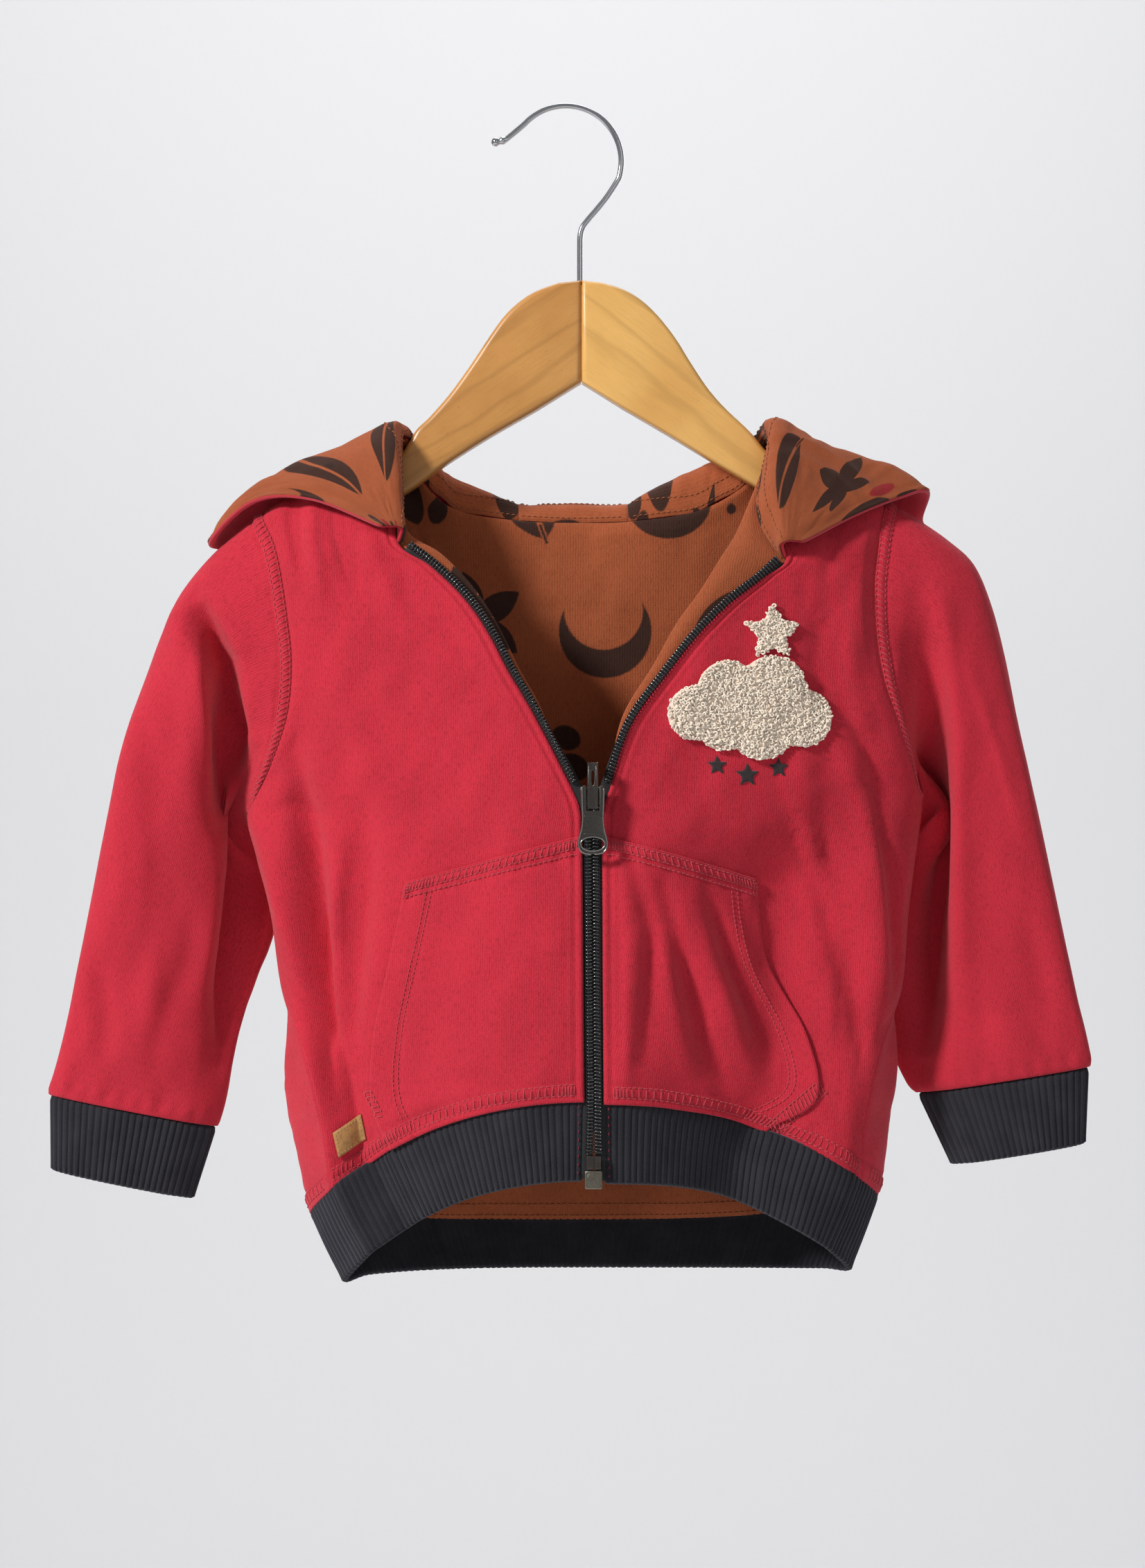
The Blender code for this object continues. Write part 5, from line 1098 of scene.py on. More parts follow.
def plain(name, colour, roughness, metallic=0.0, grain=0.0, scale=900.0, **extra):
    n = Nodes(name)
    speck, base = None, colour
    if grain:
        speck = n.noise(scale, n.place(), 4.0)
        base = n.mix(n.ramp(speck, 0.35, 0.75), colour, times(colour, 1 - grain))
    return n.finish(base, roughness, speck, 0.25, 0.0002, Metallic=metallic, **extra)


def wood(name, light, dark, axis_x, axis_z, ring_scale, fleck):
    """Varnished beech whose grain runs along the arm."""
    n = Nodes(name)
    x, y, z = n.split(n.place())
    along, across = x * axis_x + z * axis_z, z * axis_x - x * axis_z

    def grain(length, width, detail=3.0):
        return n.noise(1.0, n.join(along * length, across * width, y * width), detail)

    drift = grain(9.0, 45.0)
    rings = calculate("FRACT", across * ring_scale + drift * 2.4)
    line = 1.0 - n.ramp(calculate("PINGPONG", rings, 0.5), 0.0, 0.22)
    fibre, pore = grain(120.0, 2400.0), grain(500.0, 1800.0, 2.0)
    base = n.mix(n.ramp(n.noise(22.0, n.place()), 0.25, 0.75), light, dark)
    base = n.mix(line * 0.32, base, times(dark, 0.62))
    base = n.mix(n.ramp(fibre, 0.45, 0.8) * 0.3, base, times(dark, 0.75))
    base = n.mix(n.ramp(pore, 0.62, 0.8) * fleck, base, times(dark, 0.5))
    return n.finish(base, 0.38, fibre + line * 0.4, 0.12, 0.0002, Coat_Weight=0.35, Coat_Roughness=0.22)


MATERIALS = {
    "red": jersey("jersey_red", RED, (0.42, 0.30, 0.34), 0.00095, 0.0008, 0.35),
    "rust": jersey("jersey_rust", RUST, (0.55, 0.40, 0.34), 0.0011, 0.001, 0.25, print_motifs),
    "red_plain": plain("jersey_red_roll", (0.50, 0.020, 0.040), 0.9, 0, 0.3, 2500, Sheen_Weight=0.3),
    "rib": rib_material(),
    "thread_red": plain("thread_red", (0.57, 0.030, 0.055), 0.8, 0, 0.3, 3000, Sheen_Weight=0.25),
    "thread_rust": plain("thread_rust", (0.36, 0.11, 0.035), 0.7, 0, 0.3, 3000),
    "thread_dark": plain("thread_dark", (0.25, 0.015, 0.04), 0.7, 0, 0.3, 3000),
    "thread_tan": plain("thread_tan", (0.55, 0.34, 0.15), 0.7, 0, 0.3, 3000),
    "tape": plain("zip_tape", (0.012, 0.012, 0.014), 0.8, 0, 0.4, 1500),
    "coil": plain("zip_coil", (0.010, 0.010, 0.012), 0.16, 0, 0.2, Specular_IOR_Level=1.0,
                  Coat_Weight=1.0, Coat_Roughness=0.12),
    "gunmetal": plain("gunmetal", (0.115, 0.100, 0.092), 0.3, 0.95, 0.25, 1200),
    "pull": plain("gunmetal_pull", (0.120, 0.110, 0.100), 0.3, 0.95, 0.2, 1200),
    "rim": plain("gunmetal_rim", (0.36, 0.34, 0.32), 0.2, 0.97, 0.1, 1200),
    "antique": plain("gunmetal_box", (0.22, 0.20, 0.16), 0.38, 0.95, 0.35, 1500),
    "chrome": plain("chrome", (0.55, 0.56, 0.58), 0.14, 1.0, 0.06, 700),
    "leather": plain("leather", (0.44, 0.215, 0.065), 0.55, 0, 0.35, 700),
    "wool": plain("wool", (0.98, 0.85, 0.70), 0.95, 0, 0.2, 1800, Sheen_Weight=0.4),
    # The pad under the yarn loops is a little darker than the loops: painted shade between them.
    "wool_shade": plain("wool_shade", (0.90, 0.74, 0.60), 0.97, 0, 0.3, 1500),
    "felt": plain("felt", (0.030, 0.018, 0.020), 0.97, 0, 0.45, 2500, Sheen_Weight=0.3),
    "wood_left": wood("wood_left", (0.64, 0.31, 0.082), (0.50, 0.215, 0.048), 0.83, 0.55, 95, 0.5),
    "wood_right": wood("wood_right", (0.83, 0.47, 0.135), (0.70, 0.355, 0.088), 0.81, -0.58, 70, 0.25),
    "stage": plain("stage_pale", (0.80, 0.80, 0.81), 0.9),
}


# ================================================================ cloth
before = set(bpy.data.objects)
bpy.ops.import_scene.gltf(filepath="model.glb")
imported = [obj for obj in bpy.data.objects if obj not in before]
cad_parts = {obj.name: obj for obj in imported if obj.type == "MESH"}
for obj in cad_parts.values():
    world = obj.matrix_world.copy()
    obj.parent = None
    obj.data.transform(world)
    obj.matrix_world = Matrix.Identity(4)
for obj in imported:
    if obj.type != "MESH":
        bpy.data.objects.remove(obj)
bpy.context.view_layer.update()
grids, normals, sleeves = body_grids()
cloths = {}


def ride(item, node=None, body="root"):
    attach(item, body)
    if node:
        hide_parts(node)


class Cloth:
    """A fine grid of points and normals, with its float indexes on the coarse grid."""

    def __init__(self, points, lean, rows=None, columns=None, ring=False):
        self.points, self.lean, self.rows, self.columns, self.ring = points, lean, rows, columns, ring
        self.lift = np.zeros(points.shape[:2])

    def push(self, lift):
        self.lift = self.lift + lift
        self.points = self.points + self.lean * lift[:, :, None]

    def distance(self, axis, end=0):
        """How far each point lies from the first or last line along an axis."""
        run = np.cumsum(np.linalg.norm(np.diff(self.points, axis=axis), axis=2), axis=axis)
        pad = [(0, 0), (0, 0)]
        pad[axis] = (1, 0)
        run = np.pad(run, pad)
        return run.take([-1], axis=axis) - run if end else run

    def edges(self):
        """How far each point lies from the first and last column and the first and last row."""
        return self.distance(1), self.distance(1, 1), self.distance(0), self.distance(0, 1)

    def at(self, rows, columns, out=0.0):
        """Points and normals at float indexes on the fine grid."""
        i, j = np.broadcast_arrays(np.asarray(rows, float), np.asarray(columns, float))
        height, width = self.points.shape[:2]
        i0 = np.clip(np.floor(i).astype(int), 0, height - 2)
        j0 = np.floor(j).astype(int)
        if not self.ring:
            j0 = np.clip(j0, 0, width - 2)
        u, v = (i - i0)[..., None], (j - j0)[..., None]
        j0, j1 = j0 % width, (j0 + 1) % width
        place, lean = ((grid[i0, j0] * (1 - u) + grid[i0 + 1, j0] * u) * (1 - v)
                       + (grid[i0, j1] * (1 - u) + grid[i0 + 1, j1] * u) * v
                       for grid in (self.points, self.lean))
        lean = units(lean)
        return place + lean * out, lean


def cut(grid, lean, rows, columns, ring=False):
    """A fine cloth over a coarse grid."""
    points, lean = (sample(values, rows, columns, ring) for values in (grid, lean))
    return Cloth(points, units(lean), rows, columns, ring)


def dense(grid, axis, coarse, fine, reach, ends=(True, True), start=0.0, stop=None):
    """Float indexes one coarse spacing apart, and closer near the ends."""
    steps = even(grid, axis, WALK, start=start, stop=stop)
    total = WALK * (len(steps) - 1)
    places, at = [0.0], 0.0
    while at < total:
        near = min(at if ends[0] else FAR, total - at if ends[1] else FAR)
        at += fine if near < reach else min(coarse, fine + (near - reach) * 0.4 + 0.05)
        places.append(min(at, total))
    if len(places) > 2 and places[-1] - places[-2] < fine * 0.5:
        places.pop(-2)
    return np.interp(np.array(places) / WALK, np.arange(len(steps)), steps)


def relief(points, seed, size=1.0):
    """Gentle waves that all hanging jersey has."""
    x, z = points[:, :, 0], points[:, :, 2]
    return size * (0.9 * lattice_noise(x + 0.35 * z, z * 0.4, 25, seed)
                   + 0.50 * lattice_noise(x - 0.3 * z, z * 0.5, 10, seed + 1)
                   + 0.15 * lattice_noise(x, z, 4.5, seed + 2))


def fade(distance, reach):
    return np.clip(distance / reach, 0, 1) ** 1.5


def ease(value, low, high):
    part = np.clip((value - low) / (high - low), 0, 1)
    return part * part * (3 - 2 * part)


def ridges(distance, *parts):
    """Rounded ridges and grooves beside an edge: height, distance from it and width."""
    return sum(height * np.exp(-((distance - at) / width) ** 2) for height, at, width in parts)


def above_armpit(cloth):
    return np.clip((cloth.rows - (ARMPIT - LEVEL["hem"])) * 2, 0, 1)[:, None]


def slump(x, z, key):
    """How far the loose cloth beside each pocket has sunk towards the lining."""
    across, depth, high, low = SLUMP[key]
    shift = 0.12 * (z + 340) if key == "right" else 0
    drop = sum(np.interp(x + step - shift, across, depth) for step in range(-5, 6, 2)) / 6
    return drop * ease(z, *low) * ease(-z, -high[0], -high[1])


def declare(points):
    """Works out a panel's longest row, its longest column and its area, and does not keep them."""
    width = np.linalg.norm(np.diff(points, axis=1), axis=2).sum(axis=1).max() * MM
    length = np.linalg.norm(np.diff(points, axis=0), axis=2).sum(axis=0).max() * MM
    first, second = points[1:, :-1] - points[:-1, :-1], points[:-1, 1:] - points[:-1, :-1]
    area = np.linalg.norm(np.cross(first, second), axis=2).sum() * MM * MM
    area = min(max(area, 0.31 * width * length), width * length)


def panel(name, node, cloth, out, thickness, look, mode, flip, held, rests_on, **shape):
    """A piece of cloth on its body; the sizes of the flat sheet it was cut from are worked out but not kept.
    """
    item = sheet_mesh(name, cloth, out, thickness, look, mode, flip, **shape)
    ride(item, node)
    declare(cloth.points)


def tubes(name, runs, radius, look, sides=5, ring=False, taper=0.6):
    """Many small round threads in one mesh; each run is its points and a way across it."""
    places, faces, total = [], [], 0
    turn = np.linspace(0, 2 * math.pi, sides, endpoint=False)[None, :, None]
    for points, ref in runs:
        points = np.asarray(points, dtype=float)
        count = len(points)
        tangent = units(np.roll(points, -1, 0) - np.roll(points, 1, 0) if ring
                        else np.gradient(points, axis=0))
        across = units(np.cross(tangent, ref))
        up = np.cross(across, tangent)
        size = np.ones(count) * radius
        if not ring:
            size[[0, -1]] *= taper
        circle = points[:, None] + size[:, None, None] * (
            across[:, None] * np.cos(turn) + up[:, None] * np.sin(turn))
        places.append(circle.reshape(-1, 3))
        body = quads(count + 1 if ring else count, sides, 0, False, True)
        faces.append((body % (count * sides) if ring else body) + total)
        if not ring:
            faces.append(np.arange(sides)[None, ::-1] + total)
            faces.append(np.arange(sides)[None] + total + (count - 1) * sides)
        total += count * sides
    return add_mesh(name, np.concatenate(places), [face for block in faces for face in block.tolist()], look)


def along(points, lean, spacing):
    """A line resampled at an even spacing, with its normals."""
    run = np.concatenate([[0], np.cumsum(np.linalg.norm(np.diff(points, axis=0), axis=1))])
    at = np.linspace(0, run[-1], max(2, int(round(run[-1] / spacing)) + 1))
    place, normal = (np.stack([np.interp(at, run, values[:, k]) for k in range(3)], 1)
                     for values in (points, lean))
    return place, units(normal)


def dashes(points, lean, pitch=2.4, gap=0.22, lift=0.28):
    """Stitches one after another along a line on the cloth."""
    steps = 6
    place, normal = along(points, lean, pitch / steps)
    rise = np.array([-0.15, lift, lift, -0.15])[:, None]
    runs = []
    for first in range(0, len(place) - steps, steps):
        part = np.linspace(first + gap * steps / 2, first + steps * (1 - gap / 2), 4)
        low = np.floor(part).astype(int)
        rest = (part - low)[:, None]
        spot = place[low] * (1 - rest) + place[np.minimum(low + 1, len(place) - 1)] * rest
        runs.append((spot + normal[low] * rise, normal[first]))
    return runs


def ladder(cloth, low, high, columns, pitch=2.4):
    """A coverstitch: two rows of stitches with threads crossing between them."""
    lines = [cloth.at(rows, columns) for rows in (low, high)]
    runs = [dash for points, lean in lines for dash in dashes(points, lean, pitch)]
    count = max(2, int(np.linalg.norm(np.diff(lines[0][0], axis=0), axis=1).sum() / pitch))
    index = np.arange(len(low))
    part = np.array([0.04, 0.3, 0.7, 0.96])
    rise = np.array([-0.05, 0.26, 0.26, -0.05])[:, None]
    for k in range(count):
        here = (k + 0.5) / count * index[-1]
        there = min(here + 0.35 / count * index[-1], index[-1])
        spot = here + (there - here) * part
        rows = np.interp(spot, index, low) * (1 - part) + np.interp(spot, index, high) * part
        points, lean = cloth.at(rows, np.interp(spot, index, columns))
        runs.append((points + lean * rise, lean[1]))
    return runs


def row_at(cloth, distance, columns, end=0):
    """Fine row indexes a distance from the first or last row, at fine columns."""
    run = cloth.distance(0)
    index = np.arange(len(run))
    return np.array([np.interp(line[-1] - distance if end else distance, line, index)
                     for line in run.T[np.asarray(columns).astype(int)]])


def column_at(cloth, distance, rows, end=0):
    """Fine column indexes a distance from the first or last column, at fine rows."""
    run = cloth.distance(1)
    index = np.arange(run.shape[1])
    return np.array([np.interp(line[-1] - distance if end else distance, line, index)
                     for line in run[np.asarray(rows).astype(int)]])


def follow(lining, cloth):
    """Sinks a lining wherever the cloth over it sinks, by the lowest of its neighbours."""
    i = np.interp(lining.rows, cloth.rows, np.arange(len(cloth.rows))).round().astype(int)
    j = np.interp(lining.columns, cloth.columns, np.arange(len(cloth.columns))).round().astype(int)
    deepest = cloth.lift
    for axis in (0, 1):
        size = cloth.lift.shape[axis]
        deepest = np.min([np.take(deepest, np.clip(np.arange(size) + step, 0, size - 1), axis)
                          for step in range(-3, 4)], axis=0)
    lining.push(np.minimum(deepest[np.ix_(i, j)], 0.3))


# ---------------------------------------------------------------- body and sleeves
def make_fronts():
    for key in SIDES:
        grid, flip = grids[key], key == "right"
        rows, columns = dense(grid, 0, 1.7, 1.0, 8, (True, False)), dense(grid, 1, 1.7, 0.7, 7)
        cloth = cut(grid, normals[key], rows, columns)
        side, edge, hem, top = cloth.edges()
        x, z = cloth.points[:, :, 0], cloth.points[:, :, 2]
        inner = fade(side, 7) * fade(edge, 9) * fade(hem, 5) * fade(top, 6)
        cloth.sunk = slump(x, z, key) * fade(side, 12) * fade(edge, 12)
        seed = {"left": 11, "right": 23}[key]
        lift = relief(cloth.points, seed, 1.15) + 1.5 * creases(x, z, FRONT_FOLDS[key])
        # The cloth over the hanger cannot sink.
        lift = np.where(z > HANGER_FOOT, np.maximum(lift, -0.6), lift)
        puckers = np.sin(x / 1.15) * (0.6 + 0.4 * np.sin(x / 7.0)) * ridges(hem, (0.22, 9.5, 3.0))
        cloth.push(lift * inner + cloth.sunk + ridges(side, SEAM) * above_armpit(cloth)
                   + ridges(edge, *ZIP_WELT) * fade(hem, 3)
                   + (ridges(hem, *HEM_BAND, *HEM_GROOVES) + puckers) * fade(edge, 5) * fade(side, 3))
        cloths[key] = cloth
        panel("cloth_front_" + key, "front_" + key, cloth, 0, JERSEY, "red", "hang", flip,
              "hung", ["hanger_" + key], both=False)
        edge_line = lining_edge(BODY[key], range(LEVEL["hem"], SHOULDER + 1), grid, normals[key])
        inner_grid = np.concatenate([grid[:, :-1], edge_line[:, None]], axis=1)
        lining = cut(inner_grid, normals[key], even(inner_grid, 0, 2.6), even(inner_grid, 1, 2.6))
        follow(lining, cloth)
        panel("cloth_lining_" + key, "lining_" + key, lining, -LINING_IN - SLACK, LINING, "rust", "hang",
              flip, "hung", ["hanger_" + key])


def make_sleeves():
    for key in SIDES:
        sleeve, ring, _ = sleeves[key]
        cloth = cut(sleeve, ring, dense(sleeve, 0, 1.9, 1.0, 8), even(sleeve, 1, 1.9, ring=True), True)
        _, _, shoulder, cuff = cloth.edges()
        x, z = cloth.points[:, :, 0], cloth.points[:, :, 2]
        front = np.clip(-cloth.lean[:, :, 1] * 2.5, 0, 1)
        around, down = np.moveaxis(surface_uv(cloth.points, "along") / MM, 2, 0)
        wave = 1.2 * lattice_noise(around + 0.4 * down, down * 0.45, 24, 51) \
            + 0.55 * lattice_noise(around, down * 0.6, 10, 52)
        steps = np.arange(len(cloth.columns))
        blend = np.clip(np.minimum(steps, steps[::-1]) / 6.0, 0, 1)[None]
        # Past 2 mm a dent only sinks away from the armhole, where there is room behind it.
        dents = 1.15 * creases(x, z, SLEEVE_CREASES[key])
        dents = np.maximum(dents, -2) + np.minimum(dents + 2, 0) * fade(shoulder, DENT_REACH[key])
        cloth.push((wave * blend + dents * front) * fade(shoulder, 9) * fade(cuff, 5)
                   + ridges(shoulder, *ARMHOLE_WELT)
                   + np.sin(around / 1.3) * ridges(shoulder, (0.2, 7.5, 2.5))
                   + ridges(cuff, (-0.5, 0, 1.2)) + np.sin(around / 1.6) * ridges(cuff, (0.3, 4, 3.5)))
        cloths["sleeve_" + key] = cloth
        panel("cloth_sleeve_" + key, "sleeve_" + key, cloth, 0, SLEEVE, "red", "along", key == "left",
              "hung", ["cloth_front_" + key, "cloth_back"])


def make_back():
    grid = grids["back"]
    cloth = cut(grid, normals["back"], dense(grid, 0, 2.2, 1.1, 8), dense(grid, 1, 2.2, 0.9, 6))
    left, right, hem, top = cloth.edges()
    side = np.minimum(left, right)
    x = cloth.points[:, :, 0]
    long_folds = np.sin(x / 15.0 + 0.5 + 0.4 * np.sin(hem / 40.0)) * ridges(hem, (1.9, 60, 60.0))
    waves = np.minimum(relief(cloth.points, 37, 1.8) + long_folds, 2.4) - 0.5
    cloth.push(waves * fade(side, 9) * fade(hem, 6) * fade(top, 7) + ridges(side, SEAM) * above_armpit(cloth)
               + ridges(hem, *HEM_BAND) * fade(side, 4))
    cloths["back"] = cloth
    panel("cloth_back", "back", cloth, 0, JERSEY, "red", "hang", True, "hung", HANGERS, both=False)
    lining = cut(grid, normals["back"], even(grid, 0, 2.8), even(grid, 1, 2.8))
    follow(lining, cloth)
    cloths["lining_back"] = lining
    panel("cloth_lining_back", "lining_back", lining, -LINING_IN - SLACK, LINING, "rust", "hang", True,
          "hung", HANGERS)


def rib_columns(points, ring=False):
    """Float indexes that divide a strip into whole ribs."""
    loop = np.concatenate([points[1], points[1][:1]]) if ring else points[1]
    ribs = int(round(np.linalg.norm(np.diff(loop, axis=0), axis=1).sum() / RIB_PITCH))
    steps = even(points, 1, WALK, ring)
    if ring:
        steps = np.append(steps, points.shape[1])
    part = np.linspace(0, 1, ribs * RIB_STEPS + (not ring), endpoint=not ring)
    return np.interp(part, np.linspace(0, 1, len(steps)), steps)


def rib_wave(cloth):
    """Rounded ribs with narrow grooves between them."""
    phase = np.arange(len(cloth.columns)) % RIB_STEPS / RIB_STEPS
    return 0.72 * (np.abs(np.sin(math.pi * phase)) ** 0.6 - 0.75)[None, :]


def make_ribs():
    points, facing = rib_grid(normals)
    cloth = cut(points, facing, dense(points, 0, 4.0, 0.9, 3), rib_columns(points))
    _, _, bottom, top = cloth.edges()
    wave = rib_wave(cloth)
    x, z = cloth.points[:, :, 0], cloth.points[:, :, 2]
    sway = 0.5 * lattice_noise(x, z * 0.5, 30, 61)
    # The rib sinks with the foot of each front above it.
    drop = np.zeros(x.shape)
    for key in SIDES:
        front = cloths[key]
        order = np.argsort(front.points[0, :, 0])
        sunk = np.interp(x[-1], front.points[0, order, 0], front.sunk[0, order], 0, 0)
        drop += sunk * (cloth.lean[-1, :, 1] < 0)
    cloth.push(drop)
    cloth.push(wave + sway * fade(bottom, 4) * fade(top, 4) + wave * ridges(bottom, (0.35, 0, 1.5))
               + ridges(top, (-0.5, 0, 1.2)))
    cloths["rib"] = cloth
    panel("cloth_hem_rib", "hem_rib", cloth, 0, RIB, "rib", "along", True,
          "hung", ["cloth_front_left", "cloth_front_right", "cloth_back"], rolled=2.0)
    for key, table in (("left", LEFT_CUFF), ("right", RIGHT_CUFF)):
        first, second = (section_ring(row, sleeves[key][2]) for row in table)
        points = np.array([first, (first + second) / 2, second])
        facing = grid_normals(points, -1 if key == "left" else 1, ring=True)
        cloth = cut(points, facing, dense(points, 0, 3.5, 0.9, 2.5), rib_columns(points, True), True)
        _, _, top, bottom = cloth.edges()
        wave = rib_wave(cloth)
        cloth.push(wave + ridges(top, (-0.6, 0, 1.2)) + wave * ridges(bottom, (0.35, 0, 1.5)))
        panel("cloth_cuff_" + key, "cuff_" + key, cloth, 0, RIB, "rib", "along", key == "left",
              "hung", ["cloth_sleeve_" + key], rolled=2.0)


# ---------------------------------------------------------------- hood
def make_hood():
    points, facing = hood_grids(grids, normals)
    rims = {}
    for key, node, seed, shift in (("left", "hood_side_left", 71, (12, 20)),
                                   ("right", "hood_side_right", 81, (61, 143)),
                                   ("gusset", "hood_gusset", 91, (25, 80))):
        cloth = cut(points[key], facing[key], even(points[key], 0, 1.9), even(points[key], 1, 1.9))
        x, y, z = np.moveaxis(cloth.points, 2, 0)
        start, end, neck, rim = cloth.edges()
        u, v = np.moveaxis(surface_uv(cloth.points, "turned") / MM, 2, 0)
        wave = 0.8 * lattice_noise(x, y + z, 18, seed) + 0.3 * lattice_noise(u, v, 8, seed + 1)
        inner = fade(neck, 6) * fade(rim, 4) * fade(start, 5) * fade(end, 5)
        ridge = ridges(start - 0.12 * rim, *HOOD_RIDGES) if key == "right" else 0.0
        cloth.push(wave * inner + ridges(rim, (0.5, 3.5, 2.5)) * fade(rim, 1.5)
                   + ridge * fade(rim, 4) * fade(neck, 8))
        cloths["hood_" + key] = cloth
        flip = key != "right"
        panel("cloth_" + node, node, cloth, 0, JERSEY, "red", "turned", flip,
              "folded", ["cloth_back", "cloth_front_left", "cloth_front_right"])
        panel("cloth_hood_lining_" + key, "hood_lining_" + key, cloth, -LINING_IN, LINING, "rust", "turned",
              flip, "folded", ["cloth_" + node], shift=shift)
        rims[key] = cloth.points[-1] - cloth.lean[-1] * 1.2
    rim = np.concatenate([rims["left"], rims["gusset"][1:], rims["right"][::-1][1:]])
    rim, _ = along(rim, np.ones_like(rim), 1.6)
    ride(tubes("hood_rim_roll", [(rim, (0.1, 0.2, 1.0))], 0.85, "red_plain", 8))


# ---------------------------------------------------------------- pockets
def make_pockets():
    for key in SIDES:
        grid, front = grids[key], cloths[key]
        rows = dense(grid, 0, 1.7, 0.9, 9, stop=LEVEL["pocket"] - LEVEL["hem"])
        columns = dense(grid, 1, 1.7, 0.8, 8, start=FRONT_SIDE_COLUMNS)
        fine_rows = np.interp(rows, front.rows, np.arange(len(front.rows)))
        fine_columns = np.interp(columns, front.columns, np.arange(len(front.columns)))
        pocket = Cloth(*front.at(fine_rows[:, None], fine_columns[None], JERSEY + SEAM_GAP))
        side, edge, hem, high = pocket.edges()
        gape = ridges(side, (1.0, 0, 4.5)) * np.clip(np.sin(math.pi * np.clip(hem / 95, 0, 1)), 0, 1)
        puckers = np.sin(pocket.points[:, :, 0] / 1.2) * ridges(high, (0.3, 6.5, 4.0))
        pocket.push(gape + ridges(side, *MOUTH_HEM) * fade(high, 7)
                    + (ridges(high, *POCKET_TOP) + puckers) * fade(edge, 4))
        cloths["pocket_" + key] = pocket
        panel("cloth_pocket_" + key, "pocket_" + key, pocket, 0, JERSEY, "red", "hang", key == "right",
              "hung", ["cloth_front_" + key], both=False, rolled=1.0)


# ---------------------------------------------------------------- stitches
def hem_ladder(cloth, columns):
    return ladder(cloth, row_at(cloth, 2.4, columns), row_at(cloth, 7.0, columns), columns)


def lining_rows(cloth, distances, columns, out):
    """Rows of stitches on the inner face of a lining."""
    runs = []
    for distance in distances:
        points, lean = cloth.at(row_at(cloth, distance, columns), columns, out)
        runs += dashes(points, -lean)
    return runs


def bar_stitches(tree, half, ends):
    """The slanted bar where a pocket's mouth ends: two rows and the threads between them."""
    (ax, az), (bx, bz) = ends
    length = math.hypot(bx - ax, bz - az)
    nx, nz = -(bz - az) / length, (bx - ax) / length

    def spot(part, off, out):
        return on_tree(tree, ax + (bx - ax) * part + nx * off, az + (bz - az) * part + nz * off, out)

    runs = []
    for off in (-half, half):
        line = [spot(part, off, 0.1) for part in np.linspace(0, 1, 16)]
        runs += dashes(*(np.array(values) for values in zip(*line)), 2.2)
    for part in np.linspace(0.03, 0.97, int(length / 1.7)):
        line = [spot(part + 0.03 * step, off, lift)
                for step, off, lift in ((-1, 0.2 - half, 0.0), (-0.4, -0.4 * half, 0.35),
                                        (0.4, 0.4 * half, 0.35), (1, half - 0.2, 0.0))]
        runs.append((np.array([place for place, _ in line]), line[1][1]))
    return runs


def make_stitches():
    red = []
    for key in SIDES:
        sleeve, front, pocket = cloths["sleeve_" + key], cloths[key], cloths["pocket_" + key]
        columns = np.linspace(0, sleeve.points.shape[1] - 0.001, 260)
        red += ladder(sleeve, np.full(260, 0.55), row_at(sleeve, 5.4, columns), columns)
        split = np.interp(FRONT_SIDE_COLUMNS, front.columns, np.arange(len(front.columns)))
        red += hem_ladder(front, np.linspace(1, split, 60))
        width = pocket.points.shape[1]
        red += hem_ladder(pocket, np.linspace(0.5, width - 5, 160))
        # The pocket's top band, the hem of its mouth and the short bar at the mouth's upper end.
        columns = np.linspace(0.5, width - 3, 160)
        high, low, under = (row_at(pocket, distance, columns, 1) for distance in (0.9, 4.6, 7.0))
        red += ladder(pocket, low, high, columns, 2.2)
        red += dashes(*pocket.at(under, columns), 2.2)
        rows = np.linspace(row_at(pocket, 9, [0])[0], under[0], 100)
        for distance in (13.3, MOUTH_ROW[key]):
            red += dashes(*pocket.at(rows, column_at(pocket, distance, rows)), 2.0)
        upright = np.linspace(under[0], high[0], 8)
        for distance in (0.8, 2.2):
            column = column_at(pocket, distance, low[:1])
            red += dashes(*pocket.at(upright, np.full(8, column[0])), 1.4)
    for key, half, ends in POCKET_BARS:
        red += bar_stitches(trees["front_" + key], half, ends)
    back, lining, rib = cloths["back"], cloths["lining_back"], cloths["rib"]
    red += hem_ladder(back, np.linspace(2, back.points.shape[1] - 3, 420))
    ride(tubes("stitches_red", red, 0.26, "thread_red", 4))
    columns = np.linspace(4, lining.points.shape[1] - 5, 300)
    rust = lining_rows(lining, (1.6, 6.4), columns, -LINING_IN - SLACK - LINING)
    for key in ("left", "right", "gusset"):
        hood = cloths["hood_" + key]
        columns = np.linspace(0.5, hood.points.shape[1] - 1.5, 160)
        rust += lining_rows(hood, (1.6, 7.5), columns, -LINING_IN - LINING)
    ride(tubes("stitches_rust", rust, 0.25, "thread_rust", 4))
    pink = []
    rows = np.linspace(1, rib.points.shape[0] - 2, 40)
    for column in (5.0, rib.points.shape[1] - 6.0):
        pink += dashes(*rib.at(rows, np.full(40, column), 0.15), 3.4, gap=0.62)
    ride(tubes("stitches_pink", pink, 0.24, "thread_dark", 4))


# ---------------------------------------------------------------- zip
def zip_line(table, low, high, spacing):
    """Frames an even spacing apart along the front edge between two levels."""
    frames = np.array([zip_frame(table, level) for level in np.linspace(low, high, 90)])
    run = np.concatenate([[0], np.cumsum(np.linalg.norm(np.diff(frames[:, 0], axis=0), axis=1))])
    at = np.linspace(0, run[-1], int(run[-1] / spacing) + 1)
    spot, out, middle = (np.stack([np.interp(at, run, frames[:, k, axis]) for axis in range(3)], 1)
                         for k in range(3))
    return at, spot, units(out), units(middle)


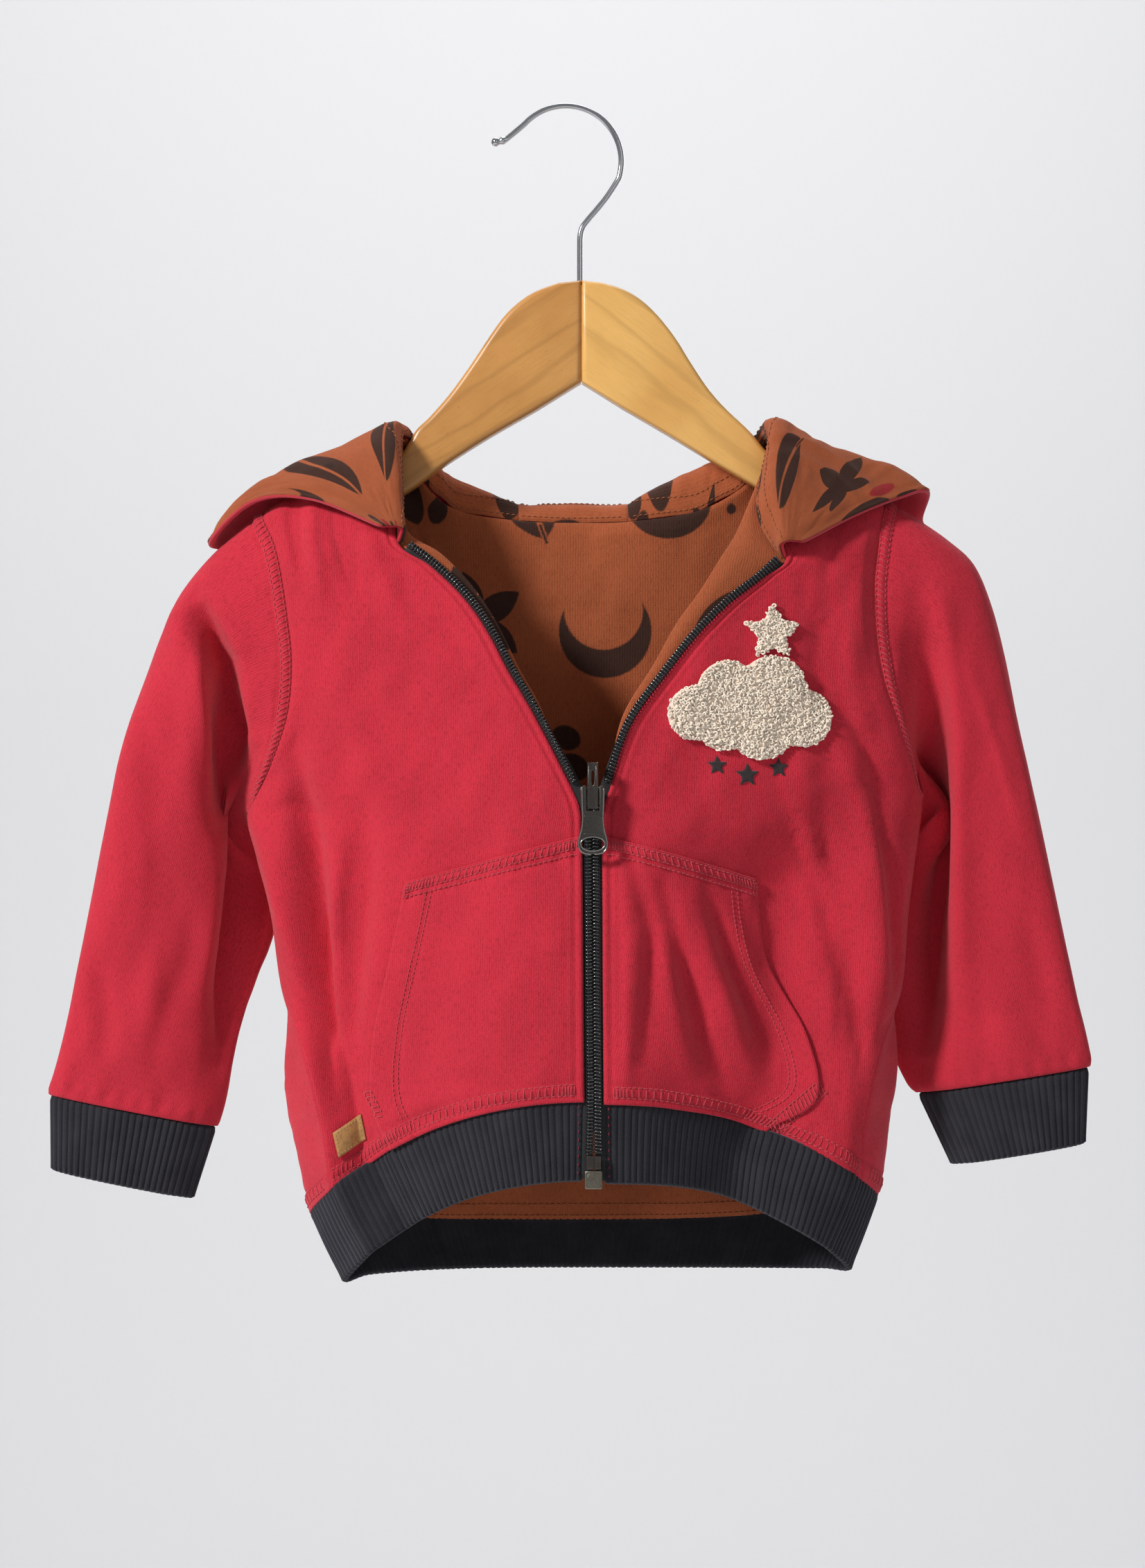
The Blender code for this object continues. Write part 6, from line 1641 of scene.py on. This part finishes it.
def hidden_tape(key, spot):
    """Three lines of the tape between the front or the rib and the lining, beside points on the edge."""
    table, front = BODY[key], cloths[key]
    steps = np.linspace(0, COLLAR, 261)
    levels = np.interp(spot[:, 2], [body_row(table, level)["edge_z"] for level in steps], steps)
    fine = np.interp(levels - LEVEL["hem"], front.rows, np.arange(len(front.rows)))
    lines = []
    for run, deep in TAPE_HIDDEN:
        line, _ = front.at(fine, column_at(front, run, fine, 1), -deep)
        for index, (level, edge) in enumerate(zip(levels, spot)):
            if level <= LEVEL["hem"] + 0.05:
                way = unit(front_point(table, level, math.pi / 2 - 0.35) - edge)
                line[index] = edge + way * run + np.array((0, deep, 0))
        lines.append(line)
    return lines


def make_zip():
    for key, phase in (("left", 0.0), ("right", math.pi)):
        table = BODY[key]
        _, spot, out, middle = zip_line(table, 0.02, COLLAR - 0.3, 2.0)
        # Above the slider the tape curls back under its coil.
        curl = 1 - 0.25 * ease(spot[:, 2], SLIDER_TOP, SLIDER_TOP + 25)[:, None]
        shown = [spot + middle * (reach * curl) + out * -0.4 for reach in TAPE_SHOWN]
        points = np.stack(hidden_tape(key, spot) + shown, 1)
        tape = Cloth(points, np.repeat(out[:, None], points.shape[1], axis=1))
        panel("zip_tape_cloth_" + key, "zip_tape_" + key, tape, 0, 0.7, "tape", "along", key == "right",
              "hung", ["cloth_front_" + key])
        for part, low, high, reach, wide, threads in (
                ("chain", level_at_height(table, BOX_TOP), level_at_height(table, SLIDER_BOTTOM - 0.4),
                 2.85, 1.5, (1.55, 2.35)),
                ("coil", level_at_height(table, SLIDER_TOP + 0.4), COLLAR - 0.28, 2.0, 1.35, (1.2, 1.9))):
            at, spot, out, middle = zip_line(table, low, high, COIL_PITCH / 10)
            turn = (2 * math.pi * at / COIL_PITCH + phase)[:, None]
            run = units(np.gradient(spot, axis=0))
            helix = spot + middle * (reach + wide * np.cos(turn)) + out * (0.75 + 0.8 * np.sin(turn)) \
                + run * 0.28 * np.sin(2 * turn)
            node = "zip_%s_%s" % (part, key)
            wire = tubes("zip_%s_wire_%s" % (part, key), [(helix, run[len(run) // 2])], 0.34, "coil", 6)
            ride(wire, node)
            stitch = []
            for offset in threads:
                stitch += dashes(spot + middle * offset + out * 1.62, out, COIL_PITCH, gap=0.1, lift=0.12)
            ride(tubes("zip_%s_thread_%s" % (part, key), stitch, 0.2, "tape", 4))


def plate(name, outlines, y_front, y_back, bevel, look="gunmetal", resolution=3):
    """A flat part with rounded edges, and holes where an outline lies inside another."""
    curve = bpy.data.curves.new(name, "CURVE")
    curve.dimensions = "2D"
    curve.fill_mode = "BOTH"
    curve.extrude = (abs(y_back - y_front) / 2 - bevel) * MM
    curve.bevel_depth = bevel * MM
    curve.bevel_resolution = resolution
    curve.offset = -bevel * MM
    for outline in outlines:
        line = curve.splines.new("POLY")
        line.points.add(len(outline) - 1)
        for point, (x, z) in zip(line.points, outline):
            point.co = (x * MM, z * MM, 0, 1)
        line.use_cyclic_u = True
    source = bpy.data.objects.new(name + "_curve", curve)
    bpy.context.collection.objects.link(source)
    mesh = bpy.data.meshes.new_from_object(source.evaluated_get(bpy.context.evaluated_depsgraph_get()))
    bpy.data.objects.remove(source)
    mesh.transform(Matrix.Rotation(math.radians(90), 4, "X"))
    mesh.transform(Matrix.Translation((0, (y_front + y_back) / 2 * MM, 0)))
    work = bmesh.new()
    work.from_mesh(mesh)
    bmesh.ops.remove_doubles(work, verts=work.verts, dist=1e-6)
    bmesh.ops.recalc_face_normals(work, faces=work.faces)
    work.to_mesh(mesh)
    work.free()
    mesh.name = name
    mesh.materials.clear()
    mesh.materials.append(MATERIALS[look])
    mesh.shade_smooth()
    mesh.set_sharp_from_angle(angle=math.radians(38))
    item = bpy.data.objects.new(name, mesh)
    bpy.context.collection.objects.link(item)
    return item


def smooth_outline(knots, per=8, closed=True):
    knots = np.array(knots, dtype=float)
    count = len(knots)
    at = np.arange(0, count, 1 / per) if closed else np.linspace(0, count - 1, (count - 1) * per + 1)
    return (weights(at, count, closed) @ knots).tolist()


def beside(places, sign=1):
    """Places given from the slider's middle line, on its right or, for -1, on its left."""
    return [(SLIDER_X + sign * x, z) for x, z in places]


def mirrored(half):
    """A closed outline from its right half, listed from top to bottom."""
    return beside(half) + beside(half[::-1], -1)


def box(left, right, top, bottom):
    return [(left, top), (right, top), (right, bottom), (left, bottom)]


def oval(x, z, wide, tall, count=24):
    return [(x + wide * math.cos(2 * math.pi * i / count), z + tall * math.sin(2 * math.pi * i / count))
            for i in range(count)]


def make_slider():
    top, bottom = SLIDER_TOP, SLIDER_BOTTOM
    face = SLIDER_FRONT_Y
    shoulders = mirrored(((1.2, top - 1.3), (3.2, top - 0.1), (4.9, top - 0.9), (5.3, top - 2.8),
                          (4.6, bottom + 1.6), (4.1, bottom + 0.2), (1.8, bottom)))
    shoulders = smooth_outline(shoulders, 4)
    wedge = mirrored(((1.0, top - 0.7), (1.2, top - 2.2), (0.2, top - 5.0)))
    parts = [plate("slider_front", [shoulders], face + 0.1, face + 1.3, 0.45),
             plate("slider_rear", [shoulders], -40.3, -39.0, 0.45),
             plate("slider_wedge", [wedge], face + 0.8, -40.0, 0.15, resolution=1)]
    for sign in (-1, 1):
        flange = ((4.45, top - 3.2), (5.05, top - 3.4), (4.5, bottom + 0.5), (3.95, bottom + 0.6))
        parts.append(plate("slider_flange_%d" % (sign + 1), [beside(flange, sign)], face + 0.6, face + 1.8,
                           0.12, resolution=1))
    # The rail: a bar bent over the top from the front to the back.
    front, rear, half, thick = PULL_FRONT_Y + 0.1, -36.6, 2.15, 1.3
    for name, y_front in (("front", front), ("rear", rear - thick)):
        outline = smooth_outline(mirrored(((half - 0.5, RAIL_TOP), (half, RAIL_TOP - 0.6),
                                           (half, RAIL_BOTTOM + 0.5), (half - 0.5, RAIL_BOTTOM))), 2)
        slot = mirrored(((0.40, RAIL_TOP - 3.4), (0.44, RAIL_TOP - 5.4), (0.40, RAIL_TOP - 8.8)))
        slot = smooth_outline(slot, 2)
        parts.append(plate("slider_rail_" + name, [outline, slot[::-1]], y_front, y_front + thick, 0.32))
    for sign in (-1, 1):
        lip = beside(box(1.15, half - 0.25, RAIL_TOP - 1.2, RAIL_BOTTOM + 0.8), sign)
        parts.append(plate("slider_lip_%d" % (sign + 1), [lip], front - 0.12, front + 0.6, 0.25,
                           resolution=2))
    bridge = beside(box(-half, half, RAIL_TOP, RAIL_TOP - thick))
    parts.append(plate("slider_bridge", [bridge], front + 0.3, rear - 0.3, 0.3))
    foot = beside(box(-2.0, 2.0, RAIL_FOOT + 1.3, RAIL_FOOT))
    parts.append(plate("slider_foot_front", [foot], front + 0.4, face + 0.3, 0.2, resolution=2))
    parts.append(plate("slider_foot_rear", [foot], -39.5, rear - 0.4, 0.2, resolution=2))
    for item in parts:
        ride(item, "zip_slider" if item is parts[0] else None)


def make_pull():
    top, bottom, front = PULL_TOP, PULL_TOP - 27.5, PULL_FRONT_Y
    # The outline is open at the top, between the fork's two arms.
    outline = mirrored([(2.7, top - 0.1), (4.3, top), (4.75, top - 0.8)] + PULL_SIDE) \
        + beside(((-2.7, top - 10.0), (2.7, top - 10.0)))
    hole = oval(SLIDER_X, bottom + 4.1, 4.75, 2.7)
    parts = [plate("pull_plate", [outline, hole[::-1]], front, PULL_BACK_Y, 0.36, "pull")]
    # Raised rims along both sides and round the hole.
    for sign in (-1, 1):
        line = [(SLIDER_X + sign * (x - 0.42), front + 0.02, z) for x, z in [(4.75, top - 0.9)] + PULL_SIDE]
        line = smooth_outline(line, 4, closed=False)
        parts.append(tubes("pull_rim_%d" % (sign + 1), [(line, (0, -1, 0))], 0.34, "rim", 8))
    for z in (top - 12.2, bottom + 8.2):
        line = [(SLIDER_X + x, front + 0.02, z + 0.12 * math.cos(x / 2.4)) for x in np.linspace(-3.9, 3.9, 9)]
        parts.append(tubes("pull_bar_%d" % int(-z), [(line, (0, -1, 0))], 0.28, "pull", 8))
    loop = [(x, front + 0.05, z) for x, z in oval(SLIDER_X, bottom + 4.1, 4.95, 2.9, 32)]
    parts.append(tubes("pull_hole_rim", [(loop, (0, -1, 0))], 0.3, "rim", 8, ring=True))
    for name, start, end, count, radius, taper in (("pin", -4.2, 4.2, 5, 0.68, 1.0),
                                                   ("eye_0", -2.75, -4.6, 4, 1.15, 0.9),
                                                   ("eye_2", 2.75, 4.6, 4, 1.15, 0.9)):
        line = [(x, PIVOT_Y, PIVOT_Z) for x in np.linspace(SLIDER_X + start, SLIDER_X + end, count)]
        parts.append(tubes("pull_" + name, [(line, (0, 0, 1))], radius, "pull", 14, taper=taper))
    for item in parts:
        ride(item, "zip_pull" if item is parts[0] else None, "pull")


def make_stop():
    """The pin and the box at the foot of the zip."""
    ride(plate("stop_pin", [box(9.6, 15.6, -433.0, -438.6)], -51.2, -48.9, 0.45), "zip_pin")
    # A thin black rod down the pin's face stands for its groove: painted shade.
    groove = [(12.6, -51.25, z) for z in np.linspace(-433.4, -438.4, 5)]
    ride(tubes("stop_groove_shade", [(groove, (0, -1, 0))], 0.22, "tape", 6))
    shell = smooth_outline([(9.2, -439.0), (15.8, -439.0), (16.1, -439.6), (16.1, -445.6), (15.7, -446.4),
                            (9.3, -446.4), (8.9, -445.6), (8.9, -439.6)], 1)
    ride(plate("stop_box", [shell], -51.6, -48.7, 0.55, "antique"), "zip_box")
    face = box(10.1, 14.9, -440.3, -445.2)
    ride(plate("stop_panel", [face], -51.78, -51.3, 0.2, "antique", 2))


# ---------------------------------------------------------------- hanger
def make_hanger():
    for key, outline, toward in (("left", LEFT_BOARD, -1), ("right", RIGHT_BOARD, 1)):
        joint = JOINT_X + toward * SEAM_GAP / 2
        rounded = smooth_outline(outline, 6, closed=False)
        flat = [(joint, BOARD_TOP)] + [tuple(place) for place in rounded] + [(joint, BOARD_NOTCH)]
        board = plate("hanger_board_" + key, [flat], -6.0, 6.0, 2.3, "wood_" + key, 5)
        ride(board, "hanger_" + key)
    # The glue line between the halves.
    glue = box(JOINT_X - 0.4, JOINT_X + 0.4, BOARD_TOP - 2.0, BOARD_NOTCH + 1.2)
    ride(plate("hanger_joint", [glue], -4.6, 4.6, 0.05, "wood_left", 1))
    start, end = math.radians(137), math.radians(-18)
    bend = [(HOOK_CENTRE[0] + HOOK_RADIUS * math.cos(turn), HOOK_CENTRE[1] + HOOK_RADIUS * math.sin(turn))
            for turn in (start + (end - start) * i / 24 for i in range(25))]
    path = HOOK_TIP + tuple((x, z, HOOK_WIRE) for x, z in bend + list(HOOK_SHANK))
    knots = np.array([(x, 0.0, z, radius) for x, z, radius in path])
    fine = np.array(smooth_outline(knots, 5, closed=False))
    wire = tubes("hook_wire", [(fine[:, :3], (0, 1.0, 0))], fine[:, 3], "chrome", 20, taper=1.0)
    ride(wire, "hook")


# ---------------------------------------------------------------- trim
def tree_of(*cloth_list):
    places, faces, total = [], [], 0
    for cloth in cloth_list:
        rows, columns = cloth.points.shape[:2]
        places += [Vector(point) for point in cloth.points.reshape(-1, 3)]
        faces += quads(rows, columns, total).tolist()
        total += rows * columns
    return BVHTree.FromPolygons(places, faces)


def on_tree(tree, x, z, out):
    """The place on a cloth in front of (x, z), and a way that leans forward from it."""
    hit, normal, _, _ = tree.ray_cast(Vector((x, -200, z)), Vector((0, 1, 0)))
    if hit is None:
        hit, normal, _, _ = tree.find_nearest(Vector((x, -45, z)))
    if normal.y > 0:
        normal = -normal
    lean = (Vector((0, -1, 0)) + 0.6 * normal).normalized()
    return np.array(hit + lean * out), np.array(lean)


def cloud_outline(count, grow=0.0):
    """Where rays from the cloud's middle leave its lobes."""
    outline = []
    for i in range(count):
        turn = 2 * math.pi * i / count
        dx, dz = math.cos(turn), math.sin(turn)
        reach = 0.0
        for cx, cz, radius in CLOUD_LOBES:
            radius += grow
            run = cx * dx + cz * dz
            off = cx * cx + cz * cz - run * run
            if off < radius * radius:
                reach = max(reach, run + math.sqrt(radius * radius - off))
        x, z = reach * dx, reach * dz
        outline.append((CLOUD_CENTRE[0] + x * math.cos(CLOUD_TILT) - z * math.sin(CLOUD_TILT),
                        CLOUD_CENTRE[1] + x * math.sin(CLOUD_TILT) + z * math.cos(CLOUD_TILT)))
    return outline


def star_outline(x, z, radius, grow=0.0):
    outline = []
    for i in range(10):
        turn, reach = math.pi / 2 + math.pi * i / 5, (radius * 0.5 if i % 2 else radius) + grow
        outline.append((x + reach * math.cos(turn), z + reach * math.sin(turn)))
    return outline


def inside(x, z, outline):
    hit = False
    for index, (ax, az) in enumerate(outline):
        bx, bz = outline[index - 1]
        if (az > z) != (bz > z) and x < (bx - ax) * (z - az) / (bz - az) + ax:
            hit = not hit
    return hit


def pad_mesh(name, tree, centre, outline, out, thickness, look, rings=8):
    """A pad laid on a panel, rounded down at its rim."""
    count = len(outline)
    middle = np.array(centre)
    places = [on_tree(tree, *centre, out + thickness)[0]]
    for ring in range(1, rings + 1):
        part = ring / rings
        drop = thickness * (1 - math.sqrt(max(0.0, 1 - max(0.0, (part - 0.7) / 0.3) ** 2)))
        places += [on_tree(tree, *(middle + (np.array(place) - middle) * part), out + thickness - drop)[0]
                   for place in outline]
    faces = [(0, 1 + (i + 1) % count, 1 + i) for i in range(count)]
    faces += quads(rings, count, 1, False, True).tolist()
    base, foot = 1 + (rings - 1) * count, len(places)
    places += [on_tree(tree, x, z, 0.0)[0] for x, z in outline]
    for i in range(count):
        k = (i + 1) % count
        faces.append((base + i, base + k, foot + k, foot + i))
    return add_mesh(name, places, faces, look)


def yarn_loops(name, tree, outline, spacing, height, seed):
    """Dense small loops of yarn standing on a panel inside an outline."""
    random = np.random.RandomState(seed)
    xs, zs = zip(*outline)
    runs = []
    turn = np.linspace(0, 2 * math.pi, 9, endpoint=False)[:, None]
    z, row = min(zs), 0
    while z < max(zs):
        x = min(xs) + (row % 2) * spacing / 2
        while x < max(xs):
            px, pz = x + random.uniform(-0.45, 0.45) * spacing, z + random.uniform(-0.45, 0.45) * spacing
            tilt = random.uniform(-1, 1, 3)
            size = random.uniform(0.5, 0.85)
            extra = random.uniform(-0.5, 0.7)
            if inside(px, pz, outline):
                centre, lean = on_tree(tree, px, pz, height + extra)
                axis = unit(lean * 0.55 + tilt * 0.9)
                first = unit(np.cross(axis, (0.3, 0.5, 0.8)))
                second = np.cross(axis, first)
                loop = centre + size * (first * np.cos(turn) * 1.05 + second * np.sin(turn) * 0.85
                                        + axis * 0.25 * np.sin(2 * turn + tilt[0] * 3))
                runs.append((loop, axis))
            x += spacing
        z += spacing * 0.87
        row += 1
    return tubes(name, runs, 0.37, "wool", 5, ring=True)


def make_motifs():
    tree = trees["panel_right"]
    # The cloud's and the big star's pads are painted darker than their loops, as painted shade between the
    # loops.
    pad = pad_mesh("cloud_pad", tree, CLOUD_CENTRE, cloud_outline(72), 0.1, 1.5, "wool_shade")
    ride(pad, "motif_cloud")
    ride(yarn_loops("cloud_loops", tree, cloud_outline(72, -0.2), 1.2, 1.7, 5))
    name, x, z, radius = STARS[0]
    star = star_outline(x, z, radius, 0.4)
    ride(pad_mesh("star_pad", tree, (x, z), star, 0.1, 1.2, "wool_shade", 5), name)
    ride(yarn_loops("star_loops", tree, star_outline(x, z, radius, 0.7), 1.15, 1.4, 6))
    for name, x, z, radius in STARS[1:]:
        outline = smooth_outline(star_outline(x, z, radius), 3)
        ride(pad_mesh(name + "_pad", tree, (x, z), outline, 0.05, 0.7, "felt", 4), name)


def make_label():
    first, second, fourth, third = (np.array(corner) for corner in LABEL_CORNERS)
    points, lean = np.zeros((13, 15, 3)), np.zeros((13, 15, 3))
    for i, v in enumerate(np.linspace(0, 1, 13)):
        for j, u in enumerate(np.linspace(0, 1, 15)):
            flat = (first * (1 - u) + second * u) * (1 - v) + (third * (1 - u) + fourth * u) * v
            bow = 0.9 * math.sin(math.pi * u) * math.sin(math.pi * v) + 0.35 * math.sin(u * 5)
            points[i, j], lean[i, j] = on_tree(trees["panel_left"], *flat, 1.3 + bow)
    label = Cloth(points, lean)
    ride(sheet_mesh("leather_label", label, 0, 0.9, "leather", "along", False), "label")
    stitch = []
    tall, wide = np.linspace(0.8, 11.2, 12), np.linspace(1.2, 12.8, 12)
    for rows, columns in ((tall, 0.9), (tall, 13.1), (0.9, wide), (11.1, wide)):
        stitch += dashes(*label.at(rows, columns), 1.5, gap=0.35, lift=0.16)
    ride(tubes("label_stitches", stitch, 0.15, "thread_tan", 4))


# ---------------------------------------------------------------- stage, light and camera
def make_stage():
    profile = [(-6.0, FLOOR_Z), (3.2, FLOOR_Z)]
    for i in range(1, 13):
        turn = math.pi / 2 * i / 12
        profile.append((3.2 + 1.2 * math.sin(turn), FLOOR_Z + 1.2 * (1 - math.cos(turn))))
    profile.append((4.4, 5.0))
    points = [(x, y * 1000, z * 1000) for y, z in profile for x in (-9000, 9000)]
    faces = [(2 * i, 2 * i + 1, 2 * i + 3, 2 * i + 2) for i in range(len(profile) - 1)]
    add_mesh("pale_floor", points, faces, "stage")


def make_light():
    world = bpy.data.worlds.new("studio")
    bpy.context.scene.world = world
    world.use_nodes = True
    back = world.node_tree.nodes["Background"]
    back.inputs[0].default_value = (0.93, 0.94, 0.96, 1.0)
    back.inputs[1].default_value = 0.28
    for name, place, size, energy, aim in LAMPS:
        lamp = bpy.data.lights.new(name, "AREA")
        lamp.shape = "DISK"
        lamp.size = size
        lamp.energy = energy
        item = bpy.data.objects.new(name, lamp)
        bpy.context.collection.objects.link(item)
        item.location = place
        item.rotation_mode = "QUATERNION"
        item.rotation_quaternion = (Vector(aim) - Vector(place)).to_track_quat("-Z", "Y")


def make_camera():
    lens = bpy.data.cameras.new("camera")
    lens.lens = LENS
    lens.sensor_width = 36
    item = bpy.data.objects.new("camera", lens)
    item.location = CAMERA
    item.rotation_euler = (math.radians(90), 0, 0)
    bpy.context.collection.objects.link(item)
    bpy.context.scene.camera = item


make_camera()
make_stage()
make_light()
make_fronts()
make_back()
make_sleeves()
make_ribs()
make_hood()
make_pockets()
trees = {}
for key in SIDES:
    trees["front_" + key] = tree_of(cloths[key], cloths["pocket_" + key])
    trees["panel_" + key] = tree_of(cloths[key])
make_stitches()
make_zip()
make_slider()
make_pull()
make_stop()
make_hanger()
make_motifs()
make_label()
bpy.context.scene.view_settings.view_transform = "Standard"
